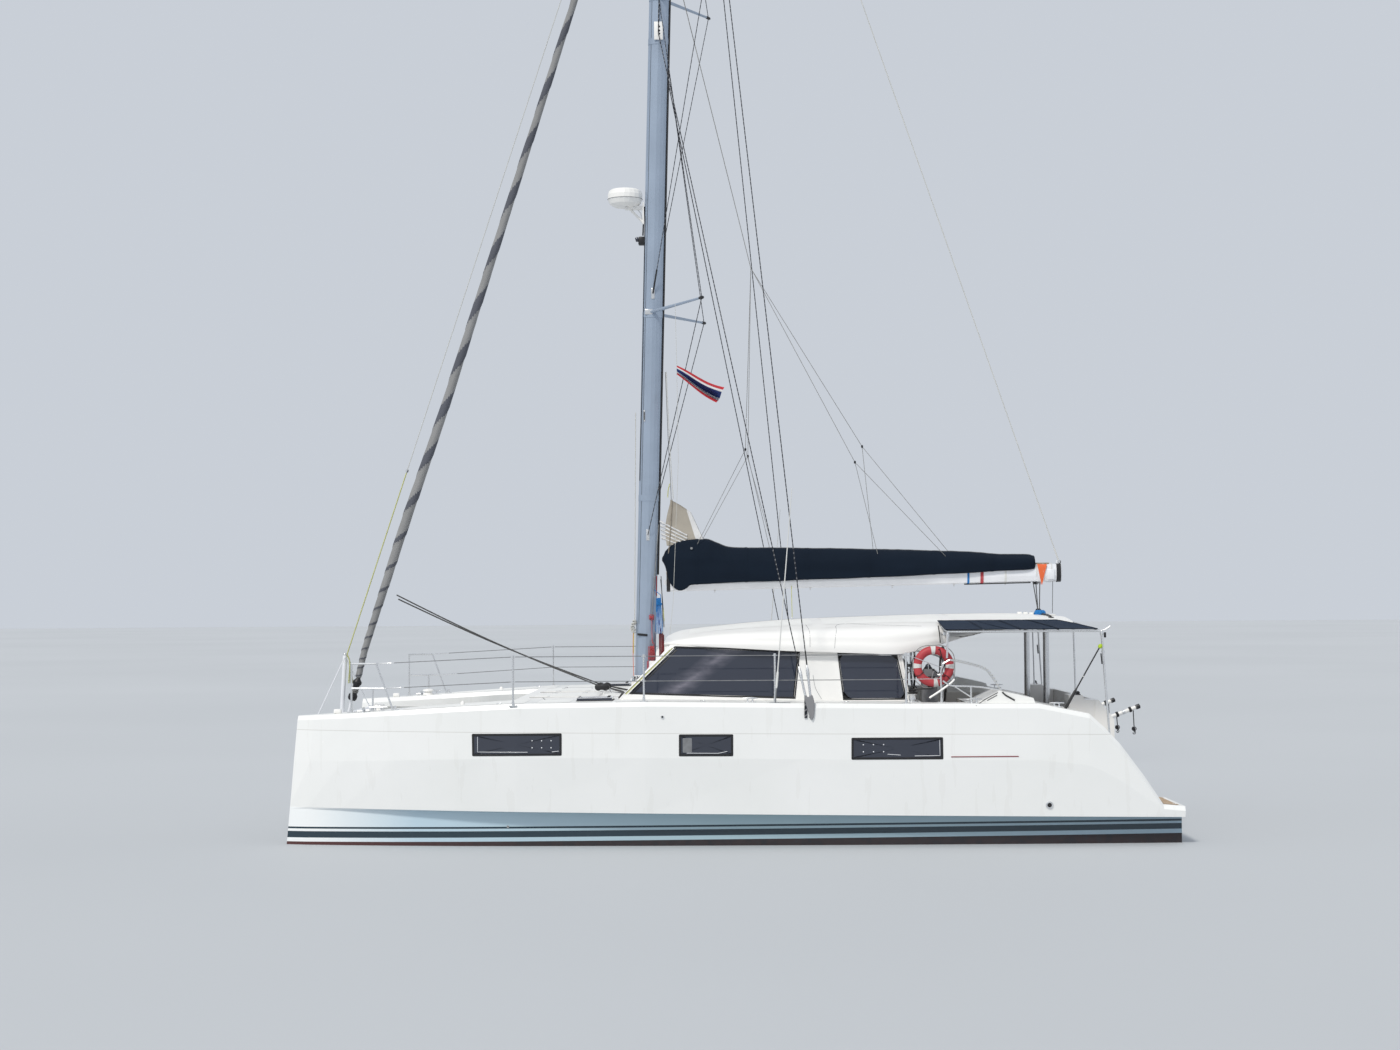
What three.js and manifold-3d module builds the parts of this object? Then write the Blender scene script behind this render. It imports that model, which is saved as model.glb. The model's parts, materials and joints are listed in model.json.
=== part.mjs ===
// Cruising catamaran of 12 m, afloat with her sails stowed.
// Millimetres. +X to the bow, +Y to port, +Z up, origin midships on the waterline.
import * as THREE from 'three';
import { mergeVertices } from 'three/addons/utils/BufferGeometryUtils.js';
import Module from 'manifold-3d';

const wasm = await Module();
wasm.setup();

// Driving dimensions
const GAP = 0.4;
const FAR = 9000;
const HULL_Y = 2600;
const DRAFT = 1350;
const FLOOR_Z = 950;
const WALL = 45;
const SIDES = [['port', 1], ['starboard', -1]];

// Hull stations: x, lowest z, half beam at the waterline, at the chine, outboard and inboard at deck, deck z
const HULL = [
  { x: 5960, keel: -60, water: 18, chine: 24, out: 60, inner: 60, deck: 1720 },
  { x: 5700, keel: -230, water: 92, chine: 112, out: 185, inner: 185, deck: 1732 },
  { x: 5200, keel: -330, water: 180, chine: 225, out: 325, inner: 325, deck: 1755 },
  { x: 4500, keel: -400, water: 280, chine: 360, out: 480, inner: 470, deck: 1795 },
  { x: 3600, keel: -450, water: 370, chine: 500, out: 630, inner: 610, deck: 1850 },
  { x: 2800, keel: -480, water: 420, chine: 590, out: 725, inner: 720, deck: 1890 },
  { x: 1100, keel: -510, water: 470, chine: 690, out: 815, inner: 850, deck: 1910 },
  { x: -1000, keel: -510, water: 490, chine: 725, out: 830, inner: 850, deck: 1880 },
  { x: -2300, keel: -470, water: 490, chine: 725, out: 828, inner: 850, deck: 1866 },
  { x: -4050, keel: -360, water: 470, chine: 710, out: 805, inner: 850, deck: 1856 },
  { x: -4705, keel: -310, water: 455, chine: 695, out: 790, inner: 850, deck: 1720 },
  { x: -4900, keel: -290, water: 448, chine: 690, out: 772, inner: 840, deck: 1540 },
  { x: -5100, keel: -275, water: 440, chine: 685, out: 754, inner: 820, deck: 1330 },
  { x: -5426, keel: -245, water: 425, chine: 675, out: 714, inner: 770, deck: 894 },
  { x: -5675, keel: -225, water: 415, chine: 665, out: 680, inner: 710, deck: 526 },
  { x: -5960, keel: -200, water: 400, chine: 655, out: 668, inner: 680, deck: 500 },
];
const CHINE = { bowZ: 506, sternZ: 360, step: 26, lip: 8 };
const STEM_RAKE = { back: 160, reach: 1500 };
const DECK_EDGE = { drop: 60, inset: 35 };
// Helm seat moulding on the aft deck, seen from the side
const SEAT_HUMP = { profile: [[-3150, 1800], [-3560, 2020], [-4010, 1920], [-4050, 1800]], y: [2180, 3130] };
// Stern steps from the aft deck to the bathing platform: tread z and its two ends
const STEPS = [
  { z: 1440, from: -4080, to: -4760 },
  { z: 1120, from: -4760, to: -5080 },
  { z: 810, from: -5080, to: -5400 },
  { z: 500, from: -5400, to: -6100 },
];
const STEP_Y = [2150, 2950];
const ENGINE_BAY = { x: [-4680, -4140], y: [2290, 2810], floor: 120 };
const ENGINE = { x: [-4640, -4190], y: [2360, 2740], z: [140, 640] };
const HATCH_LID = { x: [-4705, -4115], y: [2250, 2850], thick: 30 };
const KEEL = { x: [1250, -1250], bottomX: [980, -1080], half: 130, bottomHalf: 95 };
const LEG = { x: -4400, half: 40, chord: 150, shaftZ: -720, podR: 62, podX: [-4230, -4590] };
const PROP = { x: -4625, radius: 205, hub: 50, blade: 18 };
const RUDDER = { x: -5020, top: -385, bottom: -1180, lead: 130, trail: 330, half: 32, stock: 26 };

// Side profile of the structure between the hulls, from the stern round the underside to the foredeck
const BRIDGE = [
  [-5100, 900], [-4900, 780], [1200, 730], [2450, 770], [2800, 1050], [2950, 1400], [2950, 1886],
  [2800, 1890], [1100, 1910], [860, 1906], [860, FLOOR_Z], [-4560, FLOOR_Z], [-4560, 1380],
  [-4960, 1380], [-4985, 1845], [-5030, 1845], [-5240, 1580], [-5240, 1150],
];
// Solid ends of the stern seat, which the canopy struts stand on
const SEAT_END = {
  profile: [
    [-4630, 1000], [-4630, 1912], [-4810, 1912], [-4845, 1845], [-5030, 1845], [-5240, 1580],
    [-5240, 1150], [-5150, 1000],
  ],
  top: 1930,
  y: [1650, 2140],
};
const BRIDGE_HALF = 2150;
const MAST_STEP = { x: [965, 1420], half: 240, top: 2070 };
const LOCKER = { x: [1860, 2760], y: [330, 1430], depth: 620, lid: 28, rim: 34 };

// Cabin outline at two heights, port half from the centreline aft: x and y low and high, and the way in
const CABIN = { low: 1860, high: 2640 };
const CABIN_OUTLINE = [
  { low: [930, 0], high: [800, 0], inward: [-1, 0] },
  { low: [930, 1900], high: [800, 1900], inward: [-1, 0] },
  { low: [1540, 2470], high: [790, 2370], inward: [-2.2, -0.2] },
  { low: [1505, 2560], high: [730, 2450], inward: [-1, -1] },
  { low: [900, 2615], high: [520, 2505], inward: [0, -1] },
  { low: [-2430, 2615], high: [-2310, 2505], inward: [0, -1] },
];
// Window openings in the cabin side (x, z) and in its front and after bulkhead (y, z)
const WINDOWS = {
  side_glass_front: [[1330, 2000], [710, 2600], [-940, 2525], [-870, 1925]],
  side_glass_aft: [[-1480, 2500], [-2250, 2475], [-2365, 1905], [-1550, 1905]],
  windscreen: [[90, 1990], [90, 2580], [1780, 2560], [1780, 1990]],
};
const GLASS = { thick: 12, recess: 8, fit: 0.986 };
const OPEN_AFT = -2700;
const BULKHEAD = { x: -1200, half: 25, door: [-20, 900], top: 2480 };
const DOOR = { thick: 30, overlap: 40, clear: 9 };
const BULKHEAD_PANE = { y: [-1560, -160], z: [1250, 2440] };

// Roof stations: x, half width, z of the lower edge, of the shoulder and of the crown
const ROOF = [
  { x: 880, wide: 2300, edge: 2640, shoulder: 2672, crown: 2735 },
  { x: 700, wide: 2440, edge: 2636, shoulder: 2720, crown: 2800 },
  { x: 120, wide: 2590, edge: 2600, shoulder: 2790, crown: 2872 },
  { x: -820, wide: 2630, edge: 2545, shoulder: 2820, crown: 2950 },
  { x: -1940, wide: 2630, edge: 2502, shoulder: 2840, crown: 2990 },
  { x: -2300, wide: 2615, edge: 2490, shoulder: 2845, crown: 3000 },
  { x: -2790, wide: 2470, edge: 2600, shoulder: 2860, crown: 3012 },
  { x: -3430, wide: 2130, edge: 2760, shoulder: 2895, crown: 3020 },
  { x: -4090, wide: 1980, edge: 2830, shoulder: 2915, crown: 3020 },
  { x: -4770, wide: 1900, edge: 2870, shoulder: 2915, crown: 2982 },
];
const ROOF_SHELL = { thick: 70, lip: 60 };

// Rig
const MAST = { footX: 1230, footZ: MAST_STEP.top, headZ: 19200, chord: 150, half: 92, rake: 0.0268 };
const SPREADERS = [
  { rootZ: 7480, tip: [350, 1400, 7500] },
  { rootZ: 12170, tip: [250, 1300, 12200] },
];
const DIAMOND = { low: [4200, 12100], high: [7750, 16150], clear: 30, radius: 6 };
const SHROUDS = {
  cap_shroud: { deck: [-1062, 3438, 1960], mastZ: 18900, back: 120, radius: 7 },
  lower_shroud: { deck: [-998, 3438, 1960], mastZ: 11600, back: 0, radius: 7 },
};
const TURNBUCKLE = { from: -30, to: 400, radius: 14 };
const CHAINPLATE = { half: 18, thick: 7, below: 270, above: 22 };
const STAY = { foot: [5592, 1640], head: [995, 15940] };
const JIB = { from: 0.048, to: 0.975, radius: 72, drumR: 76, drum: [0.016, 0.032] };
const RADAR = { x: 1485, z: 9045, radius: 255, high: 255 };
const CRANE = { x: 330, z: 19060 };

// Boom, with the stowed sail in its bag
const BOOM = { fore: [905, 3500], aft: [-4850, 3610], high: 130, half: 75 };
const GOOSENECK_X = 935;
// Sail bag stations: x, lower z, upper z, half width
const BAG = [
  { x: 925, low: 3740, top: 3955, half: 60 },
  { x: 830, low: 3465, top: 4040, half: 130 },
  { x: 760, low: 3400, top: 4085, half: 150 },
  { x: 690, low: 3386, top: 4105, half: 168 },
  { x: 565, low: 3470, top: 4125, half: 186 },
  { x: 320, low: 3483, top: 4132, half: 200 },
  { x: 0, low: 3492, top: 4014, half: 200 },
  { x: -2600, low: 3575, top: 3950, half: 180 },
  { x: -4380, low: 3655, top: 3872, half: 130 },
  { x: -4470, low: 3668, top: 3856, half: 105 },
];
const SAIL_HEAD = { profile: [[935, 4150], [965, 4360], [870, 4720], [550, 4560], [350, 4150]], half: 60 };

// Foredeck
const CROSSBEAM = { x: 5620, z: 1545, radius: 80 };
const STRIKER = { foot: [5682, 1570], top: [5632, 2470], radius: 32, wire: 8 };
const TRAMPOLINE = { x: [3000, 5500], z: 1610, thick: 8, gap: 55, keel: 150 };
const DECK_HATCH = { x: [1565, 2035], y: [2360, 2840], thick: 38 };

// Guard rail: stanchions, pulpit and helm rail at the deck edge
const RAIL_Y = 3300;
const STANCHIONS = [2840, 1120, -600, -2320];
const RAIL = { top: 2515, mid: 2180, radius: 13, wire: 5 };
const PULPIT = {
  fore: [5080, 2655], top: [4725, 2775], aft: [4468, 2785], lowAft: [4590, 2780], leg: [4780, 2730],
  high: 2415, low: 2085,
};
const HELM_RAIL = [[-2810, 1858], [-2805, 2300], [-2880, 2425], [-3080, 2400], [-3400, 2300], [-3600, 2020]];
const HELM_RAIL_Y = 3010;

// Cockpit and stern
const CANOPY = {
  fore: -2885, aft: -4960, innerY: 1960, outerY: 3000, innerZ: 2925, outerZ: 2815, thick: 10,
  cutInner: -4500, cutOuter: -4880,
};
const STRUT = { x: -4720, radius: 12 };
const POST = { x: -4490, y: 1000, radius: 44, tieZ: 2800 };
const DAVIT = { root: [-5150, 1462], tip: [-5800, 1705], y: 1000, radius: 28 };
const FOOTWELL = { x: [-3140, -2560], y: [1700, 2960], z: 1500 };
const WHEEL = { x: -2890, y: 2420, z: 2200, radius: 380, rim: 16, spokes: 6 };
const PEDESTAL = { x: [-2800, -2640], y: [2270, 2570], top: 2290, slope: 60 };
const TABLE = { x: [-3350, -2350], half: 420, z: 1640, thick: 35 };
const CUSHION = { x: [-4950, -4575], half: 1620, z: [1381, 1480] };
const LIFEBUOY = { x: -2722, y: 2892, z: 2338, ring: 216, tube: 56 };
const LADDER = { x: -5988, z: 534, y: [-2790, -2410], long: 520, radius: 14, rungs: 3 };

// Geometry and solids

const volumeOf = (positions, index) => {
  let sum = 0;
  for (let i = 0; i < index.length; i += 3) {
    const [a, b, c] = [0, 1, 2].map(k => new THREE.Vector3().fromArray(positions, 3 * index[i + k]));
    sum += a.dot(b.cross(c));
  }
  return sum;
};

// A closed geometry becomes a solid: its points merged, its faces turned to point out.
const solid = geometry => {
  const bare = geometry.clone();
  for (const name of Object.keys(bare.attributes)) {
    if (name !== 'position') bare.deleteAttribute(name);
  }
  const merged = mergeVertices(bare, 1e-3);
  const positions = merged.attributes.position.array;
  const all = merged.index.array;
  const index = [];
  for (let i = 0; i < all.length; i += 3) {
    const [a, b, c] = [all[i], all[i + 1], all[i + 2]];
    if (a !== b && b !== c && c !== a) index.push(a, b, c);
  }
  if (volumeOf(positions, index) < 0) index.reverse();
  return new wasm.Manifold(new wasm.Mesh({
    numProp: 3,
    vertProperties: new Float32Array(positions),
    triVerts: new Uint32Array(index),
  }));
};

const geometryOf = body => {
  const mesh = body.getMesh();
  const geometry = new THREE.BufferGeometry();
  geometry.setAttribute('position', new THREE.BufferAttribute(new Float32Array(mesh.vertProperties), 3));
  geometry.setIndex(new THREE.BufferAttribute(new Uint32Array(mesh.triVerts), 1));
  geometry.computeVertexNormals();
  return geometry;
};

const join = (...bodies) => bodies.flat().reduce((whole, body) => whole.add(body));
const cut = (body, ...tools) => tools.flat().reduce((rest, tool) => rest.subtract(tool), body);

const box = ([x0, x1], [y0, y1], [z0, z1]) => {
  const size = [Math.abs(x1 - x0), Math.abs(y1 - y0), Math.abs(z1 - z0)];
  return solid(new THREE.BoxGeometry(...size).translate((x0 + x1) / 2, (y0 + y1) / 2, (z0 + z1) / 2));
};

const point = ([x, y, z]) => new THREE.Vector3(x, y, z);

// A straight round bar from a to b.
const bar = (a, b, radius, sides = 8, endRadius = radius) => {
  const [start, end] = [point(a), point(b)];
  const along = end.clone().sub(start);
  const geometry = new THREE.CylinderGeometry(endRadius, radius, along.length(), sides);
  geometry.translate(0, along.length() / 2, 0);
  geometry.applyQuaternion(new THREE.Quaternion().setFromUnitVectors(
    new THREE.Vector3(0, 1, 0), along.normalize()));
  return solid(geometry.translate(...start.toArray()));
};

// Straight bars through the points, each run a little into the next.
const bars = (points, radius, sides = 8) => {
  const runs = [];
  for (let i = 0; i + 1 < points.length; i++) {
    const [a, b] = [point(points[i]), point(points[i + 1])];
    const reach = b.clone().sub(a).setLength(radius * 0.6);
    if (i > 0) a.sub(reach);
    if (i + 2 < points.length) b.add(reach);
    runs.push(bar(a.toArray(), b.toArray(), radius, sides));
  }
  return join(runs);
};

// A round tube bent smoothly through the points.
const bentTube = (points, radius, steps = 12, sides = 8) => {
  const path = new THREE.CatmullRomCurve3(points.map(point), false, 'catmullrom', 0.25);
  const section = new THREE.Shape(new THREE.EllipseCurve(0, 0, radius, radius).getPoints(sides).slice(0, -1));
  return solid(new THREE.ExtrudeGeometry(section, { steps, extrudePath: path, bevelEnabled: false }));
};

const shapeOf = points => new THREE.Shape(points.map(([u, v]) => new THREE.Vector2(u, v)));
const extrude = (points, depth) =>
  new THREE.ExtrudeGeometry(shapeOf(points), { depth, bevelEnabled: false });

// Outlines drawn in x and z across y, in y and z along x, and in x and y up z.
const across = (points, [y0, y1]) => solid(extrude(points, y1 - y0).rotateX(Math.PI / 2).translate(0, y1, 0));
const forward = (points, [x0, x1]) => {
  const turn = new THREE.Matrix4().makeBasis(
    new THREE.Vector3(0, 1, 0), new THREE.Vector3(0, 0, 1), new THREE.Vector3(1, 0, 0));
  return solid(extrude(points, x1 - x0).applyMatrix4(turn).translate(x0, 0, 0));
};
const upward = (points, [z0, z1]) => solid(extrude(points, z1 - z0).translate(0, 0, z0));

// A closed body through rings of like count, capped flat; the caps are drawn on the two axes named.
const loft = (rings, [u, v]) => {
  const count = rings[0].length;
  const index = [];
  for (let r = 0; r + 1 < rings.length; r++) {
    for (let i = 0; i < count; i++) {
      const a = r * count + i;
      const b = r * count + (i + 1) % count;
      index.push(a, b, b + count, a, b + count, a + count);
    }
  }
  for (const [r, forwards] of [[0, false], [rings.length - 1, true]]) {
    const flat = rings[r].map(p => new THREE.Vector2(p[u], p[v]));
    const turning = THREE.ShapeUtils.area(flat) > 0;
    for (const face of THREE.ShapeUtils.triangulateShape(flat, [])) {
      const same = THREE.ShapeUtils.area(face.map(i => flat[i])) > 0 === turning;
      const [a, b, c] = same === forwards ? face : [...face].reverse();
      index.push(r * count + a, r * count + b, r * count + c);
    }
  }
  const geometry = new THREE.BufferGeometry();
  geometry.setAttribute('position', new THREE.Float32BufferAttribute(rings.flat(2), 3));
  geometry.setIndex(index);
  return solid(geometry);
};

const revolve = (profile, segments) =>
  new THREE.LatheGeometry(profile.map(([r, z]) => new THREE.Vector2(r, z)), segments);

// A ring of round section about the local Y axis.
const ring = (radius, tube, segments, sides) => {
  const section = [];
  for (let i = 0; i <= sides; i++) {
    const turn = (i % sides) * 2 * Math.PI / sides;
    section.push([radius + tube * Math.cos(turn), tube * Math.sin(turn)]);
  }
  return revolve(section, segments);
};

// A column of a table read at x, between its rows.
const at = (table, x, column) => {
  const next = table.findIndex(row => row.x <= x);
  if (next < 0) return table[table.length - 1][column];
  if (next === 0) return table[0][column];
  const [fore, aft] = [table[next - 1], table[next]];
  return THREE.MathUtils.mapLinear(x, fore.x, aft.x, fore[column], aft[column]);
};

const mirrored = points => points.map(([x, y, z]) => [x, -y, z]);
const sided = (body, side) => side > 0 ? body : body.mirror([0, 1, 0]);
const deckZ = x => at(HULL, x, 'deck');
const mastX = z => MAST.footX - MAST.rake * (z - MAST.footZ);
const stayPoint = t => [
  THREE.MathUtils.lerp(STAY.foot[0], STAY.head[0], t), 0, THREE.MathUtils.lerp(STAY.foot[1], STAY.head[1], t),
];

// Hulls, keels and the structure between them

const hullRing = (row, grow) => {
  const chineZ = THREE.MathUtils.mapLinear(row.x, 5960, -5960, CHINE.bowZ, CHINE.sternZ);
  const raked = Math.max(0, 1 - (5960 - row.x) / STEM_RAKE.reach);
  const sideZ = THREE.MathUtils.lerp(chineZ, row.deck, 0.5);
  const innerZ = 0.4 * row.deck;
  const points = [
    [0, row.keel - grow],
    [0.72 * row.water + grow, 0.62 * row.keel - grow],
    [row.water + grow, 0],
    [row.water + CHINE.lip + grow, chineZ - CHINE.step],
    [row.chine + grow, chineZ],
    [THREE.MathUtils.lerp(row.chine, row.out, 0.82) + grow, sideZ],
    [row.out + grow, row.deck - DECK_EDGE.drop],
    [row.out - DECK_EDGE.inset + grow, row.deck + grow],
    [-(row.inner - DECK_EDGE.inset + grow), row.deck + grow],
    [-(row.inner + grow), row.deck - DECK_EDGE.drop],
    [-(THREE.MathUtils.lerp(row.water, row.inner, 0.5) + grow), innerZ],
    [-(row.water + grow), 0],
    [-(0.72 * row.water + grow), 0.62 * row.keel - grow],
  ];
  return points.map(([y, z]) => [
    row.x - raked * STEM_RAKE.back * Math.max(z, 0) / HULL[0].deck, HULL_Y + y, z,
  ]);
};

const hullBody = (grow = 0) => loft(HULL.map(row => hullRing(row, grow)), [1, 2]);

const foil = (x0, x1, half, z, y = HULL_Y) => {
  const shares = [[0, 0], [0.12, 0.75], [0.35, 1], [0.7, 0.62], [1, 0.05]];
  const edge = shares.map(([t, w]) => [THREE.MathUtils.lerp(x0, x1, t), w * half]);
  const outline = [...edge, ...edge.slice(1).reverse().map(([x, w]) => [x, -w])];
  return outline.map(([x, w]) => [x, y + w, z]);
};

const keelBody = () => loft([
  foil(...KEEL.x, KEEL.half, -420), foil(...KEEL.bottomX, KEEL.bottomHalf, -DRAFT),
], [0, 1]);

const stairCut = () => STEPS.map(step => box([step.to, step.from], STEP_Y, [step.z, 2400]));

const portHull = () => {
  const seat = across(SEAT_HUMP.profile, SEAT_HUMP.y);
  const bay = box(ENGINE_BAY.x, ENGINE_BAY.y, [ENGINE_BAY.floor, 2000]);
  const lidSeat = box(HATCH_LID.x, HATCH_LID.y, [STEPS[0].z - HATCH_LID.thick, 2000]);
  const footwell = box(FOOTWELL.x, FOOTWELL.y, [FOOTWELL.z, 2400]);
  const stockBore = bar([RUDDER.x, HULL_Y, -500], [RUDDER.x, HULL_Y, -60], RUDDER.stock + 1, 16);
  return cut(join(hullBody(), keelBody(), seat), stairCut(), bay, lidSeat, footwell, stockBore);
};

const ladderHinge = () => {
  const lug = y => box([LADDER.x - 22, -5940], [y, y + 20], [LADDER.z - 80, LADDER.z + 24]);
  const pin = bar([LADDER.x, -3000, LADDER.z], [LADDER.x, -2000, LADDER.z], LADDER.radius + 1, 12);
  return cut(join(lug(-2720), lug(-2500)), pin);
};

const bridgedeck = hulls => {
  const arm = y => bar([DAVIT.root[0], y, DAVIT.root[1]], [DAVIT.tip[0], y, DAVIT.tip[1]], DAVIT.radius, 12);
  const body = join(
    across(BRIDGE, [-BRIDGE_HALF, BRIDGE_HALF]),
    arm(-DAVIT.y),
    arm(DAVIT.y),
    SIDES.map(([, side]) => sided(across(SEAT_END.profile, SEAT_END.y), side)),
    box(MAST_STEP.x, [-MAST_STEP.half, MAST_STEP.half], [1700, MAST_STEP.top]),
  );
  const lockers = SIDES.map(([, side]) => sided(join(
    box(LOCKER.x, LOCKER.y, [1880 - LOCKER.depth, 2000]),
    box([LOCKER.x[0] - LOCKER.rim, LOCKER.x[1] + LOCKER.rim],
      [LOCKER.y[0] - LOCKER.rim, LOCKER.y[1] + LOCKER.rim], [1886 - LOCKER.lid, 2000]),
  ), side));
  return cut(body, hulls, lockers);
};

const lockerLid = side => sided(box(
  [LOCKER.x[0] - LOCKER.rim + 8, LOCKER.x[1] + LOCKER.rim - 8],
  [LOCKER.y[0] - LOCKER.rim + 8, LOCKER.y[1] + LOCKER.rim - 8], [1891 - LOCKER.lid, 1906]), side);

const engineHatch = side => sided(box(
  [HATCH_LID.x[0] + 8, HATCH_LID.x[1] - 8], [HATCH_LID.y[0] + 8, HATCH_LID.y[1] - 8],
  [STEPS[0].z - HATCH_LID.thick + 5, STEPS[0].z + 6]), side);

const engine = side => sided(box(ENGINE.x, ENGINE.y, ENGINE.z), side);

// The lid of a deck hatch, level with the sloping deck that it closes against.
const deckHatch = side => {
  const [aft, fore] = DECK_HATCH.x;
  const profile = [
    [aft, deckZ(aft) + 5], [fore, deckZ(fore) + 5],
    [fore, deckZ(fore) + DECK_HATCH.thick], [aft, deckZ(aft) + DECK_HATCH.thick],
  ];
  return sided(across(profile, DECK_HATCH.y), side);
};

// Cabin and roof

const cabinRing = (z, inset, aftX) => {
  const t = (z - CABIN.low) / (CABIN.high - CABIN.low);
  const half = CABIN_OUTLINE.map(({ low, high, inward }, i) => {
    const x = THREE.MathUtils.lerp(low[0], high[0], t) + inset * inward[0];
    const y = THREE.MathUtils.lerp(low[1], high[1], t) + inset * inward[1];
    const last = i === CABIN_OUTLINE.length - 1;
    return [last && aftX !== undefined ? aftX : x, y, z];
  });
  return [...half, ...mirrored(half.slice(1)).reverse()];
};

const cabinBlock = (inset, aftX) =>
  loft([cabinRing(1750, inset, aftX), cabinRing(2980, inset, aftX)], [0, 1]);

const roofRing = (row, top, bottom) => {
  const { x, wide, edge, shoulder, crown } = row;
  const upper = [
    [0, crown], [0.55 * wide, crown - 0.25 * (crown - shoulder)], [wide - 190, shoulder],
    [wide - 18, edge + 0.42 * (shoulder - edge)], [wide, edge],
  ].map(([y, z]) => [x, y, z + top]);
  const under = [
    [wide - ROOF_SHELL.lip, edge], [wide - 260, shoulder - ROOF_SHELL.thick],
    [0.55 * wide, crown - 0.25 * (crown - shoulder) - ROOF_SHELL.thick], [0, crown - ROOF_SHELL.thick],
  ].map(([y, z]) => [x, y, z + bottom]);
  const half = [...upper, ...under];
  const mirror = mirrored(half.slice(1, -1)).reverse();
  return [...half, ...mirror];
};

const roofBody = () => loft(ROOF.map(row => roofRing(row, 0, 0)), [1, 2]);

// Everything above the roof's underside, which the walls stop against.
const aboveRoof = () => loft(ROOF.map(row => {
  const under = roofRing(row, 0, -GAP).slice(4, 9);
  const reach = [[row.x, 4000, row.edge - GAP], [row.x, 4000, 4500]];
  const half = [...reach.slice().reverse(), ...under];
  return [...half, ...mirrored(half.slice(0, -1)).reverse()];
}).flatMap((section, i, all) => {
  if (i === 0) return [section.map(([, y, z]) => [1400, y, z]), section];
  return i === all.length - 1 ? [section, section.map(([, y, z]) => [-5200, y, z])] : [section];
}), [1, 2]);

const deckBlock = () => {
  const top = HULL.filter(row => row.x > -4100).map(row => [row.x, row.deck + GAP]);
  return across([[FAR, 0], [FAR, top[0][1]], ...top, [-FAR, top[top.length - 1][1]], [-FAR, 0]], [-FAR, FAR]);
};

const scaled = (points, share) => {
  const centre = [0, 1].map(k => points.reduce((sum, p) => sum + p[k], 0) / points.length);
  return points.map(p => p.map((value, k) => centre[k] + share * (value - centre[k])));
};

const windowHole = (name, side, share = 1) => {
  const outline = scaled(WINDOWS[name], share);
  if (name === 'windscreen') return sided(forward(outline, [500, 1400]), side);
  return sided(across(outline, [2440, 2900]), side);
};

const doorHole = () => box([-1400, -1000], BULKHEAD.door, [0, BULKHEAD.top]);
const paneHole = by => box([-1400, -1000], [BULKHEAD_PANE.y[0] + by, BULKHEAD_PANE.y[1] - by],
  [BULKHEAD_PANE.z[0] + by, BULKHEAD_PANE.z[1] - by]);

const cabinWalls = () => {
  const shell = cut(cabinBlock(0), cabinBlock(WALL, OPEN_AFT), deckBlock());
  const holes = SIDES.flatMap(([, side]) => Object.keys(WINDOWS).map(name => windowHole(name, side)));
  return cut(shell, holes, aboveRoof());
};

// The wall between saloon and cockpit, from the floor to the roof, fitted inside the cabin's sides.
const bulkhead = hulls => {
  const faces = [BULKHEAD.x - BULKHEAD.half, BULKHEAD.x + BULKHEAD.half];
  const upper = box(faces, [-FAR, FAR], [1700, 2980]).intersect(cabinBlock(WALL + GAP, OPEN_AFT));
  const lower = box(faces, [-2050, 2050], [FLOOR_Z + GAP, 1950]);
  return cut(join(cut(upper, deckBlock()), lower), hulls, doorHole(), paneHole(0), aboveRoof());
};

const pane = (name, side) => {
  const skin = cut(cabinBlock(GLASS.recess), cabinBlock(GLASS.recess + GLASS.thick, OPEN_AFT));
  return skin.intersect(windowHole(name, side, GLASS.fit));
};

const bulkheadPane = () => box([BULKHEAD.x - 6, BULKHEAD.x + 6], [-FAR, FAR], [0, 4000])
  .intersect(paneHole(4));

const door = () => {
  const outer = BULKHEAD.x - BULKHEAD.half - DOOR.clear;
  const y = [BULKHEAD.door[0] - DOOR.overlap, BULKHEAD.door[1] + DOOR.overlap];
  const leaf = box([outer - DOOR.thick, outer], y, [FLOOR_Z + 12, BULKHEAD.top + DOOR.overlap]);
  const rail = 75;
  const light = box([outer - DOOR.thick - 10, outer - 18], [y[0] + rail, y[1] - rail],
    [FLOOR_Z + 120, BULKHEAD.top - 40]);
  return cut(leaf, light);
};

// Rig

const mast = () => {
  const lean = Math.atan(MAST.rake);
  const section = new THREE.Shape(
    new THREE.EllipseCurve(0, 0, MAST.chord, MAST.half).getPoints(16).slice(0, -1));
  const length = (MAST.headZ - MAST.footZ) / Math.cos(lean);
  const spar = new THREE.ExtrudeGeometry(section, { depth: length, bevelEnabled: false });
  const tube = solid(spar.rotateY(-lean).translate(MAST.footX, 0, MAST.footZ + 6));
  const spreaders = SPREADERS.flatMap(({ rootZ, tip }) => SIDES.map(([, side]) =>
    bar([mastX(rootZ) + 60, 0, rootZ], [tip[0], side * tip[1], tip[2]], 28, 8, 17)));
  const crane = bar([mastX(CRANE.z), 0, CRANE.z], [CRANE.x, 0, CRANE.z + 20], 32, 6);
  const vane = bar([mastX(MAST.headZ), 0, MAST.headZ - 60], [mastX(MAST.headZ) + 60, 0, 19880], 9, 6);
  const tangZ = SHROUDS.lower_shroud.mastZ;
  const tangs = SIDES.map(([, side]) => box([mastX(tangZ) - 60, mastX(tangZ) + 60],
    [side * 60, side * (MAST.half + 14)], [tangZ - 80, tangZ + 160]));
  const foot = box([MAST.footX - 190, MAST.footX + 190], [-120, 120],
    [MAST.footZ + GAP, MAST.footZ + 40]);
  const level = box([-FAR, FAR], [-FAR, FAR], [0, MAST.footZ + GAP]);
  return cut(join(tube, spreaders, crane, vane, tangs, foot), level);
};

// From the mast over a spreader's tip and back to the mast
const diamond = (ends, { tip }, off, side) => {
  const [foot, head] = ends.map((z, i) => [mastX(z), side * (MAST.half + off[i]), z]);
  return bars([foot, [tip[0] - 4, side * (tip[1] + DIAMOND.clear), tip[2]], head], DIAMOND.radius, 6);
};

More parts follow.
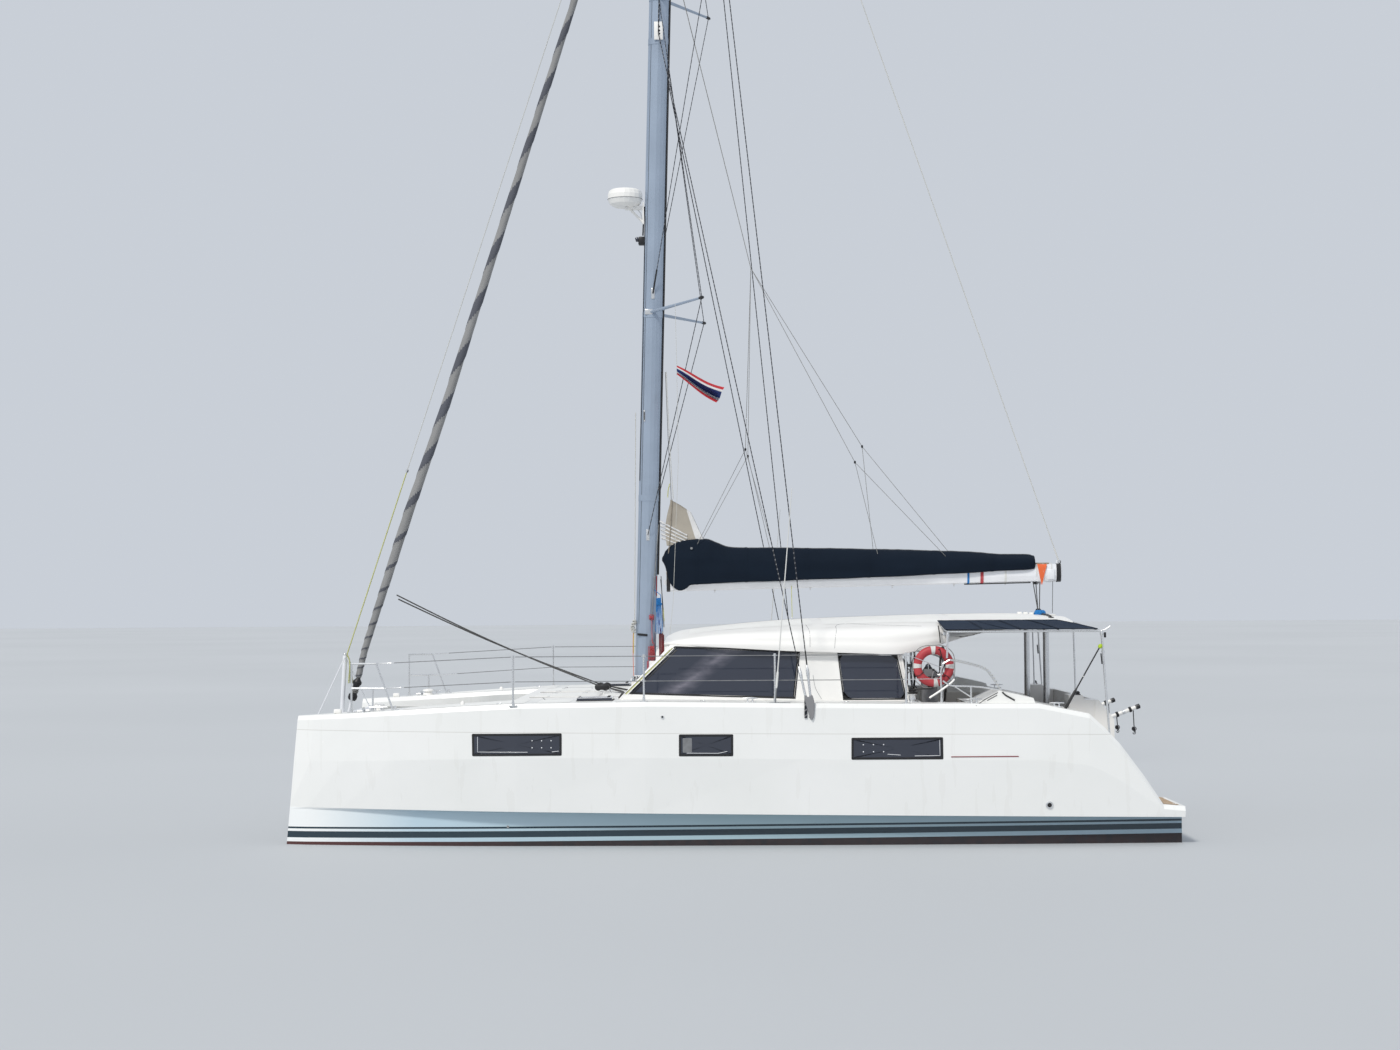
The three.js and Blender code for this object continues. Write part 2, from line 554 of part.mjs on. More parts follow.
// The lower diamond hangs from a tang that it shares with the lower shroud
const lowerDiamond = side => {
  const [low, high] = [SHROUDS.lower_shroud.mastZ - 10, DIAMOND.low[1] + 6];
  const tang = bar(...[low, high].map(z => [mastX(z), side * (MAST.half + 26), z]), 9, 8);
  return join(tang, diamond(DIAMOND.low, SPREADERS[0], [14, 26], side));
};

const shroud = ({ deck, mastZ, back, radius }, side) => {
  const foot = point([deck[0], side * (deck[1] + 2), deck[2]]);
  const beside = MAST.half * Math.sqrt(1 - (back / MAST.chord) ** 2) + 26;
  const head = point([mastX(mastZ) - back, side * beside, mastZ]);
  const along = head.clone().sub(foot).normalize();
  const plate = sided(box([deck[0] - CHAINPLATE.half, deck[0] + CHAINPLATE.half],
    [deck[1] - CHAINPLATE.thick / 2, deck[1] + CHAINPLATE.thick / 2 + 2],
    [deck[2] - CHAINPLATE.below, deck[2] + CHAINPLATE.above]), side);
  const length = head.distanceTo(foot);
  const { from, to, radius: barrel } = TURNBUCKLE;
  const profile = [[0, from], [barrel, from], [barrel, to], [radius, to + 20], [radius, length], [0, length]];
  const wire = revolve(profile, 8).applyQuaternion(new THREE.Quaternion().setFromUnitVectors(
    new THREE.Vector3(0, 1, 0), along)).translate(...foot.toArray());
  return join(plate, solid(wire));
};

const furledJib = () => join(
  bar(stayPoint(0.012), stayPoint(0.99), 9, 8),
  bar(stayPoint(JIB.from), stayPoint(JIB.to), JIB.radius, 14, 40),
  bar(stayPoint(0.042), stayPoint(JIB.from + 0.001), 24, 14, JIB.radius),
  bar(stayPoint(JIB.drum[0]), stayPoint(JIB.drum[0] + 0.002), JIB.drumR, 16),
  bar(stayPoint(JIB.drum[1]), stayPoint(JIB.drum[1] + 0.002), JIB.drumR, 16),
  bar(stayPoint(JIB.drum[0] - 0.002), stayPoint(0.044), 55, 12),
);

const radar = () => {
  const { x, z, radius, high } = RADAR;
  const dome = revolve([
    [0, 0], [0.6 * radius, 0], [0.88 * radius, 0.16 * high], [radius, 0.42 * high],
    [radius, 0.7 * high], [0.94 * radius, 0.9 * high], [0.8 * radius, high], [0, high],
  ], 20).rotateX(Math.PI / 2).translate(x, 0, z);
  const face = mastX(z - 260) + MAST.chord;
  return join(solid(dome), box([face + 6, x], [-45, 45], [z - 40, z + 12]),
    box([face + 6, face + 26], [-60, 60], [z - 260, z + 60]),
    bars([[face + 16, 0, z - 230], [x - 60, 0, z - 20]], 18, 8));
};

const boomPoints = () => {
  const { high, half } = BOOM;
  const share = [[0, -1], [0.7, -0.85], [1, -0.3], [1, 0.35], [0.75, 0.9], [0, 1]];
  const right = share.map(([a, b]) => [a * half, b * high]);
  return [...right, ...right.slice(1, -1).reverse().map(([a, b]) => [-a, b])];
};

const boomBody = (grow = 0) => {
  const scale = 1 + grow / BOOM.half;
  const end = ([x, z], shift) => boomPoints().map(([y, up]) => [x + shift, scale * y, z + scale * up]);
  return loft([end(BOOM.fore, grow), end(BOOM.aft, -grow)], [1, 2]);
};

const boom = () => join(
  boomBody(),
  box([BOOM.fore[0] - 60, GOOSENECK_X + 12], [-22, 22], [3470, 3540]),
  bar([BOOM.aft[0] + 40, 0, 3700], [BOOM.aft[0] + 40, 0, 3790], 14, 8),
);

const bagRing = ({ x, low, top, half }) => {
  const middle = (low + top) / 2;
  const share = [[0, top], [0.42, top - 22], [0.82, middle + 0.22 * (top - low)], [1, middle],
    [0.94, low + 40], [0.78, low], [0, low]];
  const right = share.map(([w, z]) => [x, w * half, z]);
  return [...right, ...mirrored(right.slice(1, -1)).reverse()];
};

const sailBag = () => cut(loft(BAG.map(bagRing), [1, 2]), boomBody(6));
const sailHead = () => cut(across(SAIL_HEAD.profile, [-SAIL_HEAD.half, SAIL_HEAD.half]),
  loft(BAG.map(row => bagRing({ ...row, top: row.top + 6, half: row.half + 6 })), [1, 2]));

// Foredeck

const crossbeam = hulls => {
  const { x, z, radius } = CROSSBEAM;
  const beam = bar([x, -HULL_Y, z], [x, HULL_Y, z], radius, 16);
  const [[footX, footZ], [topX, topZ]] = [STRIKER.foot, STRIKER.top];
  const post = bar([footX, 0, footZ], [topX, 0, topZ], STRIKER.radius, 12);
  const wires = SIDES.map(([, side]) =>
    bar([topX, 0, topZ - 20], [x + 30, side * 2330, z + 50], STRIKER.wire, 6));
  const toggle = bar([STAY.foot[0] + 12, 0, z], stayPoint(0.0114), 20, 8);
  const walkway = box([2952, x], [-110, 110], [1520, 1600]);
  return cut(join(beam, post, wires, toggle, walkway), hulls);
};

// A net laced between the hull, the walkway, the beam and the foredeck.
const trampoline = side => {
  const { x, z, thick, gap, keel } = TRAMPOLINE;
  const steps = [0, 0.25, 0.5, 0.75, 1].map(t => THREE.MathUtils.lerp(x[0], x[1], t));
  const outer = steps.map(px => [px, HULL_Y - at(HULL, px, 'inner') - gap]);
  const outline = [[x[1], keel], [x[0], keel], ...outer];
  return sided(upward(outline, [z, z + thick]), side);
};

// Guard rails

const pulpit = () => {
  const { fore, top, aft, lowAft, leg, high, low } = PULPIT;
  return join(
    bars([[...fore, 1700], [...fore, high], [...top, high], [...aft, 1700]], RAIL.radius),
    bar([...fore, low], [...lowAft, low], RAIL.radius),
    bar([...leg, low], [...leg, 1700], RAIL.radius),
  );
};

const guardRail = (side, hull) => {
  const posts = STANCHIONS.map(x => bar([x, RAIL_Y, 1700], [x, RAIL_Y, RAIL.top], RAIL.radius));
  const helm = bentTube(HELM_RAIL.map(([x, z]) => [x, HELM_RAIL_Y, z]), RAIL.radius, 14);
  const runs = [
    { start: [...PULPIT.top, PULPIT.high], z: RAIL.top - 8, helmZ: 2330 },
    { start: [...PULPIT.lowAft, PULPIT.low], z: RAIL.mid, helmZ: RAIL.mid },
  ];
  const lines = runs.map(({ start, z, helmZ }) => bars(
    [start, ...STANCHIONS.map(x => [x, RAIL_Y, z]), [HELM_RAIL[1][0], HELM_RAIL_Y, helmZ]], RAIL.wire, 4));
  return sided(cut(join(pulpit(), posts, helm, lines), hull), side);
};

// Cockpit and stern

const canopy = (side, roof) => {
  const { fore, aft, innerY, outerY, innerZ, outerZ, thick, cutInner, cutOuter } = CANOPY;
  const section = [[innerY, innerZ], [outerY, outerZ], [outerY, outerZ + thick], [innerY, innerZ + thick]];
  const plan = upward([[fore, innerY], [fore, outerY], [cutOuter, outerY], [cutInner, innerY]], [2000, 4000]);
  return sided(cut(forward(section, [aft, fore]).intersect(plan), roof), side);
};

const canopyFrame = (side, hull) => {
  const { fore, aft, innerY, outerY, innerZ, outerZ } = CANOPY;
  const radius = 15;
  const under = radius + 3;
  const tubes = [
    bars([[fore - 20, innerY + 620, innerZ - 66 - under], [fore - 20, outerY - 20, outerZ - under],
      [aft + 20, outerY - 20, outerZ - under]], radius),
    bar([fore - 20, outerY - 20, outerZ - under], [-2890, outerY - 20, 2448], radius),
    bar([aft + 20, outerY - 20, outerZ - under], [-5035, outerY + 20, 1200], radius),
    bars([[aft + 20, outerY - 20, outerZ - under], [STRUT.x, innerY + 60, innerZ - 6 - under],
      [STRUT.x - 20, innerY + 60, SEAT_END.top + GAP]], STRUT.radius),
  ];
  return sided(cut(join(tubes), hull), side);
};

const sternFrame = () => {
  const { x, y, radius, tieZ } = POST;
  const roofUnder = 2985 - ROOF_SHELL.thick - 30;
  const posts = [-y, y].map(py => bar([x, py, FLOOR_Z + GAP], [x, py, roofUnder], radius, 16));
  return join(posts, bar([x, -y, tieZ], [x, y, tieZ], 20, 8));
};

const wheel = side => {
  const { x, y, z, radius, rim, spokes } = WHEEL;
  const parts = [solid(ring(radius, rim, 28, 8).rotateZ(Math.PI / 2)),
    bar([-22, 0, 0], [84, 0, 0], 42, 12)];
  for (let i = 0; i < spokes; i++) {
    const turn = i * 2 * Math.PI / spokes;
    parts.push(bar([0, 0, 0], [0, radius * Math.sin(turn), radius * Math.cos(turn)], 8, 6));
  }
  return join(parts).translate([x, side * y, z]);
};

const pedestal = side => {
  const [aft, fore] = PEDESTAL.x;
  const profile = [
    [aft, FOOTWELL.z + GAP], [fore + 60, FOOTWELL.z + GAP], [fore + 30, PEDESTAL.top - PEDESTAL.slope],
    [fore, PEDESTAL.top], [aft + PEDESTAL.slope, PEDESTAL.top], [aft, PEDESTAL.top - PEDESTAL.slope],
  ];
  return sided(across(profile, PEDESTAL.y), side);
};

const cockpitTable = () => {
  const [aft, fore] = TABLE.x;
  const top = box(TABLE.x, [-TABLE.half, TABLE.half], [TABLE.z, TABLE.z + TABLE.thick]);
  const legs = [aft + 250, fore - 250].map(x => join(
    bar([x, 0, FLOOR_Z + GAP], [x, 0, TABLE.z + 5], 40, 12),
    bar([x, 0, FLOOR_Z + GAP], [x, 0, FLOOR_Z + 16], 130, 16)));
  return join(top, legs);
};

const cushion = () => box(CUSHION.x, [-CUSHION.half, CUSHION.half], CUSHION.z);

const lifebuoy = () => solid(ring(LIFEBUOY.ring, LIFEBUOY.tube, 24, 10)
  .translate(LIFEBUOY.x, LIFEBUOY.y, LIFEBUOY.z));

const saildrive = (side, hull) => {
  const { x, half, chord, shaftZ, podR, podX } = LEG;
  const leg = loft([
    foil(x + chord, x - chord, half, -150), foil(x + 110, x - 120, half - 6, shaftZ),
  ], [0, 1]);
  const pod = join(bar([podX[0], HULL_Y, shaftZ], [podX[1], HULL_Y, shaftZ], podR, 14),
    bar([podX[0] - 2, HULL_Y, shaftZ], [podX[0] + 110, HULL_Y, shaftZ], podR, 14, 12));
  const skeg = loft([
    foil(x + 90, x - 100, 14, shaftZ - 20), foil(x + 20, x - 90, 10, shaftZ - 190),
  ], [0, 1]);
  return sided(cut(join(leg, pod, skeg), hull), side);
};

const propeller = side => {
  const { x, radius, hub, blade } = PROP;
  const parts = [bar([24, 0, 0], [-90, 0, 0], hub, 12, 22)];
  for (let i = 0; i < 3; i++) {
    const outline = [[-24, 30], [30, 26], [52, 0.55 * radius], [34, 0.9 * radius], [0, radius],
      [-34, 0.9 * radius], [-46, 0.55 * radius]];
    const leaf = new THREE.ExtrudeGeometry(shapeOf(outline), { depth: blade / 2, bevelEnabled: false });
    leaf.translate(0, 0, -blade / 4).rotateY(Math.PI / 2 + side * 0.5).rotateX(Math.PI / 2);
    parts.push(solid(leaf.rotateX(i * 2 * Math.PI / 3).translate(-16, 0, 0)));
  }
  return join(parts).translate([x, side * HULL_Y, LEG.shaftZ]);
};

const rudder = side => {
  const { x, top, bottom, lead, trail, half, stock } = RUDDER;
  const blade = loft([
    foil(x + lead, x - trail, half, top), foil(x + lead - 25, x - trail + 90, half * 0.6, bottom),
  ], [0, 1]);
  return sided(join(blade, bar([x, HULL_Y, top - 60], [x, HULL_Y, -130], stock, 16)), side);
};

const ladder = () => {
  const { x, z, y, long, radius, rungs } = LADDER;
  const rails = y.map(py => bar([x, py, z], [x + long, py, z], radius));
  const treads = [];
  for (let i = 0; i <= rungs; i++) {
    treads.push(bar([x + i * (long - 40) / rungs, y[0], z], [x + i * (long - 40) / rungs, y[1], z], radius));
  }
  return join(rails, treads);
};

// Halyard hanks at the mast foot: an outline with round ends, hanging from its cleat.
const hank = (x, y, z, long, half, deep) => {
  const outline = [];
  for (const [end, from] of [[z + long - half, 0], [z + half, Math.PI]]) {
    for (let i = 0; i <= 6; i++) {
      const turn = from + i * Math.PI / 6;
      outline.push([x + half * Math.cos(turn), end + half * Math.sin(turn)]);
    }
  }
  return across(outline, [y - deep, y + deep]);
};

// Assembly

const FINISH = {
  gelcoat: { color: 0xf0efea, roughness: 0.32, metalness: 0 },
  glass: { color: 0x28303a, roughness: 0.08, metalness: 0, transparent: true, opacity: 0.6 },
  mast: { color: 0xaab6c4, roughness: 0.35, metalness: 0.6 },
  boom: { color: 0xd9dcdf, roughness: 0.35, metalness: 0.3 },
  steel: { color: 0xc4c8cc, roughness: 0.2, metalness: 1 },
  wire: { color: 0x6e7378, roughness: 0.4, metalness: 0.8 },
  canvas: { color: 0x1f2a38, roughness: 0.9, metalness: 0 },
  sail: { color: 0xcfc5b0, roughness: 0.85, metalness: 0 },
  jib: { color: 0x8d9098, roughness: 0.8, metalness: 0 },
  net: { color: 0x2a2d30, roughness: 0.9, metalness: 0 },
  cushion: { color: 0x6f7680, roughness: 0.9, metalness: 0 },
  teak: { color: 0xb08a62, roughness: 0.6, metalness: 0 },
  lifebuoy: { color: 0xc83c37, roughness: 0.6, metalness: 0 },
  cast: { color: 0x3a3f45, roughness: 0.5, metalness: 0.5 },
  antifouling: { color: 0x3c2220, roughness: 0.8, metalness: 0 },
  bronze: { color: 0xb08d57, roughness: 0.35, metalness: 1 },
  rubber: { color: 0x1b1c1e, roughness: 0.7, metalness: 0 },
  blue_rope: { color: 0x2a7fc4, roughness: 0.9, metalness: 0 },
  red_rope: { color: 0xc22b35, roughness: 0.9, metalness: 0 },
};

const group = new THREE.Group();
const put = (name, body, finish) => {
  const mesh = new THREE.Mesh(geometryOf(body), new THREE.MeshStandardMaterial(FINISH[finish]));
  mesh.name = name;
  group.add(mesh);
};

const grown = hullBody(GAP).add(across(SEAT_HUMP.profile, SEAT_HUMP.y));
const bothGrown = [grown, grown.mirror([0, 1, 0])];
const roof = roofBody();

for (const [label, side] of SIDES) {
  const hull = sided(portHull(), side);
  put(`hull_${label}`, side > 0 ? hull : join(hull, ladderHinge()), 'gelcoat');
}
put('bridgedeck', bridgedeck(bothGrown), 'gelcoat');
put('cabin_walls', cabinWalls(), 'gelcoat');
put('bulkhead', bulkhead(bothGrown), 'gelcoat');
put('hardtop', roof, 'gelcoat');
for (const [label, side] of SIDES) {
  for (const name of Object.keys(WINDOWS)) put(`${name}_${label}`, pane(name, side), 'glass');
}
put('bulkhead_pane', bulkheadPane(), 'glass');
put('saloon_door', door(), 'glass');

put('mast', mast(), 'mast');
put('radar', radar(), 'gelcoat');
put('boom', boom(), 'boom');
put('sail_bag', sailBag(), 'canvas');
put('sail_head', sailHead(), 'sail');
put('furled_jib', furledJib(), 'jib');
put('crossbeam', crossbeam(bothGrown), 'mast');
put('stern_frame', sternFrame(), 'steel');
put('cockpit_table', cockpitTable(), 'teak');
put('cockpit_cushion', cushion(), 'cushion');
put('lifebuoy', lifebuoy(), 'lifebuoy');
put('ladder', ladder(), 'steel');
put('hank_blue', hank(1015, 135, 2730, 560, 45, 32), 'blue_rope');
put('hank_red', hank(1120, 138, 2200, 400, 62, 36), 'red_rope');

for (const [label, side] of SIDES) {
  put(`diamond_stay_${label}`, diamond(DIAMOND.high, SPREADERS[1], [14, 14], side), 'wire');
  put(`cap_shroud_${label}`, shroud(SHROUDS.cap_shroud, side), 'wire');
  put(`lower_shroud_${label}`, sided(join(shroud(SHROUDS.lower_shroud, 1), lowerDiamond(1)), side), 'wire');
  put(`guard_rail_${label}`, guardRail(side, grown), 'steel');
  put(`canopy_frame_${label}`, canopyFrame(side, grown), 'steel');
  put(`canopy_${label}`, canopy(side, roof.translate([0, 0, 1])), 'canvas');
  put(`trampoline_${label}`, trampoline(side), 'net');
  put(`deck_hatch_${label}`, deckHatch(side), 'glass');
  put(`locker_lid_${label}`, lockerLid(side), 'gelcoat');
  put(`engine_hatch_${label}`, engineHatch(side), 'gelcoat');
  put(`engine_${label}`, engine(side), 'cast');
  put(`helm_wheel_${label}`, wheel(side), 'rubber');
  put(`helm_pedestal_${label}`, pedestal(side), 'gelcoat');
  put(`saildrive_${label}`, saildrive(side, grown), 'cast');
  put(`propeller_${label}`, propeller(side), 'bronze');
  put(`rudder_${label}`, rudder(side), 'antifouling');
}

export default group;
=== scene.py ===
"""Cruising catamaran afloat with her sails stowed: the looks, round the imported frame.

Metres, +X to the bow, +Y to port, +Z up, the waterline at z 0.
"""

import json
import math

import bmesh
import bpy
from mathutils import Matrix, Vector, noise
from mathutils.bvhtree import BVHTree


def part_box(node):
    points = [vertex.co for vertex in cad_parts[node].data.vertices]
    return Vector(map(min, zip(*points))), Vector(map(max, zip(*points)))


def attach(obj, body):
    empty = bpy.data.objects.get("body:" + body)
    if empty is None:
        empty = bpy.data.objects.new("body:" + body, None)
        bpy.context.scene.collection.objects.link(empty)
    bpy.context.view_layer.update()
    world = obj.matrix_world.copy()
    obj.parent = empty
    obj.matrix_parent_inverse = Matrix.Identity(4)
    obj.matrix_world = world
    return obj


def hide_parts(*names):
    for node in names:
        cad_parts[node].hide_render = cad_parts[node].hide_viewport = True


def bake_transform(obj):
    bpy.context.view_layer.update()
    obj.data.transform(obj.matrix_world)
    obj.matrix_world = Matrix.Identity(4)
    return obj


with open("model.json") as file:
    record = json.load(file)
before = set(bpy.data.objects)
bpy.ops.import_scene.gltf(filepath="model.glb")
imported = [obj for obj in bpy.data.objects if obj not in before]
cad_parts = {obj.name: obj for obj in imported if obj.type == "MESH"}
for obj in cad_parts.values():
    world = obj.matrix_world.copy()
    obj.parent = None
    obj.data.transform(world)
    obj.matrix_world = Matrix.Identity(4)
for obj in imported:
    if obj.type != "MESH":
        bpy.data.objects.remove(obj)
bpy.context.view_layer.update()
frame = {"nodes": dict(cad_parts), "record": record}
NODES = frame["nodes"]
SIDES = (("port", 1), ("starboard", -1))

# Camera, solved from the photograph
PHOTO = (1400, 1050)
FOCAL_PX = 2182
CAMERA_AT = (0.0, 32.0, 3.2)
SQUARE_ON = (728, 603)
ROLL = 0.0067


def make_camera():
    data = bpy.data.cameras.new("camera")
    data.sensor_width = 36
    data.lens = FOCAL_PX * data.sensor_width / PHOTO[0]
    data.clip_end = 500
    yaw = math.atan((SQUARE_ON[0] - PHOTO[0] / 2) / FOCAL_PX)
    pitch = math.atan((SQUARE_ON[1] - PHOTO[1] / 2) / FOCAL_PX)
    level = math.cos(pitch)
    ahead = Vector((math.sin(yaw) * level, -math.cos(yaw) * level, math.sin(pitch)))
    camera = bpy.data.objects.new("camera", data)
    turn = ahead.to_track_quat("-Z", "Y").to_matrix().to_4x4() @ Matrix.Rotation(-ROLL, 4, "Z")
    camera.matrix_world = Matrix.Translation(CAMERA_AT) @ turn
    bpy.context.scene.collection.objects.link(camera)
    bpy.context.scene.camera = camera


# Curves and outlines


def spline(points, steps=8, closed=False):
    """A smooth curve through the points."""
    points = [Vector(p) for p in points]
    count = len(points)
    path = []
    for i in range(count if closed else count - 1):
        if closed:
            a, b, c, d = (points[(i + k) % count] for k in (-1, 0, 1, 2))
        else:
            a, b, c, d = points[max(i - 1, 0)], points[i], points[i + 1], points[min(i + 2, count - 1)]
        for s in range(steps):
            t = s / steps
            path.append(0.5 * (2 * b + (c - a) * t + (2 * a - 5 * b + 4 * c - d) * t * t
                               + (3 * b - a - 3 * c + d) * t ** 3))
    return path if closed else path + [points[-1]]


def rounded(corners, radius, steps=5, closed=True):
    """The corners joined by straight runs, each corner eased over the radius."""
    corners = [Vector(p) for p in corners]
    count = len(corners)
    path = []
    for i, corner in enumerate(corners):
        if not closed and i in (0, count - 1):
            path.append(corner)
            continue
        before, after = corners[i - 1] - corner, corners[(i + 1) % count] - corner
        start = corner + before.normalized() * min(radius, 0.45 * before.length)
        end = corner + after.normalized() * min(radius, 0.45 * after.length)
        for s in range(steps + 1):
            t = s / steps
            path.append(start * (1 - t) ** 2 + corner * 2 * t * (1 - t) + end * t * t)
    return path


def widened(outline, by):
    """A flat closed outline moved out by a distance, or in by a negative one."""
    count = len(outline)
    area = sum(outline[i - 1].cross(outline[i]) for i in range(count))
    moved = []
    for i, p in enumerate(outline):
        along = (outline[(i + 1) % count] - outline[i - 1]).normalized()
        moved.append(p + Vector((along.y, -along.x)) * (by if area > 0 else -by))
    return moved


def full_turn(count):
    """Angles in even steps once round a circle."""
    return [2 * math.pi * k / count for k in range(count)]


def circle(centre, a, b, radius, count=20):
    """Points round a centre, in the plane of two axes."""
    return [centre + radius * (a * math.cos(t) + b * math.sin(t)) for t in full_turn(count)]


def at_height(z):
    """Lays an outline level at a height."""
    return lambda u, v, w: Vector((u, v, z + w))


def straight(a, b, steps):
    """Points in even steps from a to b."""
    return [a.lerp(b, s / steps) for s in range(steps + 1)]


def edge_points(corners, steps):
    """Points in even steps along every side of a closed outline."""
    corners = [Vector(c) for c in corners]
    return [a.lerp(b, s / steps) for a, b in zip(corners, corners[1:] + corners[:1]) for s in range(steps)]


def smooth_step(t):
    t = min(1.0, max(0.0, t))
    return t * t * (3 - 2 * t)


def read_table(rows, x, column):
    """A column of a table of stations read smoothly at x; the first column is x, falling."""
    if x >= rows[0][0]:
        return rows[0][column]
    if x <= rows[-1][0]:
        return rows[-1][column]
    i = next(k for k in range(len(rows) - 1) if rows[k + 1][0] <= x)

    def slope(k):
        if k in (0, len(rows) - 1):
            near = (k, k + 1) if k == 0 else (k - 1, k)
        else:
            near = (k - 1, k + 1)
        return (rows[near[1]][column] - rows[near[0]][column]) / (rows[near[1]][0] - rows[near[0]][0])

    (xa, a), (xb, b) = ((rows[k][0], rows[k][column]) for k in (i, i + 1))
    t, h = (x - xa) / (xb - xa), xb - xa
    return ((2 * t ** 3 - 3 * t * t + 1) * a + (t ** 3 - 2 * t * t + t) * h * slope(i)
            + (3 * t * t - 2 * t ** 3) * b + (t ** 3 - t * t) * h * slope(i + 1))


# Shapes


class Shape:
    """Points and faces gathered for one piece; each face keeps the number of its finish."""

    def __init__(self):
        self.points = []
        self.faces = []
        self.paints = []
        self.paint = 0

    def add(self, points, faces):
        base = len(self.points)
        self.points += [Vector(p) for p in points]
        self.faces += [tuple(base + i for i in face) for face in faces]
        self.paints += [self.paint] * len(faces)
        return self

    def rings(self, rings, loop=False, open_ring=False, caps=True):
        """A skin from ring to ring, capped at its two ends."""
        count, total = len(rings[0]), len(rings)
        faces = []
        for r in range(total if loop else total - 1):
            for i in range(count - 1 if open_ring else count):
                j, after = (i + 1) % count, ((r + 1) % total) * count
                faces.append((r * count + i, r * count + j, after + j, after + i))
        if caps and not loop and not open_ring:
            faces.append(tuple(reversed(range(count))))
            faces.append(tuple((total - 1) * count + i for i in range(count)))
        return self.add([p for ring in rings for p in ring], faces)

    def tube(self, path, radius, sides=8, closed=False):
        """A round bar along a path; the radius is one number, or one for each point."""
        path = [Vector(p) for p in path]
        count = len(path)
        radii = radius if isinstance(radius, list) else [radius] * count
        rings, side = [], None
        for i, p in enumerate(path):
            before = path[i - 1] if i or closed else p
            after = path[(i + 1) % count] if i + 1 < count or closed else p
            along = (after - before).normalized()
            side = along.orthogonal() if side is None else side - along * side.dot(along)
            side.normalize()
            up = along.cross(side)
            rings.append(circle(p, side, up, radii[i], sides))
        return self.rings(rings, loop=closed)

    def turned(self, profile, base, axis=(0, 0, 1), sides=24):
        """Pairs of radius and height turned about an axis from its base."""
        axis = Vector(axis).normalized()
        side = axis.orthogonal().normalized()
        up = axis.cross(side)
        return self.rings([circle(Vector(base) + axis * h, side, up, max(r, 2e-4), sides) for r,
                           h in profile])

    def block(self, centre, size, bevel=0.004, turn=None, steps=2):
        """A box with eased edges, turned about its own centre."""
        made = bmesh.new()
        bmesh.ops.create_cube(made, size=1)
        for vert in made.verts:
            vert.co = Vector(vert.co[k] * size[k] for k in range(3))
        bmesh.ops.bevel(made, geom=list(made.edges), offset=min(bevel, 0.45 * min(size)), segments=steps,
                        profile=0.5, affect="EDGES")
        made.verts.index_update()
        turn = turn or Matrix.Identity(3)
        self.add([Vector(centre) + turn @ v.co for v in made.verts],
                 [[v.index for v in f.verts] for f in made.faces])
        made.free()
        return self

    def slab(self, outline, depth, place, bevel=0.003):
        """A flat outline given thickness; place turns its two axes and its depth into the frame."""
        levels = [(-bevel, 0), (0, bevel), (0, depth - bevel), (-bevel, depth)]
        return self.rings([[place(p.x, p.y, w) for p in widened(outline, by)] for by, w in levels])

    def mirrored(self):
        other = Shape()
        other.points = [Vector((p.x, -p.y, p.z)) for p in self.points]
        other.faces = [tuple(reversed(face)) for face in self.faces]
        other.paints = list(self.paints)
        return other


def put(shape, name, body, finishes, slot, replaces=(), angle=35, outward=True):
    """A shape becomes a piece of the model, riding on its body."""
    mesh = bpy.data.meshes.new(name)
    mesh.from_pydata(shape.points, [], shape.faces)
    for finish in finishes:
        mesh.materials.append(MATERIALS[finish])
    mesh.polygons.foreach_set("material_index", shape.paints)
    if outward:
        made = bmesh.new()
        made.from_mesh(mesh)
        bmesh.ops.recalc_face_normals(made, faces=made.faces)
        made.to_mesh(mesh)
        made.free()
    mesh.shade_smooth()
    if angle < 180:
        mesh.set_sharp_from_angle(angle=math.radians(angle))
    piece = bpy.data.objects.new(name, mesh)
    bpy.context.scene.collection.objects.link(piece)
    if body:
        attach(piece, body)
    if replaces:
        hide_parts(*replaces)
    return piece


def put_both(build, name, body, finishes, slot, replaces=(), **more):
    """One shape built for the port side and its mirror image; body and nodes take the side's name."""
    pieces = []
    for label, side in SIDES:
        shape = build() if side > 0 else build().mirrored()
        names = [node.format(label) for node in replaces]
        pieces.append(put(shape, f"{name}_{label}", body.format(label), finishes, slot, names, **more))
    return pieces


def surface_of(*names):
    """What a ray can hit: the faces of some nodes."""
    points, faces = [], []
    for name in names:
        mesh = NODES[name].data
        base = len(points)
        points += [v.co.copy() for v in mesh.vertices]
        faces += [tuple(base + i for i in polygon.vertices) for polygon in mesh.polygons]
    return BVHTree.FromPolygons(points, faces)


def hit(tree, start, along):
    """Where a ray meets a surface, and which way that faces."""
    spot, normal, _, _ = tree.ray_cast(Vector(start), Vector(along))
    if spot is None:
        raise ValueError(f"nothing lies along {tuple(along)} from {tuple(start)}")
    return spot, normal if normal.dot(Vector(along)) < 0 else -normal


def from_port(tree, x, z, off=0.0):
    spot, normal = hit(tree, (x, 6, z), (0, -1, 0))
    return spot + off * normal


def from_above(tree, x, y, off=0.0):
    spot, _ = hit(tree, (x, y, 30), (0, 0, -1))
    return spot + Vector((0, 0, off))




# Free cords: the halyard tails made up into hanks at the mast foot

# Centre x and y, top and bottom, rope, turns, their pitch at the top and bottom, where the wraps go round
HANKS = {
    "hank_blue": {"at": (1.015, 0.135), "z": (3.275, 2.745), "rope": 0.010, "turns": 6,
                  "pitch": (0.0106, 0.0210),
                  "wrap": 3.205, "wraps": 3, "tail": 0.10, "lead": 0.045, "fast": (1.090, 0.078, 3.400)},
    "hank_red": {"at": (1.120, 0.138), "z": (2.575, 2.350), "rope": 0.008, "turns": 8,
                 "pitch": (0.0084, 0.0150),
                 "wrap": 2.440, "wraps": 2, "tail": 0.20, "lead": 0.035, "fast": (1.130, 0.086, 2.665)},
}
HANK_DEEP = 0.020


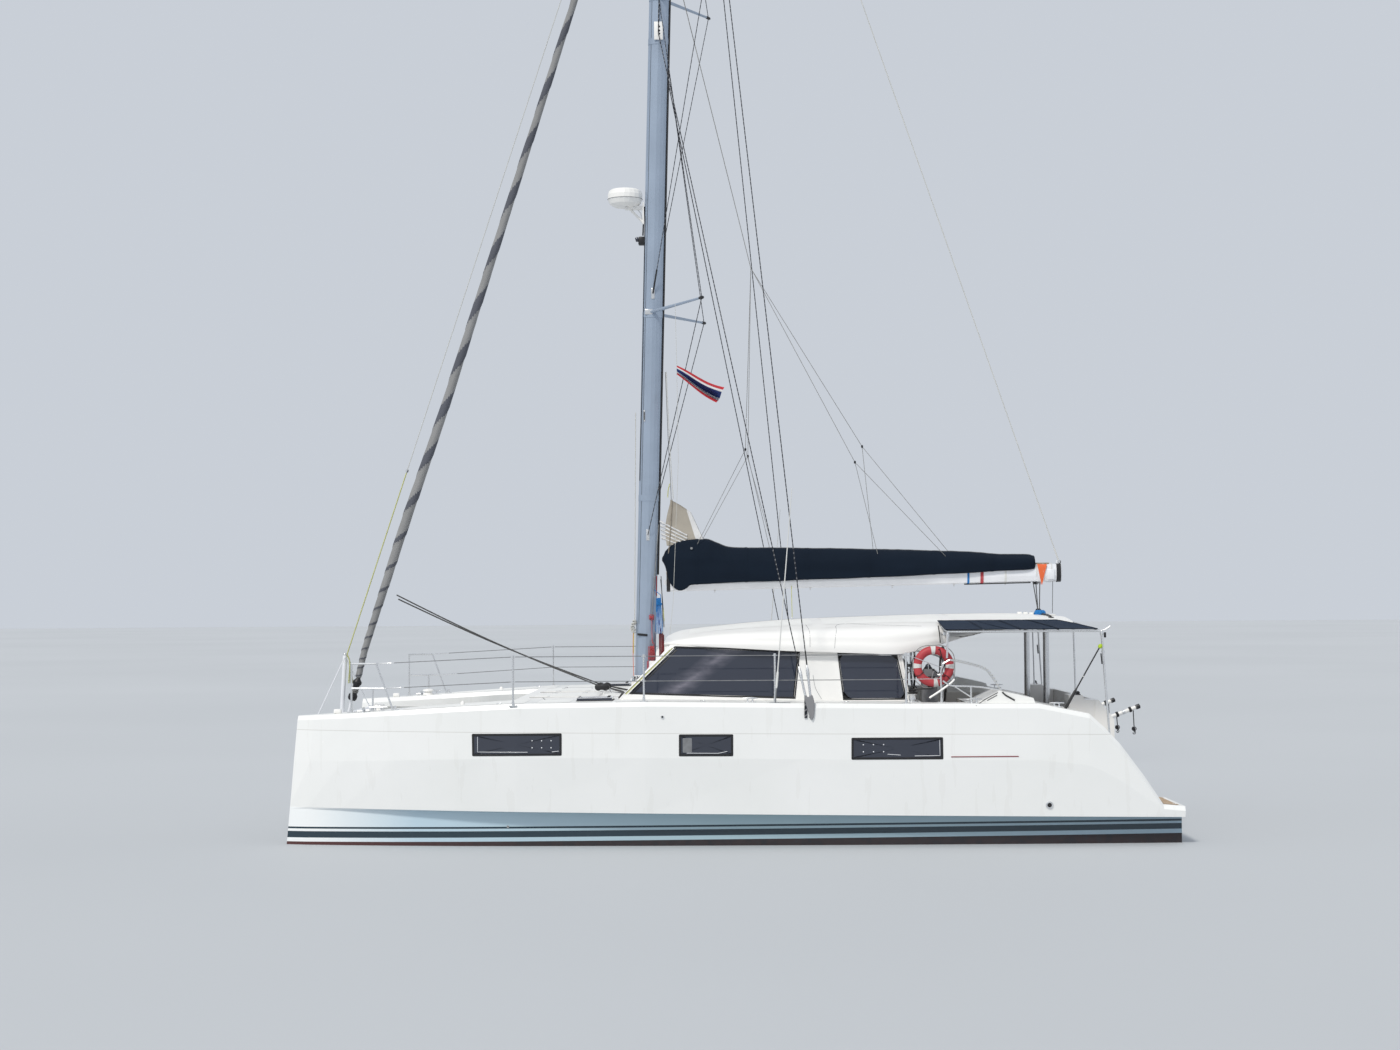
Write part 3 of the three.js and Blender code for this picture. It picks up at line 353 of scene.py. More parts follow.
def hank_route(at, z, rope, turns, pitch, wrap, wraps, tail, lead, fast):
    """Runs side by side, folded over at both ends, then wraps round them all and a hanging tail."""
    (x, y), (top, low) = at, z
    high, deep = top - HANK_DEEP, HANK_DEEP

    def spread(level):
        return pitch[0] + (pitch[1] - pitch[0]) * smooth_step((high - level) / (high - low))

    def strand(turn, level):
        return x + (turn - (turns - 1) / 2) * spread(level)

    path = [Vector(fast), Vector((strand(0, high), y + deep, high + lead + HANK_DEEP))]
    for turn in range(turns):
        aside = abs(turn - (turns - 1) / 2) / turns
        foot = low + deep + 0.12 * aside ** 1.6 + 0.016 * (0.5 + 0.5 * math.cos(turn * 2.4))
        path += [Vector((strand(turn, level), y + deep, level))
                 for level in (high + (foot - high) * s / 8 for s in range(9))]
        for s in range(1, 6):
            bend = math.pi * s / 6
            path.append(Vector((strand(turn, foot), y + deep * math.cos(bend), foot - deep * math.sin(bend))))
        path += [Vector((strand(turn, level), y - deep, level))
                 for level in (foot + (high - foot) * s / 8 for s in range(9))]
        if turn + 1 < turns:
            for s in range(1, 6):
                bend = math.pi * s / 6
                level = high + deep * math.sin(bend)
                path.append(Vector((strand(turn + s / 6, high), y - deep * math.cos(bend), level)))
    # Over the top behind the last run, then round them all
    half = (turns - 1) / 2 * spread(wrap) + 1.08 * rope
    out = deep + 1.08 * rope
    path += [Vector((x + half + 0.3 * rope, y - deep * 0.8, high + 0.016)),
             Vector((x + half, y - deep * 0.2, high))]
    path.append(Vector((x + half, y, (wrap + high) / 2)))
    corners = rounded([Vector((half, out)), Vector((-half, out)), Vector((-half, -out)),
                       Vector((half, -out))],
                      1.08 * rope, 3)
    start = min(range(len(corners)), key=lambda i: (corners[i] - Vector((half, 0))).length)
    ring = corners[start:] + corners[:start]
    count = wraps * len(ring)
    for i in range(count + 1):
        p = ring[i % len(ring)]
        path.append(Vector((x + p.x, y + p.y, wrap - 1.1 * rope * i / len(ring))))
    last = path[-1]
    path += [last + Vector((0.25 * rope, 0.1 * rope, -tail * s / 5)) for s in range(1, 6)]
    return path


def make_cords():
    """Each hank is one length of rope."""
    for name, facts in HANKS.items():
        route = hank_route(**facts)
        shape = Shape().tube(route, facts["rope"] / 2, 8)
        colour = name.replace("hank_", "") + "_rope"
        piece = put(shape, f"halyard_{name}", "boat", [colour], colour, [name], angle=60)


# Materials


class Graph:
    """A material's nodes, added one by one and joined to the shader."""

    def __init__(self, name):
        self.material = bpy.data.materials.new(name)
        self.material.use_nodes = True
        self.tree = self.material.node_tree
        self.shader = self.tree.nodes["Principled BSDF"]
        self.place = self.add("ShaderNodeTexCoord").outputs["Object"]

    def add(self, kind, settings=(), **inputs):
        node = self.tree.nodes.new(kind)
        for key, value in dict(settings).items():
            setattr(node, key, value)
        for key, value in inputs.items():
            self.set(node, key.replace("_", " "), value)
        return node

    def set(self, node, key, value):
        socket = node.inputs[int(key[2:])] if key[:2] == "at" and key[2:].isdigit() else node.inputs[key]
        if isinstance(value, bpy.types.NodeSocket):
            self.tree.links.new(value, socket)
        else:
            socket.default_value = value

    def math(self, operation, a, b=0.0, c=0.0):
        return self.add("ShaderNodeMath", {"operation": operation}, at0=a, at1=b, at2=c).outputs[0]

    def noise(self, scale, detail=3.0, stretch=(1, 1, 1)):
        moved = self.add("ShaderNodeMapping", at0=self.place, at3=stretch).outputs[0]
        return self.add("ShaderNodeTexNoise", Vector=moved, Scale=scale, Detail=detail).outputs["Fac"]

    def wave(self, scale, direction="X", distortion=0.0):
        return self.add("ShaderNodeTexWave", {"bands_direction": direction}, Vector=self.place,
                        Scale=scale, Distortion=distortion).outputs["Fac"]

    def part(self, axis):
        return self.add("ShaderNodeSeparateXYZ", Vector=self.place).outputs[axis]

    def facing_up(self, share):
        normal = self.add("ShaderNodeNewGeometry").outputs["Normal"]
        return self.math("GREATER_THAN", self.add("ShaderNodeSeparateXYZ", Vector=normal).outputs["Z"], share)

    def ramp(self, fac, *stops):
        node = self.add("ShaderNodeValToRGB", Fac=fac)
        ramp = node.color_ramp
        while len(ramp.elements) < len(stops):
            ramp.elements.new(0.5)
        for element, (at, colour) in zip(ramp.elements, stops):
            element.position = at
            element.color = (*colour, 1)
        return node.outputs["Color"]

    def mix(self, fac, a, b):
        node = self.add("ShaderNodeMix", {"data_type": "RGBA"})
        self.set(node, "at0", fac)
        for slot, value in ((6, a), (7, b)):
            self.set(node, f"at{slot}", (*value, 1) if isinstance(value, tuple) else value)
        return node.outputs[2]

    def bump(self, height, strength, distance=0.002):
        node = self.add("ShaderNodeBump", Strength=strength, Distance=distance, Height=height)
        self.tree.links.new(node.outputs["Normal"], self.shader.inputs["Normal"])

    def shade(self, **sockets):
        for key, value in sockets.items():
            self.set(self.shader, key.replace("_", " "), (*value, 1) if isinstance(value, tuple) else value)
        return self.material


def tinted(colour, share):
    return tuple(min(1.0, c * share) for c in colour)


def surface(name, colour, roughness, metallic=0.0, mottle=(1.5, 0.05), grain=(60.0, 0.12), coat=0.0):
    """A plain finish: its colour drifts over the mottle's scale, its gloss and bump over the grain's."""
    g = Graph(name)
    g.shade(Base_Color=g.ramp(g.noise(mottle[0], 4), (0.3, tinted(colour, 1 - mottle[1])),
                              (0.7, tinted(colour, 1 + mottle[1]))))
    fine = g.noise(grain[0], 4)
    g.bump(fine, grain[1])
    return g.shade(Roughness=g.math("MULTIPLY_ADD", fine, 0.16, roughness - 0.08), Metallic=metallic,
                   Coat_Weight=coat, Coat_Roughness=0.08)


def woven(name, colour, roughness=0.85, thread=900.0, strength=0.35, mottle=(2.0, 0.12)):
    """Cloth: two sets of threads in the bump, and a soft drift of colour where it has faded."""
    g = Graph(name)
    g.shade(Base_Color=g.ramp(g.noise(mottle[0], 5), (0.25, tinted(colour, 1 - mottle[1])),
                              (0.75, tinted(colour, 1 + mottle[1]))))
    weave = g.math("ADD", g.wave(thread, "X"), g.wave(thread, "Z"))
    g.bump(g.math("MULTIPLY_ADD", g.noise(7.0, 6), 1.6, weave), strength, 0.0015)
    return g.shade(Roughness=roughness, Sheen_Weight=0.03, Sheen_Roughness=0.5, Specular_IOR_Level=0.12)


def stay_wire():
    """Laid wire: dark strands, with painted highlights winding along the lay where the strands catch the
    light.
    """
    g = Graph("stay_wire")
    turn = g.math("FRACT", g.math("MULTIPLY_ADD", g.part("Z"), 14.0, g.math("MULTIPLY", g.part("X"), 9.0)))
    # The pale share is a painted highlight on the strands
    pale = g.math("LESS_THAN", turn, 0.30)
    g.shade(Base_Color=g.mix(pale, (0.014, 0.016, 0.022), (0.20, 0.20, 0.21)))
    g.bump(g.wave(260, "DIAGONAL", 1.0), 0.5, 0.001)
    return g.shade(Roughness=0.42, Metallic=0.4)


def rope(name, colour, fleck, scale=170.0):
    """Braid: slanted strands in the bump, with flecks of the tracer colour."""
    g = Graph(name)
    strands = g.wave(scale, "DIAGONAL", 2.0)
    g.shade(Base_Color=g.ramp(strands, (0.2, tinted(colour, 0.75)), (0.6, colour), (0.93, fleck)))
    g.bump(strands, 0.6, 0.002)
    return g.shade(Roughness=0.85)


# Lines painted along the topsides: z at the bow and at the stern
BOW_X = 5.96
STRIPES = (((0.237, 0.315), (0.212, 0.288)), ((0.178, 0.258), (0.092, 0.184)))
BOOT_TOP = (0.039, 0.128)
SEAM = (1.539, 1.443)
CHINE_LINE = (0.500, 0.354)


def above_line(g, line):
    """How far a point is above a line painted from bow to stern."""
    slope = (line[0] - line[1]) / (2 * BOW_X)
    return g.math("SUBTRACT", g.part("Z"), g.math("MULTIPLY_ADD", g.part("X"), slope, sum(line) / 2))


def hull_paint():
    """White gelcoat with two dark stripes, the bottom paint below and the seam where the deck joins; painted
    shade and a painted sea reflection below the chine, and painted shade on the bottom paint aft of the bow.
    """
    g = Graph("hull_gelcoat")
    colour = g.ramp(g.noise(0.8, 4), (0.3, (0.86, 0.865, 0.845)), (0.7, (0.90, 0.90, 0.885)))
    upward = g.facing_up(0.9)
    colour = g.mix(upward, colour,
                   g.ramp(g.noise(40, 3), (0.3, (0.78, 0.78, 0.76)), (0.7, (0.85, 0.85, 0.83))))
    streaks = g.math("MULTIPLY", g.math("GREATER_THAN", g.noise(3.0, 5, (3, 3, 0.25)), 0.62), 0.06)
    colour = g.mix(streaks, colour, (0.5, 0.47, 0.40))
    seam = g.math("LESS_THAN", g.math("ABSOLUTE", above_line(g, SEAM)), 0.005)
    colour = g.mix(g.math("MULTIPLY", seam, 0.30), colour, (0.36, 0.33, 0.28))
    # Painted shade and a painted reflection of the sea below the chine, deeper towards the stern and fading
    # to white near the bow
    fore = g.math("MULTIPLY_ADD", g.part("X"), 0.5 / BOW_X, 0.5)
    below = g.math("LESS_THAN", above_line(g, CHINE_LINE), 0.0)
    painted_shade_and_sea_reflection = g.ramp(fore, (0.0, (0.30, 0.41, 0.49)), (0.5, (0.38, 0.52, 0.58)), (0.85, (0.50, 0.64, 0.73)),
                 (0.97, (0.88, 0.90, 0.90)))
    colour = g.mix(below, colour, painted_shade_and_sea_reflection)
    for high, low in STRIPES:
        inside = g.math("MULTIPLY", g.math("LESS_THAN", above_line(g, high), 0.0),
                        g.math("GREATER_THAN", above_line(g, low), 0.0))
        colour = g.mix(inside, colour, (0.014, 0.034, 0.050))
    under = g.math("LESS_THAN", above_line(g, BOOT_TOP), 0.0)
    # Bottom paint: its own dark red shows only towards the bow; aft of that the near black is painted shade
    # under the chine
    paint = g.ramp(g.noise(9, 6), (0.3, (0.012, 0.013, 0.018)), (0.55, (0.026, 0.016, 0.018)),
                   (0.8, (0.018, 0.021, 0.027)))
    paint = g.mix(g.ramp(fore, (0.72, (0, 0, 0)), (0.96, (0.9, 0.9, 0.9))), paint, (0.085, 0.022, 0.020))
    rough = g.math("MULTIPLY_ADD", g.noise(3, 5), 0.10, 0.20)
    matt = g.math("MULTIPLY", g.math("MAXIMUM", under, upward), 0.65)
    g.bump(g.math("MULTIPLY", g.noise(140, 2), upward), 0.4, 0.001)
    return g.shade(Base_Color=g.mix(under, colour, paint), Roughness=g.math("MAXIMUM", rough, matt),
                   Coat_Weight=0.25, Coat_Roughness=0.06)


def dark_glass():
    """Tinted glazing: near black, with a painted violet reflection where it turns away from the view and a
    painted reflection streaked across it.
    """
    g = Graph("tinted_glass")
    # Painted reflection: lighter and more violet where the glass turns away from the view
    facing = g.add("ShaderNodeLayerWeight", Blend=0.4).outputs["Facing"]
    base = g.mix(facing, (0.022, 0.028, 0.046), (0.058, 0.062, 0.105))
    base = g.mix(g.math("MULTIPLY", g.noise(0.9, 3), 0.5), base, (0.030, 0.034, 0.052))
    # Painted reflection in a slanting streak, broken up by fainter level bands
    slant = g.math("MULTIPLY_ADD", g.part("Z"), 1.345, g.part("X"))
    slant = g.math("MULTIPLY_ADD", g.noise(2.4, 4), 0.16, slant)
    away = g.math("ABSOLUTE", g.math("SUBTRACT", slant, 3.53))
    streak = g.ramp(away, (0.0, (0.62, 0.62, 0.62)), (0.075, (0.34, 0.34, 0.34)), (0.26, (0, 0, 0)))
    patchy = g.ramp(g.noise(5, 5, (1, 1, 3)), (0.35, (0.25, 0.25, 0.25)), (0.7, (1, 1, 1)))
    streak = g.math("MULTIPLY", g.math("MULTIPLY", streak, patchy), 0.85)
    g.shade(Base_Color=g.mix(streak, base, (0.34, 0.32, 0.38)))
    g.bump(g.noise(1.3, 2), 0.05, 0.02)
    return g.shade(Roughness=0.06, Coat_Weight=0.6, Coat_Roughness=0.03)


def planked_teak():
    """Teak boards along X with dark caulking between them."""
    g = Graph("teak")
    board = g.math("FRACT", g.math("MULTIPLY", g.part("Y"), 18.0))
    caulk = g.math("LESS_THAN", board, 0.09)
    wood = g.ramp(g.noise(14, 8, (0.25, 2.5, 1)), (0.3, (0.36, 0.24, 0.14)), (0.55, (0.50, 0.36, 0.23)),
                  (0.8, (0.60, 0.46, 0.32)))
    g.shade(Base_Color=g.mix(caulk, wood, (0.03, 0.028, 0.026)))
    g.bump(g.math("SUBTRACT", g.noise(60, 5, (0.3, 3, 1)), caulk), 0.4, 0.002)
    return g.shade(Roughness=0.62)


def make_materials():
    return {
        "hull": hull_paint(),
        "gelcoat": surface("gelcoat", (0.885, 0.875, 0.85), 0.42, mottle=(0.9, 0.02),
                           coat=0.15, grain=(12, 0.012)),
        "deck": surface("deck_nonslip", (0.83, 0.83, 0.81), 0.62, mottle=(2, 0.03), grain=(260, 0.5)),
        "glass": dark_glass(),
        "mast_alloy": surface("mast_alloy", (0.36, 0.43, 0.53), 0.36, 0.45,
                              mottle=(3, 0.05), grain=(90, 0.05)),
        "boom_alloy": surface("boom_alloy", (0.84, 0.85, 0.88), 0.3, 0.1, mottle=(4, 0.04), grain=(90, 0.05)),
        "steel": surface("stainless", (0.72, 0.73, 0.74), 0.28, 0.85, mottle=(8, 0.06), grain=(120, 0.04)),
        "wire": stay_wire(),
        "shroud_cover": woven("grey_cover", (0.27, 0.27, 0.28), 0.8),
        "canvas": woven("navy_canvas", (0.006, 0.012, 0.023)),
        "bimini": woven("canopy_canvas", (0.016, 0.028, 0.052)),
        "sailcloth": woven("sailcloth", (0.41, 0.375, 0.32), 0.75),
        "leech": woven("white_sailcloth", (0.70, 0.70, 0.70), 0.75),
        "jib_cloth": woven("sun_strip", (0.28, 0.28, 0.28), 0.7),
        # Painted shade for the creases of the rolled headsail
        "jib_dark": woven("sun_strip_painted_crease_shade", (0.105, 0.11, 0.13), 0.7),
        "netting": woven("netting", (0.50, 0.51, 0.50), 0.8),
        "cushion": woven("upholstery", (0.10, 0.12, 0.155), 0.85),
        "teak": planked_teak(),
        "lifebuoy": surface("lifebuoy_red", (0.46, 0.045, 0.055), 0.55, mottle=(12, 0.12), grain=(150, 0.2)),
        "band": woven("white_webbing", (0.72, 0.72, 0.70), 0.7, 1500),
        "cast": surface("cast_paint", (0.05, 0.055, 0.065), 0.5, 0.3),
        "antifouling": surface("bottom_paint", (0.07, 0.025, 0.022), 0.75, mottle=(8, 0.3), grain=(80, 0.3)),
        "bronze": surface("bronze", (0.44, 0.27, 0.12), 0.35, 1.0, mottle=(20, 0.2)),
        "black": surface("black_plastic", (0.012, 0.012, 0.014), 0.45, grain=(200, 0.15)),
        "grey": surface("grey_boot", (0.20, 0.205, 0.215), 0.7, mottle=(15, 0.15), grain=(200, 0.3)),
        "red_line": surface("red_line", (0.20, 0.02, 0.025), 0.4),
        "lime": surface("lime_tape", (0.45, 0.62, 0.03), 0.5),
        "yellow_green": rope("yellow_green_rope", (0.52, 0.54, 0.07), (0.72, 0.72, 0.50)),
        "white_rope": rope("white_rope", (0.62, 0.62, 0.58), (0.75, 0.75, 0.72)),
        "grey_rope": rope("grey_rope", (0.22, 0.22, 0.22), (0.40, 0.40, 0.38)),
        "black_rope": rope("black_rope", (0.025, 0.025, 0.03), (0.18, 0.18, 0.17)),
        "tan_rope": rope("tan_rope", (0.30, 0.25, 0.19), (0.45, 0.40, 0.33)),
        "blue_rope": rope("blue_rope", (0.006, 0.14, 0.46), (0.03, 0.28, 0.66)),
        "red_rope": rope("red_rope", (0.50, 0.01, 0.03), (0.62, 0.20, 0.20)),
        "orange": woven("orange_cloth", (0.78, 0.16, 0.06), 0.7),
        "flag_red": woven("flag_red", (0.50, 0.03, 0.04), 0.75, 2000),
        "flag_white": woven("flag_white", (0.66, 0.66, 0.66), 0.75, 2000),
        "flag_blue": woven("flag_blue", (0.02, 0.05, 0.22), 0.75, 2000),
    }


# The helm pedestal is painted dark grey as painted shade, for where it stands under the hardtop
NODE_FINISH = {"hull": "hull", "canopy_frame": "steel", "crossbeam": "boom_alloy", "helm_pedestal": "grey"}


def dress_nodes():
    """Every CAD node takes the finish of its slot, smooth where its faces turn gently."""
    slots = {row["node"]: row["material_slot"] for row in frame["record"]["subparts"]}
    for name, node in NODES.items():
        stem = name.rsplit("_", 1)[0] if name.endswith(("_port", "_starboard")) else name
        node.data.materials.clear()
        node.data.materials.append(MATERIALS[NODE_FINISH.get(stem, slots[name])])
        node.data.polygons.foreach_set("material_index", [0] * len(node.data.polygons))
        node.data.shade_smooth()
        node.data.set_sharp_from_angle(angle=math.radians(28))


# Stage


def make_stage():
    reach = 300
    data = bpy.data.meshes.new("floor")
    corners = [(-reach, -reach, 0), (reach, -reach, 0), (reach, reach, 0), (-reach, reach, 0)]
    data.from_pydata(corners, [], [(0, 1, 2, 3)])
    floor = bpy.data.objects.new("floor", data)
    bpy.context.scene.collection.objects.link(floor)
    g = Graph("floor")
    g.shade(Base_Color=g.ramp(g.noise(0.05, 2), (0.3, (0.50, 0.52, 0.54)), (0.7, (0.53, 0.55, 0.57))),
            Roughness=0.7)
    data.materials.append(g.material)
    world = bpy.data.worlds.new("sky")
    world.use_nodes = True
    background = world.node_tree.nodes["Background"]
    background.inputs["Color"].default_value = (0.75, 0.80, 0.875, 1)
    background.inputs["Strength"].default_value = 0.78
    bpy.context.scene.world = world
    sun = bpy.data.lights.new("sun", "SUN")
    sun.energy = 2.05
    sun.angle = math.radians(9)
    sun.color = (1.0, 0.965, 0.90)
    lamp = bpy.data.objects.new("sun", sun)
    lamp.rotation_euler = Vector((-0.40, -0.66, -0.85)).to_track_quat("-Z", "Y").to_euler()
    bpy.context.scene.collection.objects.link(lamp)
    bpy.context.scene.view_settings.view_transform = "Standard"


# Roof and cabin

# Roof stations: x, half width, z of the lower edge, of the shoulder and of the crown
ROOF = (
    (0.880, 2.300, 2.640, 2.672, 2.735), (0.700, 2.440, 2.636, 2.720, 2.800),
    (0.120, 2.590, 2.600, 2.790, 2.872), (-0.820, 2.630, 2.545, 2.820, 2.950),
    (-1.940, 2.630, 2.502, 2.840, 2.990), (-2.300, 2.615, 2.490, 2.845, 3.000),
    (-2.790, 2.470, 2.600, 2.860, 3.012), (-3.430, 2.130, 2.760, 2.895, 3.020),
    (-4.090, 1.980, 2.830, 2.915, 3.020), (-4.770, 1.900, 2.870, 2.915, 2.982),
)
ROOF_THICK = 0.070
ROOF_STEPS = 72


def roof_section(x, shrink=0.0):
    """The roof cut across at x: crown, soft shoulder, eave with a small lip, and the underside."""
    wide, edge, shoulder, crown = (read_table(ROOF, x, column) for column in range(1, 5))
    wide -= shrink
    drop = crown - shoulder
    top = spline([(0, crown), (0.30 * wide, crown - 0.07 * drop), (0.55 * wide, crown - 0.25 * drop),
                  (wide - 0.19, shoulder - 0.004), (wide - 0.018, edge + 0.42 * (shoulder - edge)),
                  (wide, edge + 0.008)], 6)
    lip = [(wide - 0.004, edge + 0.001), (wide - 0.012, edge), (wide - 0.060, edge + 0.001)]
    under = spline([(wide - 0.064, edge + 0.006), (wide - 0.260, shoulder - ROOF_THICK),
                    (0.55 * wide, crown - 0.25 * drop - ROOF_THICK), (0, crown - ROOF_THICK)], 5)
    half = [Vector((p[0], p[1])) for p in [*top, *lip, *under]]
    ring = [Vector((x, p.x, p.y - shrink * 0.5 * (p.y > (edge + crown) / 2))) for p in half]
    return ring + [Vector((p.x, -p.y, p.z)) for p in reversed(ring[1:-1])]


def make_roof():
    fore, aft = ROOF[0][0], ROOF[-1][0]
    stations = [fore + (aft - fore) * i / ROOF_STEPS for i in range(ROOF_STEPS + 1)]
    shape = Shape()
    shape.rings([roof_section(fore, 0.010)] + [roof_section(x) for x in stations[1:-1]]
                + [roof_section(aft + 0.006), roof_section(aft, 0.012)])
    return put(shape, "hardtop_shell", "boat", ["gelcoat"], "gelcoat", ["hardtop"], angle=40)


def tree_of(piece):
    mesh = piece.data
    return BVHTree.FromPolygons([v.co.copy() for v in mesh.vertices],
                                [tuple(p.vertices) for p in mesh.polygons])


# Moulding seams on the roof's side and the cabin wall, in x and z
ROOF_SEAMS = (
    ((-1.06, 2.895), (-1.09, 2.80), (-1.09, 2.60)),
    ((-2.62, 2.865), (-2.0, 2.885), (-1.52, 2.895), (-1.45, 2.80), (-1.42, 2.58)),
)
WALL_SEAMS = (((-1.13, 2.22), (-1.16, 2.05), (-1.24, 1.90)),)


def border(corners, grow):
    """Points along a window's outline, each corner moved out by a distance along x and z."""
    middle = [sum(c[k] for c in corners) / 4 for k in (0, 1)]
    moved = [Vector(c[k] + math.copysign(grow, c[k] - middle[k]) for k in (0, 1)) for c in corners]
    return finely(moved, 0.05)


def make_seams(roof):
    """Fine grooves where mouldings meet, drawn on the surfaces that they cross."""
    roof_tree, wall_tree = tree_of(roof), surface_of("cabin_walls")

    def build():
        shape = Shape()
        for tree, seams in ((roof_tree, ROOF_SEAMS), (wall_tree, WALL_SEAMS)):
            for seam in seams:
                path = spline([(x, 0, z) for x, z in seam], 8)
                shape.tube([from_port(tree, p.x, p.z, -0.0005) for p in path], 0.0028, 6)
        return shape

    put_both(build, "moulding_seams", "boat", ["grey"], "gelcoat")


def make_window_trim():
    """Seals and printed borders of the cabin glass, the dark mask ahead of it and the pale trim behind."""
    walls = surface_of("cabin_walls", "side_glass_front_port", "side_glass_aft_port")
    outlines = (
        ((1.330, 2.000), (0.710, 2.600), (-0.940, 2.525), (-0.870, 1.925)),
        ((-1.480, 2.500), (-2.250, 2.475), (-2.365, 1.905), (-1.550, 1.905)),
    )

    def build():
        shape = Shape()
        for corners in outlines:
            centre = Vector([sum(c[k] for c in corners) / 4 for k in (0, 1)])
            seal = [p + (p - centre).normalized() * 0.012 for p in edge_points(corners, 12)]
            shape.tube(on_skin(walls, seal, 0.001), 0.009, 6, closed=True)
            # Printed border of the glazing
            shape.rings([on_skin(walls, border(corners, grow), off)
                         for grow, off in ((0.003, 0.0045), (0.018, 0.0045), (0.021, 0.0005))], caps=False)
        # Dark mask from the front pane to the cabin's raked corner
        ahead = ((1.372, 1.975), (1.160, 2.180), (0.950, 2.383), (0.760, 2.568))
        strip = [[from_port(walls, x - dx, z, off) for x, z in ahead]
                 for dx, off in ((-0.044, 0.0005), (-0.040, 0.005), (0.060, 0.005), (0.068, 0.0005))]
        shape.rings(strip, open_ring=True)
        shape.paint = 1
        for x in (-2.398, -2.412):
            shape.tube([from_port(walls, x + 0.125 * t, 1.90 + 0.58 * t, 0.004) for t in (0, 0.5, 1)], 0.007,
                       6)
        return shape

    put_both(build, "window_seals", "boat", ["black", "gelcoat"], "glass")


# Hull windows: the corners in x and z
HULL_WINDOWS = (
    ((3.392, 1.500), (2.198, 1.506), (2.200, 1.212), (3.389, 1.204)),
    ((0.662, 1.486), (-0.050, 1.484), (-0.048, 1.196), (0.664, 1.198)),
    ((-1.590, 1.430), (-2.787, 1.430), (-2.789, 1.140), (-1.588, 1.142)),
)
WINDOW_FRAME = 0.030
# For each window, where its screws are and the runs of its inner frame's pale edge
SCREWS = ((2.590, 2.465, 2.340), (), (-1.746, -1.878, -2.010))
INNER_LINES = (
    (((3.314, 1.460), (3.316, 1.260), (2.650, 1.258)), ((2.330, 1.262), (2.240, 1.272))),
    (((0.560, 1.240), (0.150, 1.236), (0.030, 1.260)),),
    (((-2.741, 1.392), (-2.745, 1.190), (-2.415, 1.188)), ((-2.230, 1.200), (-2.060, 1.212))),
)


def finely(outline, step=0.06, closed=True):
    """The outline with more points along its straight runs."""
    path = []
    for a, b in zip(outline, outline[1:] + outline[:1] if closed else outline[1:]):
        count = max(1, int((b - a).length / step))
        path += [a + (b - a) * k / count for k in range(count)]
    return path if closed else path + [outline[-1]]


def on_skin(tree, outline, off):
    return [from_port(tree, p.x, p.y, off) for p in outline]


def skin_patch(shape, tree, outline, levels):
    """A thin plate that follows the hull; levels are pairs of inset and height, from its edge inwards."""
    rings = [on_skin(tree, widened(outline, -inset), off) for inset, off in levels]
    shape.rings(rings, caps=False)
    inner, off = widened(outline, -levels[-1][0]), levels[-1][1]
    flat = sum(inner, Vector((0, 0))) / len(inner)
    shape.rings([on_skin(tree, [flat + (p - flat) * k for p in inner], off)
                 for k in (1.0, 0.66, 0.33, 0.0005)],
                caps=False)


def make_hull_windows():
    tree = surface_of("hull_port")

    def build():
        shape = Shape()
        for number, corners in enumerate(HULL_WINDOWS):
            outline = finely(rounded(corners, 0.018, 4))
            shape.paint = 0
            frame_levels = [(0, -0.003), (0.002, 0.005), (WINDOW_FRAME - 0.004, 0.006), (WINDOW_FRAME, 0.001)]
            shape.rings([on_skin(tree, widened(outline, -inset), off) for inset, off in frame_levels],
                        caps=False)
            shape.paint = 1
            skin_patch(shape, tree, outline, [(WINDOW_FRAME - 0.006, 0.0), (WINDOW_FRAME + 0.004, 0.0015)])
            (left, top), _, (_, low), _ = corners
            height = (top + low) / 2
            shape.paint = 2
            for x in SCREWS[number]:
                for z in (height + 0.052, height - 0.040):
                    at = from_port(tree, x, z, 0.001)
                    shape.turned([(0.008, 0), (0.008, 0.004), (0.005, 0.006)], at, (0, 1, 0), 10)
            for rest in INNER_LINES[number]:
                line = on_skin(tree, finely([Vector(p) for p in rest], closed=False), 0.003)
                shape.tube(line, 0.0035, 6)
            if number == 1:
                shape.paint = 3
                pane = finely(rounded([(left - 0.05, top - 0.05), (left - 0.17, top - 0.05),
                                       (left - 0.17, low + 0.05), (left - 0.05, low + 0.05)], 0.015))
                skin_patch(shape, tree, pane, [(0, 0.0015), (0.004, 0.003)])
        return shape

    put_both(build, "hull_windows", "boat", ["black", "glass", "boom_alloy", "grey"], "glass")


def make_skin_fittings():
    """Exhaust and drains through the topsides, and the accent line."""
    tree = surface_of("hull_port")

    def flange(shape, x, z, radius, deep):
        spot, normal = hit(tree, (x, 6, z), (0, -1, 0))
        shape.paint = 0
        shape.turned([(radius, -0.01), (radius, 0.006), (0.86 * radius, 0.014), (0.62 * radius, 0.012),
                      (0.60 * radius, deep)], spot, normal, 28)
        shape.paint = 1
        shape.turned([(0.60 * radius, 0.002), (0.55 * radius, 0.005)], spot, normal, 28)

    def build():
        shape = Shape()
        flange(shape, -4.175, 0.532, 0.050, 0.003)
        flange(shape, 0.875, 1.714, 0.022, 0.003)
        flange(shape, 2.942, 0.262, 0.016, 0.003)
        shape.paint = 2
        shape.tube([from_port(tree, -2.89 - 0.88 * t / 12, 1.172, 0.0005) for t in range(13)], 0.007, 6)
        return shape

    put_both(build, "skin_fittings", "boat", ["steel", "black", "red_line"], "steel")


# Sails and canvas

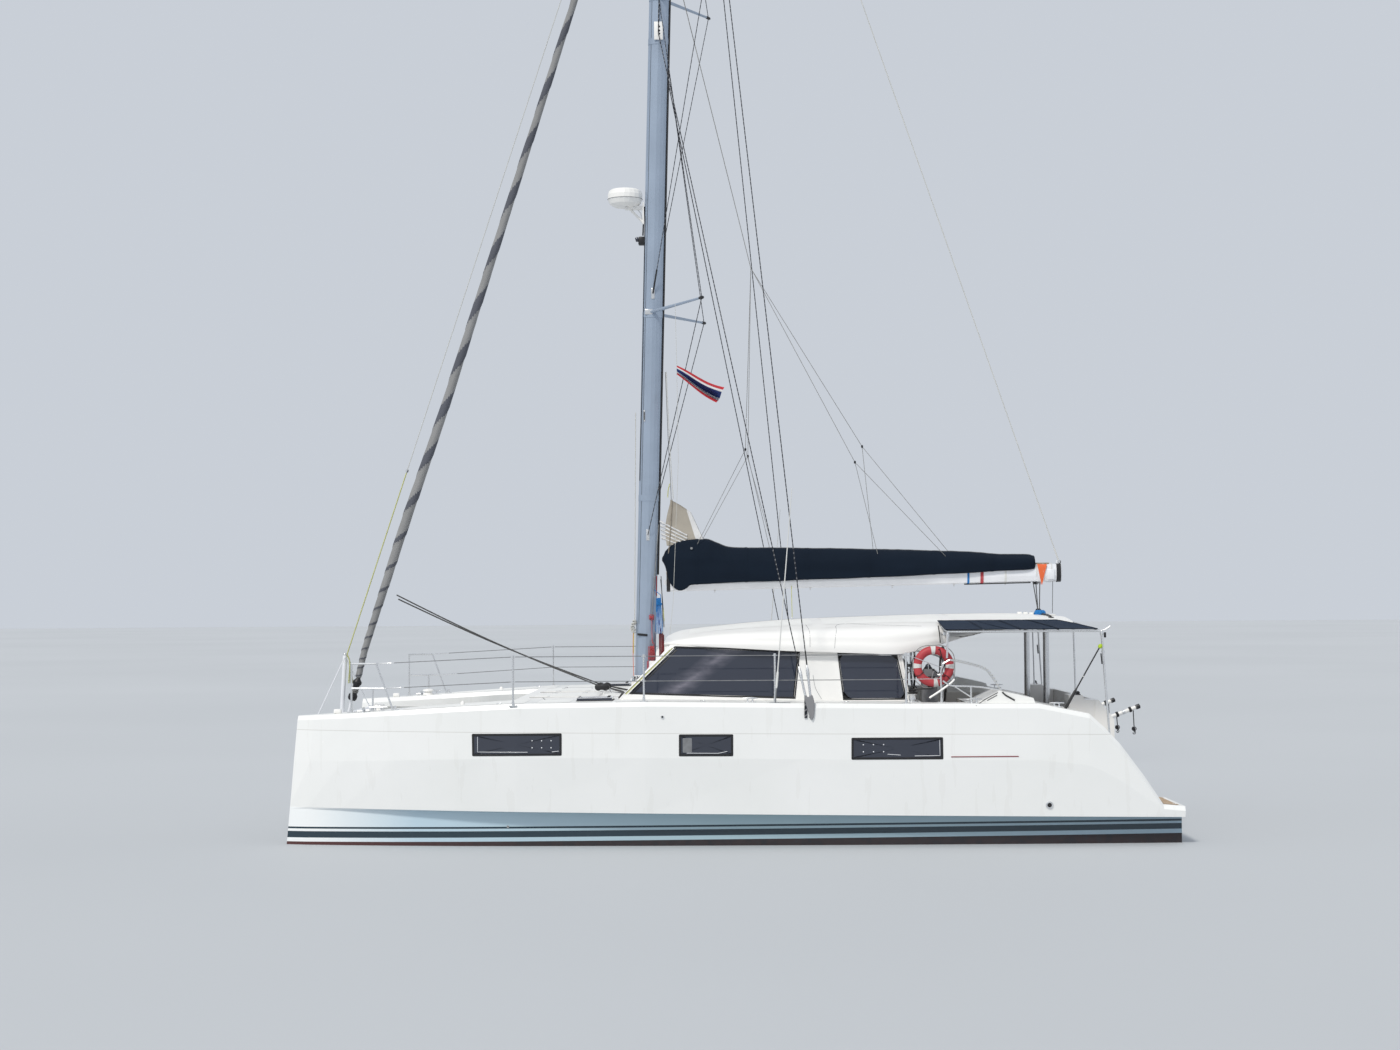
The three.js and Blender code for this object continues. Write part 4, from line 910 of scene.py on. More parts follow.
# Sail bag stations: x, lower z, upper z, half width
BAG = (
    (0.925, 3.740, 3.955, 0.060), (0.880, 3.560, 4.000, 0.100), (0.830, 3.465, 4.040, 0.130),
    (0.760, 3.400, 4.085, 0.150), (0.690, 3.386, 4.105, 0.168), (0.610, 3.425, 4.120, 0.180),
    (0.565, 3.470, 4.125, 0.186), (0.320, 3.483, 4.132, 0.200), (0.150, 3.488, 4.065, 0.200),
    (0.000, 3.492, 4.014, 0.200), (-0.280, 3.500, 4.008, 0.200), (-2.600, 3.575, 3.950, 0.180),
    (-3.600, 3.618, 3.912, 0.150), (-3.980, 3.640, 3.880, 0.140), (-4.380, 3.655, 3.872, 0.130),
    (-4.470, 3.668, 3.856, 0.105),
)
BAG_STRAPS = (-0.26, -1.15, -2.05, -3.0, -3.85)
BAG_STEP = 0.04


def bag_section(x):
    """The bag cut across at x, slack between its straps and puckered along the zip."""
    low, top, half = (read_table(BAG, x, column) for column in (1, 2, 3))
    middle = (low + top) / 2
    near = min(abs(x - strap) for strap in BAG_STRAPS)
    slack = 0.010 * smooth_step(near / 0.35)
    outline = spline([(0.02, top + 0.004), (0.42 * half, top - 0.020),
                      (0.84 * half, middle + 0.22 * (top - low)),
                      (half, middle), (0.95 * half, low + 0.045), (0.80 * half, low + 0.002), (0, low)], 6)
    ring = []
    for side in (1, -1):
        for p in (outline if side > 0 else outline[-2:0:-1]):
            spot = Vector((x, side * p.x, p.y))
            away = Vector((0, side * p.x, (p.y - middle) * 0.4)).normalized()
            fold = noise.noise(Vector((x * 1.1, side * 2.0, p.y * 7.0)))
            pucker = noise.noise(Vector((x * 9.0, side * 3.0, p.y * 2.5))) * smooth_step((p.y - middle) / 0.2)
            ring.append(spot + away * (slack * 0.6 + 0.013 * fold + 0.005 * pucker - 0.004))
    return ring


def make_sail_bag():
    shape = Shape()
    fore, aft = BAG[0][0], BAG[-1][0]
    count = int((fore - aft) / BAG_STEP)
    stations = [fore + (aft - fore) * i / count for i in range(count + 1)]
    rings = [bag_section(x) for x in stations]
    for share, shift in ((0.55, 0.022), (0.2, 0.028)):
        centre = sum(rings[0], Vector()) / len(rings[0])
        rings.insert(0,
                     [centre + (p - centre) * share + Vector((shift, 0, 0))
                      for p in bag_section(stations[0])])
    centre = sum(rings[-1], Vector()) / len(rings[-1])
    rings.append([centre + (p - centre) * 0.82 + Vector((-0.012, 0, 0)) for p in rings[-1]])
    shape.rings(rings)
    shape.paint = 1
    for x in (*BAG_STRAPS, 0.46):
        section = bag_section(x)
        middle = sum(section, Vector()) / len(section)
        band = [[q + (q - middle).normalized() * off + Vector((dx, 0, 0)) for q in section]
                for dx, off in ((0.02, -0.004), (0.02, 0.004), (-0.02, 0.004), (-0.02, -0.004))]
        shape.rings(band, loop=True)
    zipper = [bag_section(x)[0] + Vector((0, -0.02, 0.003)) for x in stations[2:-1]]
    shape.paint = 2
    shape.tube(zipper, 0.006, 6)
    shape.turned([(0.018, -0.004), (0.018, 0.004), (0.010, 0.006)], (0.535, 0.165, 3.998), (0.1, 1, 0.55), 14)
    put(shape, "stowed_sail_bag", "boom", ["canvas", "canvas", "grey"], "canvas", ["sail_bag"], angle=60)


# The head's foot and top, fore and aft ends, in x and z
HEAD_FOOT = (Vector((0.935, 4.040)), Vector((0.345, 4.100)))
HEAD_TOP = (Vector((0.862, 4.730)), Vector((0.545, 4.560)))


def make_sail_head():
    """The head of the sail standing out of the bag: one folded sheet of sailcloth, its folds on edge."""
    folds = 7
    high, across = 0.55, 0.052
    rows = []
    for i in range(41):
        u = i / 40
        row = []
        for k in range(folds * 10 + 1):
            turn = k / 10
            t = turn / folds
            reach = 0.06 + 0.94 * (0.5 - 0.5 * math.cos(math.pi * turn))
            y = across * (1 - 2 * t) + 0.008 * noise.noise(Vector((u * 3, turn * 1.3, 0.0)))
            low = HEAD_FOOT[0].lerp(HEAD_FOOT[1], reach)
            top = HEAD_TOP[0].lerp(HEAD_TOP[1], reach) - Vector((0, 0.03 * abs(math.sin(turn * 1.7))))
            spot = low.lerp(top, u)
            bulge = 0.045 * math.sin(math.pi * min(1, 1.1 * u)) * (1 - reach) ** 2
            lift = 0.006 * noise.noise(Vector((turn * 2.0, u * 2.0, 5.0)))
            row.append(Vector((spot.x + bulge, y * (1 - 0.25 * u), spot.y + lift)))
        rows.append(row)
    shape = Shape().rings(rows, open_ring=True)
    around = folds * 10
    for face in range(len(shape.paints)):
        if abs(math.cos(math.pi * (face % around + 0.5) / 10) + 1) < 0.42:
            shape.paints[face] = 1
    return shape, high


def place_sail_head():
    shape, high = make_sail_head()
    piece = put(shape, "mainsail_head", "boom", ["sailcloth", "leech"], "sailcloth", ["sail_head"], angle=180,
                outward=False)
    layers = Shape()
    for k in range(5):
        front, back = Vector((1.000 - 0.006 * k, 0, 4.400 - 0.060 * k)), Vector((0.600, 0, 4.190 - 0.045 * k))
        for side in (1, -1):
            rows = []
            for s in range(13):
                p = front.lerp(back, s / 12)
                half = 0.030 + 0.030 * min(1, s / 3) + 0.006 * math.sin(2.1 * s + k)
                thick = 0.019 + 0.004 * math.sin(1.7 * s + 2 * k)
                rows.append([p + Vector((0, side * half * math.cos(a), thick * math.sin(a)))
                             for a in [math.pi * (j / 8 - 0.5) for j in range(9)]])
            layers.rings(rows, open_ring=True)
    put(layers, "sail_layers", "boom", ["leech"], "sailcloth", angle=70, outward=False)


# The forestay, from the bow to the mast, and the sail rolled on it
STAY_FOOT = Vector((5.592, 0, 1.640))
STAY_HEAD = Vector((0.995, 0, 15.940))


def on_stay(t):
    return STAY_FOOT.lerp(STAY_HEAD, t)


def wound(run):
    """How many turns the sail has made at a distance up the stay: tight at its foot, long above."""
    return run / 0.85 + 13 * (1 - math.exp(-run))


def roll_at(t, length):
    """The roll's middle and radius: a little ahead of the stay low down, tapering to its foot."""
    run = t * length
    ahead = 0.045 * smooth_step((run - 0.3) / 0.8) * (1 - smooth_step((run - 2.5) / 2.5))
    radius = 0.078 + (0.040 - 0.078) * t / 0.975
    radius *= 0.60 + 0.40 * smooth_step((run - 0.55) / 2.6)
    radius *= 1 - 0.5 * smooth_step((t - 0.965) / 0.01)
    return on_stay(t) + Vector((ahead, 0, 0)), radius


def make_furled_jib():
    """The rolled headsail: a spiral of grey sun strip with painted shade winding up it in its creases, with
    its drum and foil.
    """
    along = (STAY_HEAD - STAY_FOOT).normalized()
    side = along.orthogonal().normalized()
    up = along.cross(side)
    length = (STAY_HEAD - STAY_FOOT).length
    shape = Shape()
    shape.tube([on_stay(0.012), on_stay(0.99)], 0.009, 8)
    start, end, sides, count = 0.034, 0.975, 20, 620
    steps = [start + (end - start) * (0.4 * u + 0.6 * u * u) for u in [i / count for i in range(count + 1)]]
    rings = []
    for t in steps:
        middle, radius = roll_at(t, length)
        radius *= smooth_step((t - start) / 0.004 + 0.4)
        ring = []
        for k in range(sides):
            turn = 2 * math.pi * k / sides
            wind = (wound(t * length) - turn / (2 * math.pi)) % 1.0
            step = 0.0075 * (1 - wind) + 0.002 * noise.noise(Vector((t * 90, turn, 0)))
            ring.append(middle + (radius - 0.004 + step) * (side * math.cos(turn) + up * math.sin(turn)))
        rings.append(ring)
    shape.rings(rings)
    faces_before = len(shape.faces) - count * sides - 2
    # Painted shade in the creases between the turns; its share grows up the roll, where more of the sail is
    # in shade
    for i, t in enumerate(steps[:-1]):
        edge = 0.16 + 0.26 * smooth_step((t * length - 2.0) / 2.5)
        for k in range(sides):
            wind = (wound(t * length) - (k + 0.5) / sides) % 1.0
            shape.paints[faces_before + i * sides + k] = 1 if wind < edge else 0
    shape.paint = 2
    drum = [(0.050, 0.012), (0.066, 0.014), (0.066, 0.017), (0.048, 0.019), (0.046, 0.025), (0.048, 0.027),
            (0.066, 0.029), (0.066, 0.031), (0.034, 0.0335), (0.020, 0.036)]
    shape.turned([(r, t * length) for r, t in drum], STAY_FOOT, along, 32)
    shape.paint = 3
    for level in range(3):
        shape.tube(circle(on_stay(0.0204 + 0.0016 * level), side, up, 0.052, 28), 0.008, 6, closed=True)
    shape.paint = 2
    shape.turned([(0.02, 0), (0.045, 0.01), (0.045, 0.07), (0.02, 0.09)], on_stay(0.9765), along, 20)
    finishes = ["jib_cloth", "jib_dark", "black", "grey_rope"]
    put(shape, "rolled_headsail", "furler", finishes, "jib_cloth", ["furled_jib"], angle=50)


# Canopies over the helm seats: the plane of the taut cloth from its inner to its outer edge in y and z,
# and where its after edge is cut at each of them
CANOPY = {"fore": -2.870, "inner": (1.960, 2.925), "outer": (3.000, 2.815), "aft": (-4.500, -4.885)}


def make_canopies(roof):
    """Taut cloth from the roof's top to the outboard tube, sagging a little between its battens."""
    tree = tree_of(roof)

    def sheet_point(u, v):
        (y0, z0), (y1, z1) = CANOPY["inner"], CANOPY["outer"]
        aft = CANOPY["aft"][0] + (CANOPY["aft"][1] - CANOPY["aft"][0]) * v ** 0.85
        x = CANOPY["fore"] + (aft - CANOPY["fore"]) * u
        y = y0 + (y1 - y0) * v
        sag = 0.012 * abs(math.sin(math.pi * u * 4)) ** 0.7 * math.sin(math.pi * v)
        z = z0 + (z1 - z0) * v + 0.010 - sag + 0.002 * noise.noise(Vector((u * 22, v * 9, 0)))
        under, _, _, _ = tree.ray_cast(Vector((x, y, 30)), Vector((0, 0, -1)))
        return Vector((x, y, z if under is None else max(z, under.z + 0.009)))

    rows = [[sheet_point(u / 64, v / 26) for v in range(27)] for u in range(65)]
    for label, side in SIDES:
        shape = Shape().rings(rows, open_ring=True)
        shape = shape if side > 0 else shape.mirrored()
        cloth = put(shape, f"canopy_cloth_{label}", "boat", ["bimini"], "canvas", [f"canopy_{label}"],
                    angle=180, outward=False)
        trim = Shape()
        for u in (0, 16, 32, 48):
            trim.tube([p - Vector((0, 0, 0.010)) for p in rows[u][13:]], 0.009, 8)
        trim.paint = 1
        for path in ([row[-1] for row in rows], [row[0] for row in rows], rows[0], rows[64]):
            trim.tube([p + Vector((0, 0, 0.001)) for p in path], 0.006, 6)
        for u in (16, 32, 48):
            for dx in (-0.012, 0.012):
                trim.tube([p + Vector((dx, 0, 0.0015)) for p in rows[u]], 0.0025, 5)
        trim.tube([rows[20][0], rows[23][9], rows[27][26]], 0.0035, 5)
        trim.paint = 2
        trim.tube([(-2.830, 2.460, 2.872), (-2.842, 2.505, 2.760), (-2.850, 2.520, 2.640)], 0.008, 6)
        lace = spline([from_port(tree, -2.880, 2.750, 0.004), Vector((-3.190, 2.262, 2.718)),
                       from_port(tree, -3.500, 2.785, 0.004)], 11)
        for k, (p, q) in enumerate(zip(lace, lace[1:])):
            trim.paint = 3 if k % 3 else 2
            trim.tube([p, q], 0.0045, 6)
        trim = trim if side > 0 else trim.mirrored()
        finishes = ["steel", "canvas", "black", "white_rope"]
        hem = put(trim, f"canopy_battens_{label}", "boat", finishes, "steel")


# Netting between the bows: the same outline as the solid, laced to the hull, beam and walkway
NET = {"fore": 5.44, "aft": 3.06, "inner": 0.21, "z": 1.614, "cell": 0.058, "cord": 0.0028}
NET_OUTER = ((5.50, 2.275), (4.875, 2.133), (4.25, 2.034), (3.625, 1.938), (3.0, 1.857))


def make_netting():
    def outer(x):
        return read_table(NET_OUTER, x, 1) - 0.055

    def build():
        shape = Shape()
        z, cell, cord = NET["z"], NET["cell"], NET["cord"]
        count = int((NET["fore"] - NET["aft"]) / cell)
        for i in range(count + 1):
            x = NET["aft"] + cell * i
            shape.tube([(x, NET["inner"], z), (x, outer(x), z)], cord, 4)
        y = NET["inner"]
        while y < 2.20:
            reach = [NET["aft"] + cell * i for i in range(count + 1) if outer(NET["aft"] + cell * i) > y]
            if len(reach) > 1:
                shape.tube([(reach[0], y, z + 0.002), (reach[-1], y, z + 0.002)], cord, 4)
            y += cell
        shape.paint = 1
        edge = [Vector((NET["aft"], NET["inner"], z))]
        edge += [Vector((x / 100, outer(x / 100), z))
                 for x in range(int(NET["aft"] * 100), int(NET["fore"] * 100), 20)]
        edge += [Vector((NET["fore"], outer(NET["fore"]), z)), Vector((NET["fore"], NET["inner"], z))]
        shape.tube(rounded(edge, 0.03, 4), 0.011, 8, closed=True)
        shape.paint = 2
        x = NET["aft"] + 0.1
        while x < NET["fore"]:
            reach = outer(x)
            shape.tube([(x, reach, z), (x + 0.03, reach + 0.050, z + 0.004), (x + 0.06, reach, z)], 0.004, 5)
            shape.tube([(x, NET["inner"], z), (x + 0.03, 0.114, z - 0.012), (x + 0.06, NET["inner"], z)],
                       0.004, 5)
            x += 0.12
        y = NET["inner"] + 0.05
        while y < outer(NET["fore"]) - 0.05:
            shape.tube([(NET["fore"], y, z), (5.545, y + 0.03, 1.590), (NET["fore"], y + 0.06, z)], 0.004, 5)
            y += 0.12
        return shape

    put_both(build, "netting", "boat", ["netting", "band", "white_rope"], "netting", ["trampoline_{}"])




# Rig

MAST_FOOT = Vector((1.230, 0, 2.070))
MAST_HALF = (0.150, 0.092)
MAST_RAKE = 0.0268
MAST_TOP = 19.20


def on_mast(z, turn=0.0, off=0.0):
    """A point on the mast's skin at z; turn 0 is its fore side, a quarter turn its port side."""
    x = MAST_FOOT.x - MAST_RAKE * (z - MAST_FOOT.z)
    return Vector((x + (MAST_HALF[0] + off) * math.cos(turn), (MAST_HALF[1] + off) * math.sin(turn), z))


def sleeve(shape, z, high, thick=0.006, sides=32):
    """A band round the mast."""
    turns = full_turn(sides)
    levels = [(z, 0.0), (z, thick), (z + high, thick), (z + high, 0.0)]
    return shape.rings([[on_mast(level, t, off) for t in turns] for level, off in levels])


def tackle(shape, at, along, radius=0.032, wide=0.030, cheek=0, sheave=1):
    """A block: two cheeks, a sheave between them and a becket."""
    along = Vector(along).normalized()
    axis = along.orthogonal().normalized()
    shape.paint = cheek
    for side in (-1, 1):
        shape.turned([(0.4 * radius, 0), (radius, 0.1 * wide), (radius, 0.22 * wide),
                      (0.5 * radius, 0.30 * wide)],
                     Vector(at) + axis * (side * wide * 0.45 - 0.15 * wide), axis, 18)
    shape.paint = sheave
    shape.turned([(0.8 * radius, -0.3 * wide), (0.7 * radius, 0), (0.8 * radius, 0.3 * wide)], at, axis, 18)
    shape.paint = cheek
    shape.tube([Vector(at) - along * radius, Vector(at) - along * (radius * 1.9)], 0.22 * radius, 6)
    return shape


def winch(shape, base, up, radius=0.055, high=0.12, body=0, cap=1):
    """A drum winch: foot, waisted drum with its ribs, self-tailing ring and cap."""
    shape.paint = body
    shape.turned([(1.25 * radius, 0), (1.25 * radius, 0.08 * high), (1.05 * radius, 0.14 * high),
                  (0.80 * radius, 0.22 * high), (0.74 * radius, 0.42 * high), (0.80 * radius, 0.60 * high),
                  (1.05 * radius, 0.66 * high), (1.10 * radius, 0.72 * high)], base, up, 28)
    shape.paint = cap
    shape.turned([(0.9 * radius, 0.74 * high), (1.12 * radius, 0.78 * high), (1.12 * radius, 0.84 * high),
                  (0.55 * radius, 0.90 * high), (0.50 * radius, high)], base, up, 28)
    return shape


def cleat(shape, at, along, length=0.20, high=0.05):
    """A horn cleat on its two feet."""
    at, along = Vector(at), Vector(along).normalized()
    for share in (-0.16, 0.16):
        foot = at + along * (length * share)
        shape.turned([(0.018, 0), (0.011, 0.012), (0.010, high)], foot, (0, 0, 1), 12)
    shape.tube([at + along * (length * s) + Vector((0, 0, high + 0.010 - 0.05 * abs(s) * high * 4 * abs(s)))
                for s in (-0.5, -0.3, -0.1, 0.1, 0.3, 0.5)], [0.006, 0.010, 0.013, 0.013, 0.010, 0.006], 10)
    return shape


def make_mast_details():
    """Track, grooves, collars, plates, lamps and masthead fittings, and the roots of the spreaders."""
    shape = Shape()
    shape.paint = 1
    for side in (-1, 1):
        shape.tube([on_mast(z, math.pi, 0.010) + Vector((0, 0.013 * side, 0)) for z in (3.62, 19.0)], 0.012,
                   6)
        shape.tube([on_mast(z, side * 0.80, 0.0004) for z in (2.9, 8, 13, 18.9)], 0.0028, 6)
    shape.paint = 0
    for z in (2.14, 4.70, 7.40, 11.45, 12.10, 16.05, 18.95):
        sleeve(shape, z, 0.05 if z < 3 else 0.09, 0.004)
    for turn in (0.95, -0.95):
        at = on_mast(5.95, turn, 0.001)
        shape.paint = 2
        shape.block(at, (0.026, 0.016, 0.17), 0.004)
        shape.paint = 1
        shape.block(at + Vector((0, 0.005 if turn > 0 else -0.005, 0)), (0.013, 0.014, 0.12), 0.003)
        # White plate over the lower shroud's tang, and its bolts
        face = on_mast(11.64, math.copysign(math.pi / 2, turn), 0)
        out = Vector((0, math.copysign(1, turn), 0))
        shape.paint = 4
        shape.block(face + out * 0.020, (0.130, 0.014, 0.270), 0.006)
        shape.paint = 1
        for dz in (-0.045, 0.0, 0.06):
            shape.turned([(0.014, 0), (0.014, 0.006), (0.009, 0.010)],
                         face + Vector((-0.012, 0, dz)) + out * 0.026,
                         out, 12)
        # Turnbuckle at the foot of the upper diamond
        low = on_mast(7.75, math.copysign(math.pi / 2, turn), 0.014)
        tip = Vector((0.246, math.copysign(1.330, turn), 12.200))
        shape.tube([low, low.lerp(tip, 0.075)], 0.012, 8)
    shape.paint = 2
    for z in (7.48, 12.17):
        for side in (1, -1):
            root = on_mast(z, side * math.pi / 2, -0.004) + Vector((0.055, -side * 0.006, 0))
            shape.block(root, (0.12, 0.03, 0.08), 0.008)
            shape.block(on_mast(4.20 if z < 8 else 7.75, side * math.pi / 2, 0.002),
                        (0.05, 0.012, 0.16), 0.004)
    # Lamp on the fore side below the radar, the radar's cable and the steaming light
    shape.paint = 1
    shape.block(on_mast(8.54, 0, 0.035), (0.10, 0.10, 0.125), 0.018)
    shape.tube([on_mast(9.05, 0, 0.010), on_mast(8.85, 0, 0.014), on_mast(8.62, 0, 0.020)], 0.011, 8)
    shape.tube([on_mast(8.9, 0.4, 0.006), on_mast(7.0, 0.5, 0.006), on_mast(5.0, 0.45, 0.006)], 0.005, 6)
    shape.paint = 3
    shape.turned([(0.035, 0), (0.038, 0.02), (0.030, 0.045)], on_mast(8.57, 0, 0.086), (1, 0, -0.3), 20)
    # Dark tape on the mast's port side, level with the hanks
    shape.paint = 1
    shape.block((1.262, 0.095, 2.742), (0.150, 0.012, 0.034), 0.004,
                Matrix.Rotation(math.radians(-6), 3, "Y"))
    # Collar over the mast step and the rope organisers beside it
    shape.paint = 4
    shape.rings([[MAST_FOOT + Vector((dx * math.cos(t), dy * math.sin(t), dz)) for t in full_turn(36)]
                 for dx, dy, dz in ((0.215, 0.165, 0.001), (0.212, 0.162, 0.03), (0.175, 0.118, 0.05),
                                    (0.160, 0.102, 0.075), (0.151, 0.093, 0.08))])
    for side in (1, -1):
        shape.paint = 4
        shape.block((1.085, side * 0.175, 2.218), (0.150, 0.085, 0.290), 0.014)
        shape.paint = 2
        for i in range(3):
            tackle(shape, (1.295 + 0.05 * i, side * (0.160 - 0.012 * i), 2.118),
                   (0, 0, 1), 0.026, 0.026, 2, 1)
    # Crane, its sheaves, aerial and vane cups at the masthead
    shape.paint = 2
    for x in (0.42, 0.60):
        shape.turned([(0.040, -0.010), (0.034, 0), (0.040, 0.010)], (x, 0, 19.085), (0, 1, 0), 20)
    head = on_mast(MAST_TOP)
    shape.tube([(head.x - 0.25, 0.05, 19.2), (head.x - 0.25, 0.05, 19.75)], 0.006, 6)
    shape.paint = 1
    shape.turned([(0.030, 0), (0.033, 0.03), (0.030, 0.11), (0.02, 0.12)],
                 (head.x - 0.12, -0.05, 19.2), (0, 0, 1), 20)
    shape.paint = 4
    shape.rings([[MAST_FOOT + Vector((MAST_HALF[0] * s * math.cos(t), MAST_HALF[1] * s * math.sin(t), 0))
                  + Vector((head.x - 0.150 - MAST_FOOT.x, 0, level - MAST_FOOT.z)) for t in full_turn(28)]
                  for level, s in ((19.198, 1.02), (19.222, 1.0),
                                                                              (19.23, 0.8))])
    finishes = ["mast_alloy", "black", "steel", "glass", "gelcoat"]
    put(shape, "mast_fittings", "boat", finishes, "mast_alloy")


# Lines that stay with the mast: finish, radius and the points that each goes through
MAST_LINES = (
    ("red_line", 0.008, ((1.050, 0.100, 3.60), (1.052, 0.105, 3.31))),
    ("red_line", 0.0095, ((1.012, 0.060, 2.76), (1.012, 0.080, 2.62), (1.008, 0.095, 2.375))),
    ("red_line", 0.0095, ((0.993, 0.052, 2.77), (0.992, 0.075, 2.60), (0.988, 0.090, 2.362))),
    ("red_line", 0.0095, ((0.974, 0.042, 2.76), (0.972, 0.070, 2.62), (0.970, 0.085, 2.378))),
    ("red_line", 0.0095, ((0.955, 0.020, 2.74), (0.953, 0.060, 2.60), (0.952, 0.078, 2.368))),
    ("red_line", 0.0060, ((1.075, 0.020, 3.40), (1.030, 0.020, 3.00), (0.990, 0.045, 2.765))),
    ("grey_rope", 0.005, ((1.016, 0.075, 4.35), (1.085, 0.105, 3.50), (1.120, 0.115, 3.02))),
    ("red_rope", 0.005, ((1.120, 0.118, 2.99), (1.121, 0.130, 2.78), (1.113, 0.155, 2.61))),
    ("red_rope", 0.006, ((1.186, 0.140, 2.36), (1.190, 0.150, 2.22), (1.180, 0.140, 2.12))),
    ("white_rope", 0.006, ((1.345, 0.030, 6.0), (1.365, 0.045, 4.0), (1.376, 0.050, 2.93))),
    ("yellow_green", 0.006, ((1.388, 0.052, 2.80), (1.392, 0.055, 2.62), (1.394, 0.050, 2.47))),
    ("orange", 0.004, ((1.396, 0.046, 2.80), (1.402, 0.052, 2.50), (1.392, 0.060, 2.13))),
    ("yellow_green", 0.006, ((0.952, 0.116, 3.12), (0.948, 0.122, 3.02), (0.940, 0.116, 2.94))),
    ("black_rope", 0.006,
     ((0.990, 0.112, 3.55), (0.972, 0.116, 3.35), (0.955, 0.118, 3.10), (0.945, 0.10, 2.85))),
    ("grey_rope", 0.006, ((0.990, -0.085, 3.60), (0.972, -0.098, 3.10), (0.970, -0.09, 2.40))),
)
# Lines that run from the mast to the head of the stowed sail
HEAD_LINES = (
    ("white_rope", 0.005, ((0.890, 0.020, 6.6), (0.850, 0.030, 5.60), (0.800, 0.030, 4.73))),
    ("grey_rope", 0.005,
     ((0.905, -0.020, 6.6), (0.870, -0.010, 5.60), (0.830, 0.020, 4.60), (0.880, 0.050, 3.60))),
    ("tan_rope", 0.006, ((0.815, 0.045, 4.72), (0.850, 0.060, 4.20), (0.905, 0.070, 3.62))),
    ("yellow_green", 0.007, ((0.850, 0.040, 4.95), (0.872, 0.050, 4.86), (0.880, 0.050, 4.75))),
)


def lines_of(table):
    """Taut lines along their points, and the finishes that they are painted with."""
    names = sorted({line[0] for line in table})
    shape = Shape()
    for finish, radius, points in table:
        shape.paint = names.index(finish)
        shape.tube(spline(points, 6), radius, 8)
    return shape, names


def make_mast_lines():
    """Halyards, reefing lines and their tails at the mast; all of them are led tight."""
    head, finishes = lines_of(HEAD_LINES)
    piece = put(head, "head_lines", None, finishes, "wire", angle=60)
    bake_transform(piece)
    shape, names = lines_of(MAST_LINES)
    # The knot that the red hank hangs from, and the sheave box of the line on the fore side
    shape.paint = names.index("red_rope")
    for i in range(3):
        ring = [Vector((1.124 + 0.030 * math.cos(t), 0.118 + 0.014 * math.sin(t + i),
                        2.995 + 0.022 * (i - 1) + 0.016 * math.sin(t))) for t in full_turn(16)]
        shape.tube(ring, 0.007, 6, closed=True)
    shape.paint = names.index("white_rope")
    for i in range(6):
        ring = [Vector((1.398 + (0.030 + 0.006 * math.sin(i * 2.1)) * math.cos(t) + 0.004 * i * math.sin(i),
                        0.030 + 0.040 * math.sin(t), 2.785 + 0.031 * i + 0.012 * math.cos(t + i)))
                for t in full_turn(18)]
        shape.tube(ring, 0.009, 6, closed=True)
    put(shape, "halyards", "boat", names, "wire", angle=60)


# Topping lift, lazy jacks and mainsheet
LIFT = ((-4.836, 0, 3.780), (0.335, 0, 19.060))
JACK_HEAD = (0.790, 12.90)
JACK_APEX = (-0.363, 8.127)
# Each side: the fore split, the ends of its two legs, the aft split, the ends of its legs; x and z
JACKS = {
    "port": ((-0.262, 5.440), ((0.450, 4.09), (-0.660, 3.99)), (-1.860, 5.240),
             ((-2.180, 3.93), (-3.170, 3.89))),
    "starboard": ((-0.300, 5.360), ((0.420, 4.09), (-0.620, 3.99)), (-1.985, 5.490),
                  ((-2.140, 3.93), (-3.300, 3.88))),
}
JACK_HALF = 0.16


def make_lazy_jacks():
    for label, side in SIDES:
        fore, fore_legs, aft, aft_legs = JACKS[label]
        shape = Shape()
        spread = {z: side * min(JACK_HALF, 0.010 + 0.05 * (JACK_APEX[1] - z)) for _, z in (fore, aft)}
        apex = Vector((JACK_APEX[0], side * 0.016, JACK_APEX[1]))
        head = Vector((JACK_HEAD[0], side * 0.05, JACK_HEAD[1]))
        shape.tube(straight(head, apex, 12), 0.0042, 6)
        for split, legs in ((fore, fore_legs), (aft, aft_legs)):
            node = Vector((split[0], spread[split[1]], split[1]))
            shape.tube([apex, node], 0.0042, 6)
            for x, z in legs:
                foot = Vector((x, side * (read_table(BAG, x, 3) * 0.75), z - 0.03))
                shape.tube([node, node.lerp(foot, 0.5), foot], 0.0038, 6)
            shape.paint = 1
            shape.turned([(0.012, -0.02), (0.017, 0), (0.012, 0.02)], node, (0, 0, 1), 10)
            shape.paint = 0
        piece = put(shape, f"lazy_jack_{label}", None, ["grey_rope", "black"], "wire", angle=60)
        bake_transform(piece)


# The boom's two ends, the height of its middle at each, and its half width and half depth
BOOM = {"x": (0.905, -4.85), "z": (3.5, 3.61), "half": (0.075, 0.130)}


